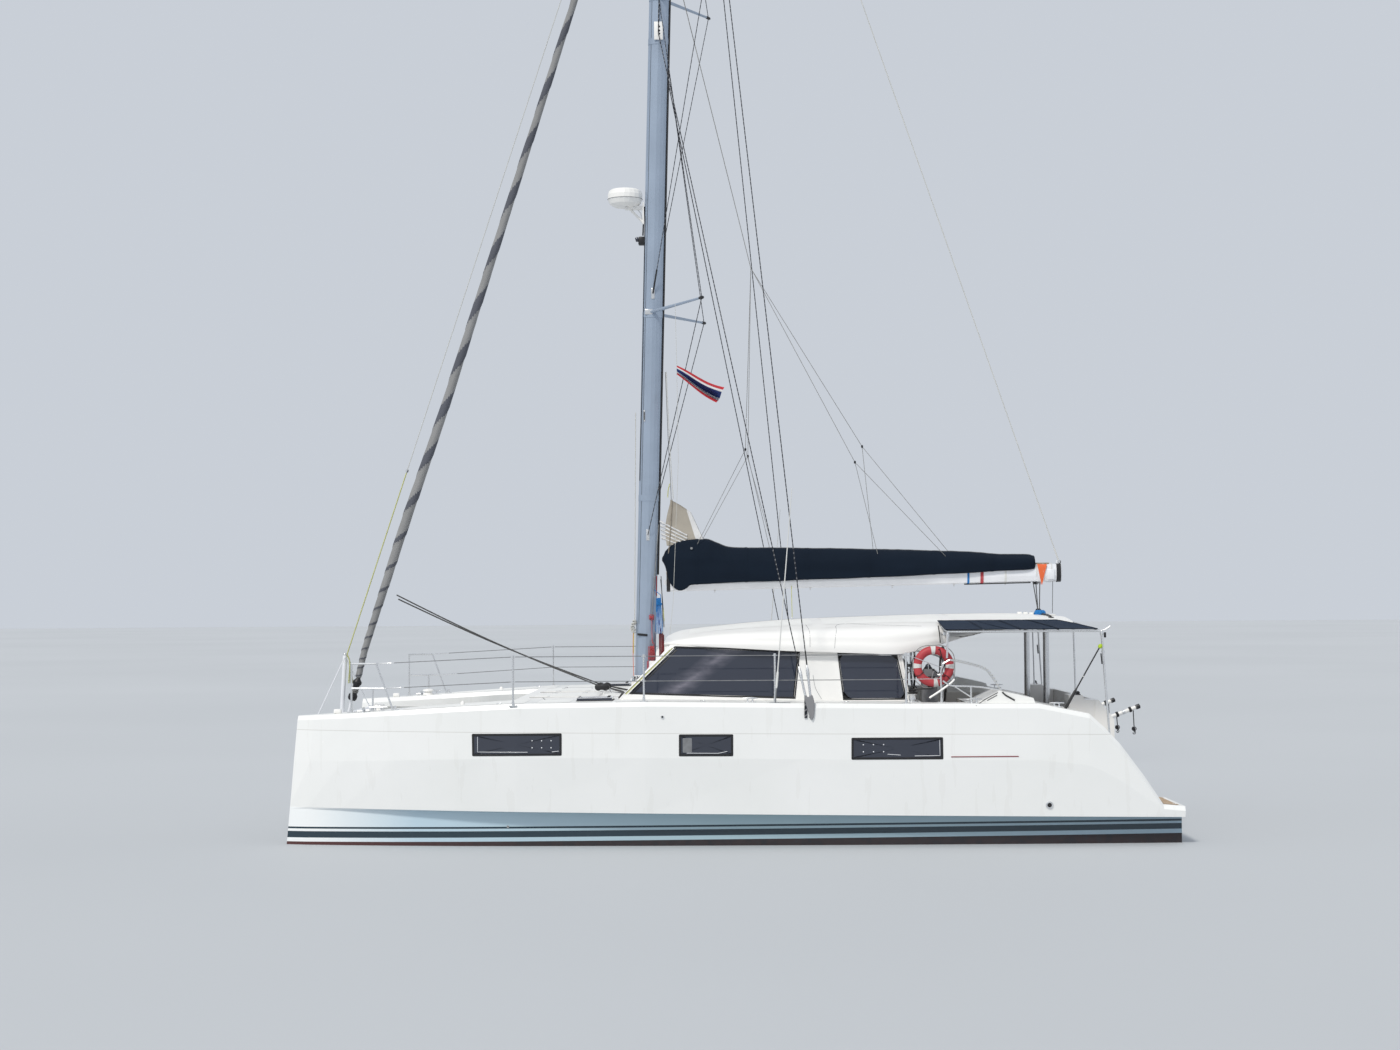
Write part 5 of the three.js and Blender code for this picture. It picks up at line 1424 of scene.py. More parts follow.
def make_boom_details():
    """End fittings, reefing points, straps and the lift that holds the boom up."""
    shape = Shape()
    foot, head = (Vector(p) for p in LIFT)
    shape.tube(straight(foot, head, 10), 0.0062, 8)
    shape.paint = 1
    shape.tube([foot, foot.lerp(head, 0.012)], 0.0115, 8)
    shape.paint = 2
    tackle(shape, foot - Vector((0.003, 0, 0.012)), (-0.2, 0, 1), 0.030, 0.028, 2, 3)

    def section(x, grow):
        (x0, x1), (z0, z1) = BOOM["x"], BOOM["z"]
        z = z0 + (z1 - z0) * (x - x0) / (x1 - x0)
        share = [(0, -1), (0.7, -0.85), (1, -0.3), (1, 0.35), (0.75, 0.9), (0, 1)]
        right = [(a * (BOOM["half"][0] + grow), b * (BOOM["half"][1] + grow)) for a, b in share]
        return [Vector((x, a, z + b)) for a, b in right + [(-a, b) for a, b in reversed(right[1:-1])]]

    # End caps and the casting at the after end
    for x, shift, paint in ((-4.792, -0.066, 3), (-4.475, -0.11, 4), (-4.650, -0.09, 4)):
        shape.paint = paint
        shape.rings([section(x, 0.0), section(x, 0.006), section(x + shift, 0.006), section(x + shift, 0.0)])
    shape.rings([section(-4.800, 0.005), section(-4.862, 0.005), section(-4.872, -0.012)])
    shape.paint = 3
    shape.rings([section(0.905, 0.004), section(0.870, 0.005), section(0.850, 0.0)])
    # A black strip under the boom's after end, then slides and eyes
    shape.tube([section(x, 0.006)[0] + Vector((0, 0.018, 0)) for x in (-3.45, -4.42)], 0.008, 6)
    for x in (0.2, -1.2, -2.4, -3.3, -4.05):
        shape.paint = 2
        shape.turned([(0.016, 0), (0.010, 0.012), (0.010, 0.03)], section(x, 0.0)[0], (0, 0, -1), 12)
    # Lashings: blue and red ties, sail ties and the straps on the end
    for x, paint, wide in ((-3.506, 5, 0.030), (-3.705, 6, 0.045), (-4.05, 7, 0.03)):
        shape.paint = paint
        shape.rings([section(x + wide / 2, 0.001), section(x + wide / 2, 0.005), section(x - wide / 2, 0.005),
                     section(x - wide / 2, 0.001)])
    shape.paint = 7
    for x in (-4.50, -4.60, -4.72):
        shape.tube([section(x, 0.006)[k] for k in (2, 3, 4, 5, 6, 7, 8)], 0.009, 6)
    shape.paint = 8
    for y in (-0.03, 0.03):
        shape.block((-4.585, y, 3.742), (0.21, 0.020, 0.030), 0.006)
    # Sheave boxes on both sides of the boom's end
    shape.paint = 4
    for side in (1, -1):
        shape.block((-4.712, side * 0.082, 3.585), (0.105, 0.018, 0.150), 0.008)
    finishes = ["white_rope", "band", "steel", "black", "boom_alloy", "blue_rope",
                "red_rope", "band", "tan_rope"]
    put(shape, "boom_fittings", "boom", finishes, "boom_alloy", angle=50)


# Fore and aft edges of the pennant at its top, and the x and z of its points
PENNANT = {"top": (-4.515, -4.645), "tip": (-4.573, 3.435)}


def make_boom_pennant():
    """An orange wedge of cloth over the boom's end, its two points hanging on either side."""
    x0, x1 = PENNANT["top"]
    tip_x, tip_z = PENNANT["tip"]
    rows = []
    for i in range(25):
        s = -1 + 2 * i / 24
        fall = max(0.0, (abs(s) - 0.30) / 0.70)
        wide = 1 - fall
        y = (0.088 if s > 0 else -0.088) * min(1.0, abs(s) / 0.30)
        z = 3.738 - 0.012 * min(1.0, abs(s) / 0.30) ** 2 - fall * (3.726 - tip_z)
        middle = (x0 + x1) / 2 * wide + tip_x * fall
        half = (x0 - x1) / 2 * wide + 0.004
        rows.append([Vector((middle + half * (1 - k / 4), y + math.copysign(0.004 * math.sin(k), y), z))
                     for k in range(9)])
    shape = Shape().rings(rows, open_ring=True)
    piece = put(shape, "boom_pennant", "boom", ["orange"], "canvas", angle=180, outward=False)


def make_mainsheet():
    """Parts of the sheet between the boom's end and the roof."""
    shape = Shape()
    for top, low, radius in (((-4.453, 0.02, 3.485), (-4.518, 0.045, 3.045), 0.007),
                             ((-4.555, 0.01, 3.482), (-4.540, 0.035, 3.045), 0.007),
                             ((-4.500, -0.02, 3.485), (-4.530, -0.045, 3.045), 0.007),
                             ((-4.745, 0.0, 3.49), (-4.735, 0.0, 3.02), 0.004)):
        a, b = Vector(top), Vector(low)
        shape.tube(straight(a, b, 8), radius, 8)
    tackle(shape, (-4.50, 0, 3.475), (0, 0, -1), 0.036, 0.05, 1, 2)
    tackle(shape, (-4.53, 0, 3.052), (0, 0, 1), 0.036, 0.05, 1, 2)
    piece = put(shape, "mainsheet", None, ["black_rope", "black", "steel"], "wire", angle=50)
    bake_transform(piece)


def make_fore_lines():
    """The halyard kept at the striker, its tail and its shackle."""
    shape = Shape()
    top = Vector((5.600, 0, 2.490))
    head = on_mast(16.45, 0, 0.0)
    shape.tube(straight(top, head, 8), 0.0062, 6)
    shape.paint = 1
    shape.tube([top, top.lerp(head, 0.190)], 0.0088, 8)
    for y in (-0.02, 0.012, 0.030):
        shape.tube(spline([(5.605, 0.5 * y, 2.490), (5.560, y, 2.350), (5.545 + y, 1.4 * y, 2.060)], 6),
                   0.0075, 8)
    shape.paint = 2
    tackle(shape, top.lerp(head, 0.192), head - top, 0.024, 0.022, 2, 3)
    shape.turned([(0.034, 0), (0.036, 0.01), (0.028, 0.028), (0.015, 0.034)],
                 (5.632, 0, 2.470), (0, 0, 1), 20)
    put(shape, "halyard_at_striker", "boat",
        ["white_rope", "yellow_green", "steel", "black"], "wire", angle=50)


# Sheets of the headsail: from the roll to the lead on the foredeck, x, y and z
SHEET_CLEW = (4.861, 0.075, 3.317)
SHEET_LEAD = (1.930, 0.262, 2.025)


def make_jib_sheets():
    """The two sheets from the rolled sail to their blocks on the coachroof's front, and their tails."""
    for label, side in SIDES:
        shape = Shape()
        a = Vector((SHEET_CLEW[0], side * SHEET_CLEW[1], SHEET_CLEW[2] + 0.03 * side))
        b = Vector((SHEET_LEAD[0], side * SHEET_LEAD[1], SHEET_LEAD[2]))
        shape.tube([a.lerp(b, s / 14) - Vector((0, 0, 0.05 * math.sin(math.pi * s / 14))) for s in range(15)],
                   0.010, 8)
        put(shape, f"headsail_sheet_{label}", "boat", ["black_rope"], "wire", angle=60)
    leads = Shape()
    deck = surface_of("bridgedeck")
    for side in (1, -1):
        x, y = 1.800, side * SHEET_LEAD[1]
        z = from_above(deck, 1.70, y).z
        leads.paint = 2
        leads.block((1.700, y, z + 0.006), (0.30, 0.07, 0.012), 0.004)
        leads.turned([(0.020, 0), (0.014, 0.01), (0.012, 0.05)], (1.730, y, z + 0.006), (0, 0, 1), 14)
        leads.paint = 0
        for k in (0.10, 0.0):
            leads.turned([(0.030, 0), (0.048, 0.008), (0.052, 0.018), (0.040, 0.026), (0.052, 0.034),
                          (0.048, 0.044), (0.030, 0.050)], (x + k, y - 0.025, z + 0.085), (0, 1, 0), 24)
        leads.block((x + 0.04, y, z + 0.082), (0.20, 0.060, 0.075), 0.020)
        leads.paint = 1
        for k in range(3):
            tail = [(x - 0.04, y, z + 0.08), (x - 0.18 - 0.03 * k, y + side * 0.10, z + 0.035),
                    (x - 0.30, y + side * (0.30 + 0.05 * k), z + 0.012),
                    (x - 0.42 + 0.04 * k, y + side * (0.62 + 0.04 * k), z + 0.010)]
            leads.tube(spline(tail, 6), 0.0075, 8)
    hull = surface_of("hull_port")
    for side in (1, -1):
        spots = [from_above(hull, 1.50, 2.24), Vector((1.440, 2.30, 1.990)), from_above(hull, 1.425, 2.36)]
        leads.tube([Vector((p.x, side * p.y, p.z + 0.008)) for p in spots], 0.014, 8)
    put(leads, "headsail_leads", "boat", ["black", "black_rope", "steel"], "steel")


FLAG = {"hoist": (0.713, 1.055, 6.583), "fly": 0.74, "drop": 0.44}


def make_flag():
    """A small flag hanging limp from the spreader, folded on itself, with its halyard."""
    line = Shape()
    line.tube([(0.730, 1.04, 7.46), FLAG["hoist"], (0.700, 1.02, 5.20),
               (0.800, 0.50, 3.2), (0.93, 0.26, 2.08)],
              0.003, 6)
    halyard = put(line, "flag_halyard", "boat", ["white_rope"], "wire", angle=60)
    hoist = Vector(FLAG["hoist"])
    rows = []
    for i in range(31):
        u = i / 30
        row = []
        for k in range(41):
            v = k / 40
            lobe = 0.5 - 0.5 * math.cos(3 * math.pi * v)
            angle = math.radians(-24 - 16 * v - 4 * math.sin(3 * u))
            reach = FLAG["fly"] * u
            out = Vector((-math.cos(angle), 0, math.sin(angle))) * reach
            swing = (lobe - 0.5) * 0.26 * min(1.0, 0.12 + u) + 0.020 * math.sin(7 * u + 4 * v)
            row.append(hoist + out + Vector((0, swing, -0.13 * v * (1 - 0.5 * u))))
        rows.append(row)
    shape = Shape().rings(rows, open_ring=True)
    for i in range(30):
        for k in range(40):
            share = k / 40
            shape.paints[i * 40 + k] = 2 if 0.36 < share < 0.64 else 1 if 0.20 < share < 0.80 else 0
    flag = put(shape, "courtesy_flag", "boat", ["flag_red", "flag_white", "flag_blue"], "canvas", angle=180,
               outward=False)


def make_shroud_details():
    """Turnbuckles and their boots, a cover over each pair of chainplates, and spreader tips."""

    def build():
        shape = Shape()
        for foot, head in ((Vector((-1.062, 3.440, 1.960)), on_mast(18.9, 2.498, 0.026)),
                           (Vector((-0.998, 3.440, 1.960)), on_mast(11.6, math.pi / 2, 0.026))):
            along = (head - foot).normalized()
            shape.paint = 2
            shape.turned([(0.015, -0.02), (0.0155, 0.0), (0.0155, 0.26), (0.022, 0.29),
                          (0.022, 0.36), (0.015, 0.40),
                          (0.009, 0.43)], foot, along, 16)
            shape.paint = 1
            shape.tube([foot + along * 0.43, foot + along * 0.62], 0.0095, 8)
        shape.paint = 0
        cover = spline([Vector((x, z, 0)) for x, z in ((-0.985, 1.990), (-1.032, 1.965), (-1.082, 1.990),
                        (-1.112, 1.880), (-1.106, 1.735), (-1.080, 1.668), (-1.050, 1.700), (-1.016, 1.815),
                        (-0.984, 1.935))], 5, closed=True)
        shape.slab([Vector((p.x, p.y)) for p in cover], 0.034, lambda u, v,
                   w: Vector((u, 3.4255 + w, v)), 0.008)
        shape.paint = 1
        for tip in ((0.350, 1.400, 7.500), (0.250, 1.300, 12.200)):
            shape.turned([(0.018, -0.06), (0.023, -0.04), (0.023, 0.03), (0.012, 0.055)],
                         tip, (-0.5, 0.86, 0), 14)
        return shape

    put_both(build, "shroud_boots", "boat", ["shroud_cover", "black", "steel"], "wire")


def make_radar_details():
    """The seam, cap line and bracket screws of the radar dome."""
    shape = Shape()
    ring = [Vector((1.485 + 0.2555 * math.cos(t), 0.2555 * math.sin(t), 9.045 + 0.112))
            for t in full_turn(40)]
    shape.tube(ring, 0.004, 6, closed=True)
    shape.paint = 1
    for dx in (-0.09, 0.03):
        for y in (-0.05, 0.05):
            shape.turned([(0.014, 0), (0.014, 0.012)], (1.435 + dx, y, 9.043), (0, 0, -1), 10)
    shape.tube([(1.330, 0.0, 9.04), (1.255, 0.01, 8.95), (1.215, 0.0, 8.80)], 0.008, 8)
    put(shape, "radar_trim", "boat", ["grey", "steel"], "gelcoat")


def make_rig():
    make_mast_details()
    make_mast_lines()
    make_lazy_jacks()
    make_boom_details()
    make_boom_pennant()
    make_mainsheet()
    make_fore_lines()
    make_jib_sheets()
    make_flag()
    make_shroud_details()
    make_radar_details()


# Deck

STANCHIONS = (2.840, 1.120, -0.600, -2.320)
RAIL_Y = 3.300
PULPIT_FEET = ((5.080, 2.655), (4.470, 2.785), (4.780, 2.730))
POST_TOP = 2.509
# Each lifeline: its height along the posts and where it starts at the pulpit
LIFELINES = ((2.507, (4.725, 2.775, 2.415)), (2.180, (4.590, 2.780, 2.085)))


def foot_plate(shape, at, long=0.11, wide=0.075, high=0.055, radius=0.013):
    """The plate and socket that a deck post stands in."""
    at = Vector(at)
    outline = rounded([Vector((sx * long / 2, sy * wide / 2)) for sx,
                       sy in ((-1, -1), (1, -1), (1, 1), (-1, 1))],
                      0.3 * wide, 3)
    shape.slab(outline, 0.008, lambda u, v, w: at + Vector((u, v, w - 0.001)), 0.002)
    shape.turned([(radius + 0.012, 0.004), (radius + 0.006, 0.012), (radius + 0.005, high),
                  (radius + 0.001, high)],
                 at, (0, 0, 1), 16)
    for sx in (-1, 1):
        shape.turned([(0.007, 0.006), (0.006, 0.011), (0.003, 0.012)], at + Vector((sx * 0.38 * long, 0, 0)),
                     (0, 0, 1), 8)
    return shape


def make_rail_details():
    """Feet and caps of the rail posts, lifelines, the aerial and the cleats along the side decks."""
    hull = surface_of("hull_port")

    def build():
        shape = Shape()
        for x in STANCHIONS:
            foot_plate(shape, from_above(hull, x, RAIL_Y))
            shape.turned([(0.013, 0), (0.017, 0.002), (0.017, 0.016), (0.010, 0.024)],
                         (x, RAIL_Y, POST_TOP), (0, 0, 1),
                         14)
            for z, _ in LIFELINES:
                shape.turned([(0.016, -0.010), (0.017, 0), (0.016, 0.010)], (x, RAIL_Y, z), (0, 0, 1), 12)
        for x, y in PULPIT_FEET:
            foot_plate(shape, from_above(hull, x, y))
        foot_plate(shape, from_above(hull, -2.810, 3.010))
        # Tension screws of the lifelines at the pulpit, and the lines from post to post
        for z, start in LIFELINES:
            fore = Vector(start)
            along = (Vector((STANCHIONS[0], RAIL_Y, z)) - fore).normalized()
            shape.turned([(0.006, 0.03), (0.008, 0.05), (0.008, 0.20), (0.006, 0.22)], fore, along, 10)
            shape.paint = 3
            stops = [fore + along * 0.23, *[Vector((x, RAIL_Y, z)) for x in STANCHIONS]]
            for p, q in zip(stops, stops[1:]):
                inset = (q - p).normalized() * 0.03
                shape.tube([p + inset, q - inset], 0.0053, 8)
            shape.paint = 0
        # Aerial beside the third post: its foot and a thin whip that leans aft
        shape.paint = 1
        whip = (Vector((-0.602, 3.350, 1.880)), Vector((-0.845, 3.300, 4.704)))
        shape.tube([whip[0].lerp(whip[1], s) for s in (0.145, 0.6, 1)], [0.0085, 0.007, 0.0045], 8)
        shape.tube([whip[0].lerp(whip[1], s) for s in (0.07, 0.08, 0.14, 0.15)],
                   [0.010, 0.015, 0.015, 0.009], 12)
        shape.paint = 3
        shape.tube([whip[0], whip[0].lerp(whip[1], 0.075)], 0.0085, 10)
        shape.block(whip[0] + Vector((-0.06, 0, 0.004)), (0.28, 0.06, 0.010), 0.003)
        shape.paint = 0
        for x, y, turn in ((-0.275, 3.225, (1, 0, 0)), (-3.215, 3.235, (1, 0, 0)),
                           (4.700, 2.760, (1, -0.1, 0)),
                           (-4.300, 3.220, (1, 0, 0))):
            at = from_above(hull, x, y)
            shape.block(at + Vector((0, 0, 0.003)), (0.16, 0.05, 0.008), 0.003)
            cleat(shape, at, turn, 0.25 if x > 0 else 0.20, 0.045)
        for y in (2.730, 2.810):
            at = from_above(hull, 4.900, y)
            shape.turned([(0.016, 0), (0.012, 0.01), (0.012, 0.055), (0.020, 0.062)], at, (0, 0, 1), 12)
        shape.tube([from_above(hull, 4.82, 2.77, 0.02), from_above(hull, 4.98, 2.77, 0.02)], 0.014, 8)
        return shape

    put_both(build, "deck_fittings", "boat", ["steel", "band", "black", "grey"], "steel")


def deck_pad(shape, tree, ends, edges, off=0.0018, corner=0.09, cell=0.11):
    """A thin non-slip panel laid over the surface below; edges gives its two sides at x."""
    x0, x1 = ends
    count = max(6, int(abs(x1 - x0) / cell))
    rows = []
    stations = [x0 + (x1 - x0) * smooth_edge(i / count) for i in range(count + 1)]
    for x in stations:
        y0, y1 = edges(x)
        near = min(abs(x - x0), abs(x - x1))
        inset = corner - math.sqrt(max(0.0, corner ** 2 - max(0.0, corner - near) ** 2))
        y0, y1 = y0 + inset, y1 - inset
        across = max(4, int(abs(y1 - y0) / cell)) if not rows else len(rows[0]) - 1
        rows.append([from_above(tree, x, y0 + (y1 - y0) * k / across, off) for k in range(across + 1)])
    return shape.rings(rows, open_ring=True)


def smooth_edge(t):
    """Even steps with closer ones near both ends, where the panel's corners turn."""
    return t - 0.13 * math.sin(2 * math.pi * t)


def make_deck_pads(roof):
    """Non-slip panels on the decks and the roof."""
    hull, bridge = surface_of("hull_port"), surface_of("bridgedeck")
    roof_tree = tree_of(roof)
    deck_out = ((5.2, 2.78), (4.5, 2.95), (3.6, 3.10), (2.8, 3.18), (1.1, 3.24), (-2.35, 3.24))

    def outer(x):
        return read_table(deck_out, x, 1) - 0.02

    def build():
        shape = Shape()
        deck_pad(shape, hull, (4.35, 2.72), lambda x: (2.20 - 0.14 * (4.35 - x), outer(x)))
        deck_pad(shape, hull, (2.55, 2.12), lambda x: (2.20, outer(x)))
        deck_pad(shape, hull, (1.50, -0.35), lambda x: (2.66, outer(x)))
        deck_pad(shape, hull, (-0.50, -2.30), lambda x: (2.66, outer(x)))
        deck_pad(shape, bridge, (1.78, 1.50), lambda x: (0.32, 1.60))
        for ends, sides in (((0.55, -1.15), (0.10, 1.95)), ((-1.30, -2.95), (0.10, 1.95)),
                            ((-3.10, -4.35), (0.10, 1.55))):
            deck_pad(shape, roof_tree, ends, lambda x, sides=sides: sides)
        return shape

    put_both(build, "nonslip_panels", "boat", ["deck"], "gelcoat")


def rim(shape, outline, inset, high, place):
    """A raised frame along an outline."""
    levels = [(0, 0), (0, high), (-inset, high), (-inset, 0)]
    return shape.rings([[place(p.x, p.y, w) for p in widened(outline, by)] for by, w in levels], loop=True)


def outline_of(node, inset, radius):
    """The top of a lid as a rounded outline inside its box."""
    low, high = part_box(node)
    corners = [(low[0] + inset, low[1] + inset), (high[0] - inset, low[1] + inset),
               (high[0] - inset, high[1] - inset), (low[0] + inset, high[1] - inset)]
    return rounded([Vector(c) for c in corners], radius, 4), Vector(low), Vector(high)


def make_lids():
    """Frames, latches and hinges on the hatches and locker lids, moving with each of them."""
    for label, side in SIDES:
        node = f"deck_hatch_{label}"
        tree = surface_of(node)
        outline, low, high = outline_of(node, 0.004, 0.05)
        shape = Shape()
        place = lambda u, v, w, tree=tree: from_above(tree, u, v, w) if w else from_above(tree, u, v, -0.004)
        rim(shape, outline, 0.034, 0.006, place)
        shape.paint = 1
        for y in (low.y + 0.12, high.y - 0.12):
            at = from_above(tree, low.x + 0.05, y)
            shape.turned([(0.022, 0), (0.022, 0.012), (0.016, 0.018)], at, (0, 0, 1), 16)
            shape.block(at + Vector((0.0, 0.035, 0.012)), (0.016, 0.075, 0.010), 0.003)
            shape.block(from_above(tree, high.x - 0.02, y, 0.004), (0.030, 0.060, 0.014), 0.004)
        put(shape, f"deck_hatch_frame_{label}", f"deck_hatch_{label}", ["boom_alloy", "black"], "steel")

        outline, low, high = outline_of(f"locker_lid_{label}", 0.055, 0.07)
        shape = Shape()
        top = high.z
        shape.slab(outline, 0.0025, at_height(top - 0.001), 0.001)
        shape.paint = 1
        for x in (low.x + 0.26, high.x - 0.26):
            y = low.y + 0.028 if side > 0 else high.y - 0.028
            shape.block((x, y, top + 0.004), (0.085, 0.034, 0.012), 0.004)
            y = high.y - 0.030 if side > 0 else low.y + 0.030
            shape.turned([(0.020, 0), (0.020, 0.006), (0.012, 0.008)], (x, y, top), (0, 0, 1), 16)
        put(shape, f"locker_lid_trim_{label}", f"locker_lid_{label}", ["deck", "steel"], "gelcoat")

        outline, low, high = outline_of(f"engine_hatch_{label}", 0.040, 0.05)
        shape = Shape()
        top = high.z
        shape.slab(outline, 0.006, at_height(top - 0.001), 0.0015)
        shape.paint = 1
        shape.turned([(0.034, 0), (0.034, 0.008), (0.024, 0.010)], (low.x + 0.10, (low.y + high.y) / 2, top),
                     (0, 0, 1), 20)
        put(shape, f"engine_hatch_trim_{label}", f"engine_hatch_{label}", ["teak", "steel"], "teak")

    bridge = surface_of("bridgedeck", "hull_port")

    def gutters():
        """Dark rubber seals in the gaps round the lids."""
        shape = Shape()
        for node, z in (("locker_lid_port", 1.889), ("deck_hatch_port", None), ("engine_hatch_port", 1.4405)):
            outline, _, _ = outline_of(node, -0.005, 0.03)
            if z is None:
                hull = surface_of("hull_port")
                path = [from_above(hull, p.x, p.y, 0.003) for p in widened(outline, 0.004)]
            else:
                path = [Vector((p.x, p.y, z)) for p in outline]
            shape.tube(path, 0.0055, 6, closed=True)
        shape.tube([from_above(bridge, 2.60 - 0.02 * k, 1.52 + 0.15 * k, 0.001) for k in range(5)], 0.005, 6)
        return shape

    put_both(gutters, "lid_seals", "boat", ["black"], "wire")


def make_foredeck():
    """Vents, chocks and fillers on the foredecks, and the walkway's fittings."""
    hull = surface_of("hull_port")

    def build():
        shape = Shape()
        at = from_above(hull, 4.750, 2.470)
        shape.turned([(0.085, 0), (0.080, 0.02), (0.055, 0.04), (0.055, 0.055),
                      (0.088, 0.062), (0.080, 0.085),
                      (0.03, 0.098)], at, (0, 0, 1), 24)
        shape.block(from_above(hull, 5.275, 2.600, 0.028), (0.10, 0.085, 0.060), 0.016)
        at = from_above(hull, 3.600, 2.520)
        shape.turned([(0.030, 0), (0.028, 0.03), (0.012, 0.05)], at, (0, 0, 1), 16)
        shape.paint = 2
        for x, y in ((3.05, 3.02), (0.35, 3.02), (-1.55, 2.98)):
            at = from_above(hull, x, y)
            shape.turned([(0.040, 0), (0.038, 0.006), (0.030, 0.008), (0.028, 0.004)], at, (0, 0, 1), 20)
        return shape

    put_both(build, "deck_vents", "boat", ["gelcoat", "band", "steel"], "gelcoat")
    shape = Shape()
    for x in (5.40, 5.20, 4.6, 4.0, 3.4):
        for y in (-0.085, 0.085):
            shape.turned([(0.012, 0), (0.012 * 0.8, 0.006)], (x, y, 1.600), (0, 0, 1), 10)
    shape.paint = 1
    outline = rounded([Vector(p) for p in ((5.52, -0.085), (5.52, 0.085), (3.00, 0.085), (3.00, -0.085))],
                      0.03, 3)
    shape.slab(outline, 0.003, at_height(1.599), 0.001)
    shape.paint = 0
    # Anchor roller under the walkway's fore end, and its rail
    for y in (-0.055, 0.055):
        shape.block((5.720, y, 1.500), (0.26, 0.010, 0.12), 0.004)
    shape.turned([(0.035, -0.045), (0.022, 0), (0.035, 0.045)], (5.805, 0, 1.480), (0, 1, 0), 20)
    shape.turned([(0.02, -0.11), (0.02, 0.11)], (5.592, 0, 1.625), (0, 1, 0), 12)
    for y in (-2.33, 2.33):
        shape.turned([(0.022, 0), (0.022, 0.02), (0.012, 0.028)], (5.640, y, 1.60), (0, 0, 1), 14)
    put(shape, "walkway_fittings", "boat", ["steel", "deck"], "steel")


def make_front_trim():
    """Seals round the windscreens, and the pale beading down the cabin's raked corner with a painted
    yellow-green highlight beside it.
    """
    walls = surface_of("cabin_walls")

    def face(y, z, off):
        return Vector((0.930 - (z - 1.860) / 6 + off, y, z))

    def build():
        shape = Shape()
        corners = ((0.075, 1.975), (0.075, 2.595), (1.795, 2.575), (1.795, 1.975))
        shape.tube([face(*p, 0.002) for p in edge_points(corners, 10)], 0.010, 6, closed=True)
        shape.paint = 1
        beading = [(1.372, 1.975), (1.16, 2.182), (0.95, 2.385), (0.742, 2.590)]
        # The pale beading, and beside it a yellow-green line that is a painted highlight
        for off, paint, shift in ((0.004, 1, 0.0), (0.005, 2, 0.018)):
            shape.paint = paint
            shape.tube([from_port(walls, x + shift, z, off) for x, z in beading], 0.008, 6)
        shape.paint = 0
        pivot = face(0.62, 1.955, 0.014)
        tip = face(1.05, 2.33, 0.020)
        shape.turned([(0.022, -0.02), (0.020, 0.012)], pivot, (1, 0, 0.15), 14)
        shape.tube([pivot, tip], 0.006, 6)
        shape.tube([tip + Vector((0.02, -0.10, -0.16)), tip + Vector((-0.005, 0.06, 0.14))], 0.006, 6)
        return shape

    put_both(build, "windscreen_seals", "boat", ["black", "gelcoat", "yellow_green"], "glass")


LIFEBUOY = {"at": (-2.722, 2.892, 2.338), "ring": 0.216, "tube": 0.056}


def make_lifebuoy():
    """A foam ring with four bands, its grab line held at each of them, and the strap that hangs it."""
    centre = Vector(LIFEBUOY["at"])
    ring, tube = LIFEBUOY["ring"], LIFEBUOY["tube"]

    def around(turn, spin, radius):
        out = Vector((math.cos(turn), 0, math.sin(turn)))
        return centre + out * (ring + radius * math.cos(spin)) + Vector((0, radius * math.sin(spin), 0))

    shape = Shape()
    sides, steps = 20, 72
    bands = [math.radians(a) for a in (2, 88, 180, 264)]
    rings = []
    for i in range(steps):
        turn = 2 * math.pi * i / steps
        swell = 1 + 0.012 * noise.noise(Vector((math.cos(turn) * 3, math.sin(turn) * 3, 0)))
        rings.append([around(turn, 2 * math.pi * k / sides, tube * swell) for k in range(sides)])
    shape.rings(rings, loop=True)
    for turn in bands:
        shape.paint = 1
        half = 0.125
        shape.rings([[around(turn + d, 2 * math.pi * k / sides, r) for k in range(sides)]
                     for d, r in ((-half, tube - 0.002), (-half, tube + 0.0035), (half, tube + 0.0035),
                                  (half, tube - 0.002))], loop=True)
    shape.paint = 2
    for turn in (math.radians(218), math.radians(248), math.radians(330)):
        shape.tube([around(turn + 0.02 * math.sin(k), 2 * math.pi * k / sides, tube + 0.007)
                    for k in range(sides)],
                   0.005, 6, closed=True)
    shape.paint = 3
    path = []
    for i in range(96):
        turn = 2 * math.pi * i / 96
        slack = min(abs((turn - b + math.pi) % (2 * math.pi) - math.pi) for b in bands)
        path.append(around(turn, 0.15, tube + 0.008 + 0.030 * smooth_step(slack / 0.7)))
    shape.tube(path, 0.005, 6, closed=True)
    shape.paint = 2
    shape.tube([centre + Vector((-0.02, 0.0, ring - 0.03)), centre + Vector((-0.075, 0.075, ring + 0.02)),
                Vector((-2.835, 3.010, 2.395))], 0.007, 6)
    shape.tube([centre + Vector((-0.16, 0.03, -0.13)), Vector((-2.82, 3.012, 2.21))], 0.007, 6)
    put(shape, "lifebuoy_ring", "boat", ["lifebuoy", "band", "black", "grey_rope"], "lifebuoy",
        ["lifebuoy"], angle=60)


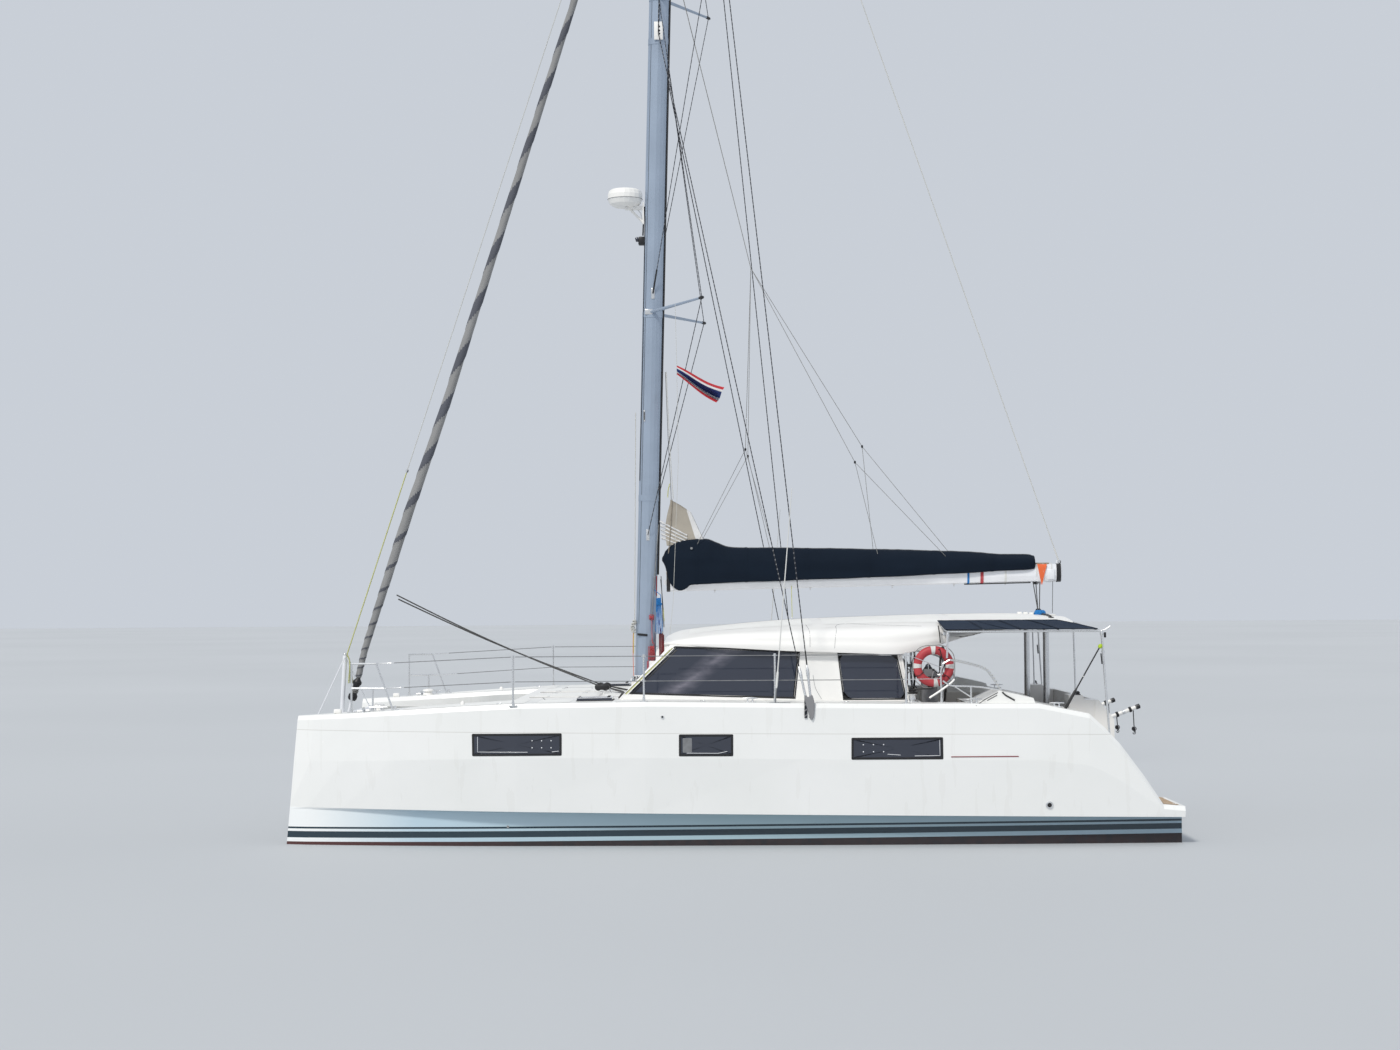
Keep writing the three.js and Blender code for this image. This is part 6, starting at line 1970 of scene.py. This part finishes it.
def make_aft_roof():
    """The sheet's track and car on the roof, its organiser, blue cover and webbing strap."""
    roof = tree_of(hardtop_shell)
    shape = Shape()
    path = [from_above(roof, -4.530, -1.25 + 2.5 * k / 20, 0.012) for k in range(21)]
    shape.tube(path, 0.016, 6)
    for k in range(0, 21, 4):
        shape.block(path[k] - Vector((0, 0, 0.008)), (0.07, 0.05, 0.016), 0.004)
    shape.paint = 1
    car = from_above(roof, -4.530, 0.0, 0.024)
    shape.block(car, (0.10, 0.16, 0.030), 0.010)
    for k in range(3):
        shape.paint = 2
        at = from_above(roof, -4.21 - 0.085 * k, 0.32, 0.012)
        shape.block(at, (0.060, 0.10, 0.036), 0.008)
        shape.paint = 1
        shape.turned([(0.013, 0), (0.012, 0.008)], at + Vector((0, 0, 0.018)), (0, 0, 1), 12)
    shape.paint = 3
    strap = [from_above(roof, -4.58 - 0.035 * k, 0.32 + 0.015 * k, 0.010) for k in range(5)]
    shape.tube(strap, 0.010, 6)
    put(shape, "sheet_track", "boat", ["black", "steel", "gelcoat", "band"], "steel")
    centre = from_above(roof, -4.505, 0.32)
    rows = []
    for i in range(15):
        share = i / 14
        row = []
        for k in range(29):
            turn = 2 * math.pi * k / 28
            fold = 0.006 * share * math.sin(5 * turn)
            radius = 0.080 * math.sin(min(1.0, share * 1.35) * math.pi / 2) + fold + 0.004 * share
            high = 0.066 * (1 - smooth_step((share - 0.30) / 0.70)) + 0.004
            row.append(centre + Vector((radius * math.cos(turn), 0.85 * radius * math.sin(turn), high)))
        rows.append(row)
    cover = Shape().rings(rows, open_ring=True)
    piece = put(cover, "winch_cover", "boat", ["blue_rope"], "canvas", angle=180, outward=False)
    line = Shape()
    top, low = Vector((-0.920, 0.10, 3.44)), from_above(roof, -0.922, 0.30)
    line.tube(straight(top, low, 8), 0.005, 6)
    line.paint = 1
    line.turned([(0.016, 0), (0.014, 0.02), (0.008, 0.03)], low, (0, 0, 1), 12)
    vang = put(line, "boom_line", None, ["yellow_green", "steel"], "wire")
    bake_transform(vang)


def make_deck(roof):
    make_rail_details()
    make_deck_pads(roof)
    make_lids()
    make_foredeck()
    make_front_trim()
    make_lifebuoy()
    make_aft_roof()


# Cockpit and stern

WHEEL = {"x": -2.890, "y": 2.420, "z": 2.200, "radius": 0.380, "rim": 0.016, "spokes": 6}


def make_wheels():
    """Helm wheels: a stitched rim on polished spokes that dish into the hub."""
    def build():
        shape = Shape()
        centre = Vector((WHEEL["x"], WHEEL["y"], WHEEL["z"]))
        radius, rim_radius = WHEEL["radius"], WHEEL["rim"]

        def around(turn, out, ahead=0.0):
            return centre + Vector((ahead, out * math.sin(turn), out * math.cos(turn)))

        path = [around(2 * math.pi * i / 72, radius) for i in range(72)]
        shape.tube(path, rim_radius, 12, closed=True)
        shape.paint = 2
        inner = [around(2 * math.pi * i / 144, radius - rim_radius - 0.0005, 0.0015 * (-1) ** i)
                 for i in range(144)]
        shape.tube(inner, 0.0016, 4, closed=True)
        shape.paint = 1
        for i in range(WHEEL["spokes"]):
            turn = 2 * math.pi * i / WHEEL["spokes"]
            shape.tube([around(turn, 0.03, 0.030), around(turn, 0.14, 0.018), around(turn, 0.28, 0.004),
                        around(turn, radius, 0)], 0.0075, 8)
        shape.turned([(0.042, -0.010), (0.046, 0.0), (0.040, 0.030), (0.030, 0.050), (0.026, 0.085)], centre,
                     (1, 0, 0), 28)
        shape.paint = 0
        shape.turned([(0.030, 0.010), (0.028, 0.018), (0.015, 0.022)], centre, (-1, 0, 0), 24)
        return shape

    put_both(build, "helm", "wheel_{}", ["black", "steel", "band"], "black", ["helm_wheel_{}"], angle=50)


def make_pedestals():
    """Instruments, compass and engine lever on each pedestal."""
    def build():
        shape = Shape()
        slope = Vector((-0.060, 0, -0.060)).normalized()
        out = Vector((-0.060, 0, 0.060)).normalized()
        middle = Vector((-2.770, 2.420, 2.260))
        turn = Matrix((slope, Vector((0, 1, 0)), out)).transposed()
        shape.block(middle + out * 0.004, (0.078, 0.27, 0.016), 0.006, turn)
        shape.paint = 1
        shape.block(middle + out * 0.013, (0.062, 0.120, 0.004), 0.0015, turn)
        for y in (-0.100, 0.100):
            at = middle + Vector((0, y, 0)) + out * 0.012
            shape.paint = 2
            shape.turned([(0.030, 0), (0.030, 0.006), (0.025, 0.009)], at, out, 24)
            shape.paint = 1
            shape.turned([(0.025, 0.0085), (0.021, 0.010)], at, out, 24)
        top = Vector((-2.690, 2.420, 2.290))
        shape.paint = 0
        shape.turned([(0.055, -0.002), (0.055, 0.016), (0.044, 0.026)], top, (0, 0, 1), 28)
        shape.paint = 1
        shape.turned([(0.042, 0.022), (0.040, 0.040), (0.026, 0.058), (0.010, 0.066)], top, (0, 0, 1), 28)
        shape.paint = 2
        shape.tube([top + Vector((0, -0.060, 0.0)), top + Vector((0, -0.052, 0.060)),
                    top + Vector((0, 0, 0.082)),
                    top + Vector((0, 0.052, 0.060)), top + Vector((0, 0.060, 0.0))], 0.004, 8)
        # Engine lever on the outboard face
        shape.paint = 0
        shape.block((-2.720, 2.577, 2.120), (0.10, 0.020, 0.150), 0.006)
        shape.paint = 2
        shape.turned([(0.022, 0), (0.020, 0.022)], (-2.720, 2.586, 2.150), (0, 1, 0), 20)
        shape.tube([(-2.720, 2.605, 2.150), (-2.735, 2.612, 2.235), (-2.745, 2.612, 2.270)], 0.006, 8)
        shape.paint = 0
        shape.turned([(0.010, -0.014), (0.016, -0.008), (0.016, 0.008), (0.010, 0.014)],
                     (-2.747, 2.612, 2.282),
                     (0, 0, 1), 16)
        shape.paint = 3
        shape.block((-2.715, 2.420, 1.560), (0.20, 0.32, 0.014), 0.005)
        return shape

    put_both(build, "helm_instruments", "boat", ["black", "glass", "steel", "gelcoat"], "black")


def make_helm_area():
    """Winches with a handle, the low grab tube, seat seams, straps and rope tails round the helm."""
    hull = surface_of("hull_port")

    def build():
        shape = Shape()
        for x, y in ((-2.440, 2.860), (-2.440, 2.480)):
            at = from_above(hull, x, y)
            winch(shape, at, (0, 0, 1), 0.062, 0.150, 0, 1)
        at = from_above(hull, -2.440, 2.860)
        shape.paint = 1
        shape.tube([at + Vector((0, 0, 0.150)), at + Vector((-0.02, 0, 0.172)),
                    at + Vector((-0.26, 0.03, 0.176))],
                   0.009, 8)
        grip = [Vector((-2.455, 2.862, 2.045)) + Vector((0.045 * math.cos(t), 0, 0.026 * math.sin(t)))
                for t in full_turn(20)]
        shape.tube(grip, 0.0085, 8, closed=True)
        shape.turned([(0.016, -0.05), (0.019, -0.02), (0.019, 0.03), (0.014, 0.055)],
                     at + Vector((-0.26, 0.03, 0.225)), (0, 0, 1), 14)
        shape.paint = 0
        # Low tube along the helm, with its post and brace
        tube = [Vector(p) for p in ((-2.830, 3.012, 2.150), (-2.905, 3.020, 2.098), (-2.990, 3.020, 2.080),
                                    (-3.300, 3.020, 2.068), (-3.590, 3.010, 2.020))]
        shape.tube(spline(tube, 6), 0.0125, 10)
        post = from_above(hull, -3.200, 3.020)
        shape.tube([post, Vector((-3.198, 3.020, 2.074))], 0.0125, 10)
        foot_plate(shape, post)
        brace = [Vector((-2.975, 3.018, 2.080)), Vector((-3.210, 3.020, 1.925))]
        shape.tube(brace, 0.0095, 8)
        shape.paint = 2
        step = [Vector(p) for p in ((-2.650, 3.022, 1.925), (-2.790, 3.022, 2.015), (-2.930, 3.016, 2.115),
                                    (-2.985, 3.012, 2.170))]
        shape.tube(spline(step, 6), 0.0135, 10)
        # Cord wound on the rail's after end
        shape.paint = 4
        rail = spline([(-2.960, 3.010, 2.425), (-3.080, 3.010, 2.400), (-3.250, 3.010, 2.358),
                       (-3.400, 3.010, 2.300),
                       (-3.505, 3.010, 2.175), (-3.590, 3.010, 2.035)], 24)
        coil = []
        for i, p in enumerate(rail):
            ahead = (rail[min(i + 1, len(rail) - 1)] - rail[max(i - 1, 0)]).normalized()
            up = ahead.cross(Vector((0, 1, 0))).normalized()
            turn = i * 0.95
            coil.append(p + 0.0165 * (up * math.cos(turn) + Vector((0, 1, 0)) * math.sin(turn)))
        shape.tube(coil, 0.0042, 6)
        # Seams of the seat moulding and the black strap on it
        shape.paint = 1
        for seam in (((-3.540, 1.995), (-3.370, 1.905), (-3.225, 1.835)), ((-3.530, 1.960), (-3.400, 1.890))):
            shape.tube([from_port(hull, x, z, 0.0008) for x, z in seam], 0.0055, 6)
        strap = ((-3.600, 2.000), (-3.640, 1.960), (-3.700, 1.925), (-3.760, 1.893))
        shape.tube([from_port(hull, x, z, 0.004) for x, z in strap], 0.011, 6)
        return shape

    finishes = ["steel", "black", "gelcoat", "black_rope", "white_rope"]
    put_both(build, "helm_fittings", "boat", finishes, "steel")


# How much smaller a pad is before its filling swells it
PAD_GROWTH = 0.012


def pad_mesh(size):
    """A cushion before it is filled: a box with a grid fine enough to swell."""
    made = bmesh.new()
    bmesh.ops.create_cube(made, size=1)
    for vert in made.verts:
        vert.co = Vector(vert.co[k] * size[k] for k in range(3))
    cuts = [max(2, int(length / 0.022)) for length in size]
    for axis, count in enumerate(cuts):
        for k in range(1, count):
            at = Vector((0, 0, 0))
            at[axis] = size[axis] * (k / count - 0.5)
            normal = Vector((0, 0, 0))
            normal[axis] = 1
            geom = list(made.verts) + list(made.edges) + list(made.faces)
            bmesh.ops.bisect_plane(made, geom=geom, plane_co=at, plane_no=normal)
    mesh = bpy.data.meshes.new("pad")
    made.to_mesh(mesh)
    made.free()
    return mesh


def filled(size, pressure=4.0, cap=0.014):
    """The cushion after its filling has swollen it: the points and faces of the cloth at rest."""
    mesh = pad_mesh([length - PAD_GROWTH for length in size])
    piece = bpy.data.objects.new("pad", mesh)
    bpy.context.scene.collection.objects.link(piece)
    start = [v.co.copy() for v in mesh.vertices]
    cloth = piece.modifiers.new("cloth", "CLOTH")
    cloth.settings.use_pressure = True
    cloth.settings.uniform_pressure_force = pressure
    cloth.settings.effector_weights.gravity = 0
    cloth.settings.quality = 4
    for step in range(1, 17):
        bpy.context.scene.frame_set(step)
    depsgraph = bpy.context.evaluated_depsgraph_get()
    result = piece.evaluated_get(depsgraph).to_mesh()
    points = []
    for a, v in zip(start, result.vertices):
        move = v.co - a
        points.append(a + move * min(1.0, cap / max(move.length, 1e-6)))
    faces = [tuple(p.vertices) for p in result.polygons]
    bpy.data.objects.remove(piece)
    bpy.context.scene.frame_set(1)
    return points, faces


SEAT = {"x": (-4.950, -4.575), "half": 1.620, "z": (1.381, 1.480), "pads": 3}


def make_seat_cushions():
    """The stern seat's three pads with their piping."""
    wide = 2 * SEAT["half"] / SEAT["pads"] - 0.012
    size = (SEAT["x"][1] - SEAT["x"][0], wide, SEAT["z"][1] - SEAT["z"][0])
    points, faces = filled(size)
    shape = Shape()
    middle_x = sum(SEAT["x"]) / 2
    for k in range(SEAT["pads"]):
        centre = Vector((middle_x, (k - (SEAT["pads"] - 1) / 2) * (wide + 0.012), sum(SEAT["z"]) / 2))
        shape.paint = 0
        shape.add([centre + Vector((p.x, p.y, max(p.z, 0.002 - size[2] / 2))) for p in points], faces)
        shape.paint = 1
        for z in (0.42, -0.40):
            corners = [Vector((sx * (size[0] / 2 - 0.004), sy * (size[1] / 2 - 0.004))) for sx, sy in
                       ((-1, -1), (1, -1), (1, 1), (-1, 1))]
            path = [centre + Vector((p.x, p.y, z * size[2])) for p in rounded(corners, 0.04, 4)]
            shape.tube(path, 0.0045, 6, closed=True)
    piece = put(shape, "seat_pads", "boat", ["cushion", "canvas"], "cushion", ["cockpit_cushion"], angle=60)


def make_teak():
    """Teak on the cockpit floor, the footwells, the stern steps and the bathing platforms."""
    hull = surface_of("hull_port")

    def build():
        shape = Shape()
        deck_pad(shape, hull, (-5.475, -5.900), lambda x: (2.010, 3.190), 0.003, 0.06, 0.10)
        for fore, aft, y0, y1 in ((-4.785, -5.055, 2.180, 2.925), (-5.105, -5.375, 2.180, 2.925)):
            deck_pad(shape, hull, (fore, aft), lambda x, y0=y0, y1=y1: (y0, y1), 0.003, 0.04, 0.08)
        deck_pad(shape, hull, (-2.830, -3.110), lambda x: (1.840, 2.930), 0.003, 0.04, 0.09)
        return shape

    put_both(build, "teak_treads", "boat", ["teak"], "teak")
    floor = Shape()
    outline = rounded([Vector(p) for p in ((-1.30, -1.62), (-1.30, 1.62), (-4.50, 1.62), (-4.50, -1.62))],
                      0.10, 5)
    floor.slab(outline, 0.004, at_height(0.949), 0.001)
    for x in (-3.10, -2.60):
        floor.turned([(0.133, 0.003), (0.133, 0.006)], (x, 0, 0.949), (0, 0, 1), 28)
    put(floor, "cockpit_floor", "boat", ["teak"], "teak")
    trim = Shape()
    corners = [Vector(p) for p in ((-3.350, -0.420), (-3.350, 0.420), (-2.350, 0.420), (-2.350, -0.420))]
    rim(trim, widened(rounded(corners, 0.010, 2), 0.001), 0.022, 0.004, at_height(1.674))
    trim.paint = 1
    trim.tube([Vector((x, 0, 1.677)) for x in (-3.33, -2.37)], 0.003, 6)
    for x in (-3.10, -2.60):
        trim.turned([(0.075, 0), (0.075, 0.008), (0.050, 0.020), (0.044, 0.030)],
                    (x, 0, 1.612), (0, 0, 1), 24)
    put(trim, "table_trim", "boat", ["teak", "steel"], "teak")


def make_doorway():
    """The sliding door's frame, seals and pull, and the trim of the fixed pane beside it."""
    low, high = (Vector(p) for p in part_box("saloon_door"))
    shape = Shape()
    face = low.x - 0.001
    outline = rounded([Vector(p)
                       for p in ((low.y, low.z), (high.y, low.z), (high.y, high.z), (low.y, high.z))],
                      0.02, 3)
    rim(shape, outline, 0.072, 0.004, lambda u, v, w: Vector((face - w, u, v)))
    shape.paint = 1
    inner = widened(outline, -0.078)
    shape.tube([Vector((low.x + 0.006, p.x, p.y)) for p in inner], 0.006, 6, closed=True)
    shape.paint = 2
    y = high.y - 0.045
    shape.tube([(low.x - 0.004, y, 1.62), (low.x - 0.030, y, 1.66), (low.x - 0.030, y, 1.94),
                (low.x - 0.004, y, 1.98)], 0.008, 8)
    put(shape, "door_frame", "door", ["gelcoat", "black", "steel"], "gelcoat")
    trim = Shape()
    outline = rounded([Vector(p)
                       for p in ((-1.560, 1.250), (-0.160, 1.250), (-0.160, 2.440), (-1.560, 2.440))],
                      0.02, 3)
    trim.paint = 1
    for x in (-1.2255, -1.1745):
        trim.tube([Vector((x, p.x, p.y)) for p in outline], 0.008, 6, closed=True)
    put(trim, "bulkhead_seals", "boat", ["gelcoat", "black"], "gelcoat")


DAVIT = {"root": (-5.150, 1.000, 1.462), "tip": (-5.800, 1.000, 1.705), "radius": 0.028}


def make_davit_details():
    """Foot plates, sleeves, straps, caps and tackles of the davit arms."""
    def build():
        shape = Shape()
        root, tip = Vector(DAVIT["root"]), Vector(DAVIT["tip"])
        along = (tip - root).normalized()
        radius = DAVIT["radius"]
        for share, long in ((0.30, 0.05), (0.62, 0.04), (0.92, 0.04)):
            at = root.lerp(tip, share)
            shape.turned([(radius, 0), (radius + 0.005, 0.004), (radius + 0.005, long),
                          (radius, long + 0.004)], at,
                         along, 24)
        shape.turned([(0.075, 0.0), (0.072, 0.010), (radius + 0.006, 0.020), (radius + 0.002, 0.050)],
                     root.lerp(tip, 0.125), along, 24)
        shape.paint = 1
        shape.turned([(radius + 0.003, -0.060), (radius + 0.006, -0.045),
                      (radius + 0.006, 0.0), (0.012, 0.008)], tip,
                     along, 24)
        for share in (0.50, 0.78):
            at = root.lerp(tip, share)
            side = Vector((0, 1, 0))
            up = along.cross(side).normalized()
            ring = circle(at, side, up, radius + 0.003)
            for step in (0, 0.018):
                shape.tube([p + along * step for p in ring], 0.010, 6, closed=True)
        for share, drop in ((0.50, 0.15), (0.86, 0.26)):
            at = root.lerp(tip, share) - Vector((0, 0, radius))
            low = at - Vector((0.01, 0, drop))
            for y in (-0.012, 0.012):
                shape.tube([at + Vector((0, y, 0)), low + Vector((0, y, 0.03))], 0.005, 6)
            tackle(shape, low, (0, 0, 1), 0.030, 0.034, 1, 0)
            shape.paint = 1
            hook = [low + Vector((0.020 * math.cos(t), 0, -0.050 - 0.024 * math.sin(t)))
                    for t in [0.2 + 4.4 * k / 12 for k in range(13)]]
            shape.tube(hook, 0.005, 6)
        return shape

    put_both(build, "davit_fittings", "boat", ["steel", "black"], "steel")


def make_stern_details():
    """Fittings of the canopy posts, the boat hook, stern cleats, lamps and the ladder's treads."""
    def build():
        shape = Shape()
        corner = Vector((-4.940, 2.980, 2.797))
        foot = Vector((-5.035, 3.020, 1.200))
        down = (foot - corner).normalized()
        shape.turned([(0.016, -0.012), (0.021, -0.004), (0.021, 0.050), (0.016, 0.056)], corner, down, 16)
        shape.turned([(0.017, 0), (0.021, 0.004), (0.021, 0.030), (0.017, 0.034)],
                     corner + down * 0.26, down, 16)
        shape.tube([corner, corner + Vector((-0.055, 0.0, 0.020)), corner + Vector((-0.115, 0.0, 0.062))],
                   0.011, 8)
        for u, v in ((-2.905, 2.980), (-2.900, 2.560)):
            shape.turned([(0.015, 0), (0.021, 0.003), (0.021, 0.045), (0.015, 0.05)],
                         (u, v, 2.775 if v > 2.9 else 2.79), (0, 0, -1), 14)
        shape.paint = 1
        shape.block(corner + Vector((-0.045, 0, -0.055)), (0.030, 0.022, 0.070), 0.006)
        shape.tube([corner + down * 0.30 + Vector((0.030, 0, 0)),
                    corner + down * 0.44 + Vector((0.026, 0, 0))],
                   0.009, 8)
        # Roller on the seat's end
        shape.block((-4.760, 2.080, 1.918), (0.07, 0.05, 0.014), 0.004)
        shape.turned([(0.024, -0.025), (0.026, 0), (0.024, 0.025)], (-4.760, 2.080, 1.940), (0, 1, 0), 18)
        shape.paint = 0
        shape.turned([(0.026, 0), (0.026, 0.004), (0.016, 0.020)], (-4.740, 2.020, 1.912), (0, 0, 1), 16)
        shape.paint = 2
        at = Vector((-5.20, 1.90, 1.50))
        shape.turned([(0.036, 0), (0.036, 0.008), (0.024, 0.014)], at, (-1, 0, 0.1), 20)
        return shape

    put_both(build, "stern_fittings", "boat", ["steel", "black", "gelcoat"], "steel")
    pole = Shape()
    top, low = Vector((-4.917, 3.000, 2.593)), Vector((-4.420, 3.030, 1.735))
    pole.tube([top, top.lerp(low, 0.66)], 0.0095, 8)
    pole.tube([top.lerp(low, 0.64), top.lerp(low, 0.70), low], [0.010, 0.020, 0.020], 10)
    pole.paint = 1
    pole.turned([(0.012, -0.03), (0.026, -0.018), (0.028, 0.010), (0.014, 0.030)], top, top - low, 18)
    pole.paint = 2
    pole.turned([(0.012, 0), (0.013, 0.006), (0.012, 0.012)], top.lerp(low, 0.47), top - low, 14)
    put(pole, "boat_hook", "boat", ["black", "lime", "band"], "black")
    low, high = (Vector(p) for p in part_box("ladder"))
    treads = Shape()
    z = (low.z + high.z) / 2
    for i in range(4):
        x = -5.988 + i * 0.480 / 3
        treads.block((x, (low.y + high.y) / 2, z), (0.046, high.y - low.y - 0.050, 0.036), 0.010)
    put(treads, "ladder_treads", "ladder", ["black"], "black")


def make_cockpit():
    make_wheels()
    make_pedestals()
    make_helm_area()
    make_seat_cushions()
    make_teak()
    make_doorway()
    make_davit_details()
    make_stern_details()


make_camera()
MATERIALS = make_materials()
make_cords()
make_stage()
dress_nodes()
hardtop_shell = make_roof()
make_seams(hardtop_shell)
make_window_trim()
make_hull_windows()
make_skin_fittings()
make_sail_bag()
place_sail_head()
make_furled_jib()
make_canopies(hardtop_shell)
make_netting()
make_rig()
make_deck(hardtop_shell)
make_cockpit()
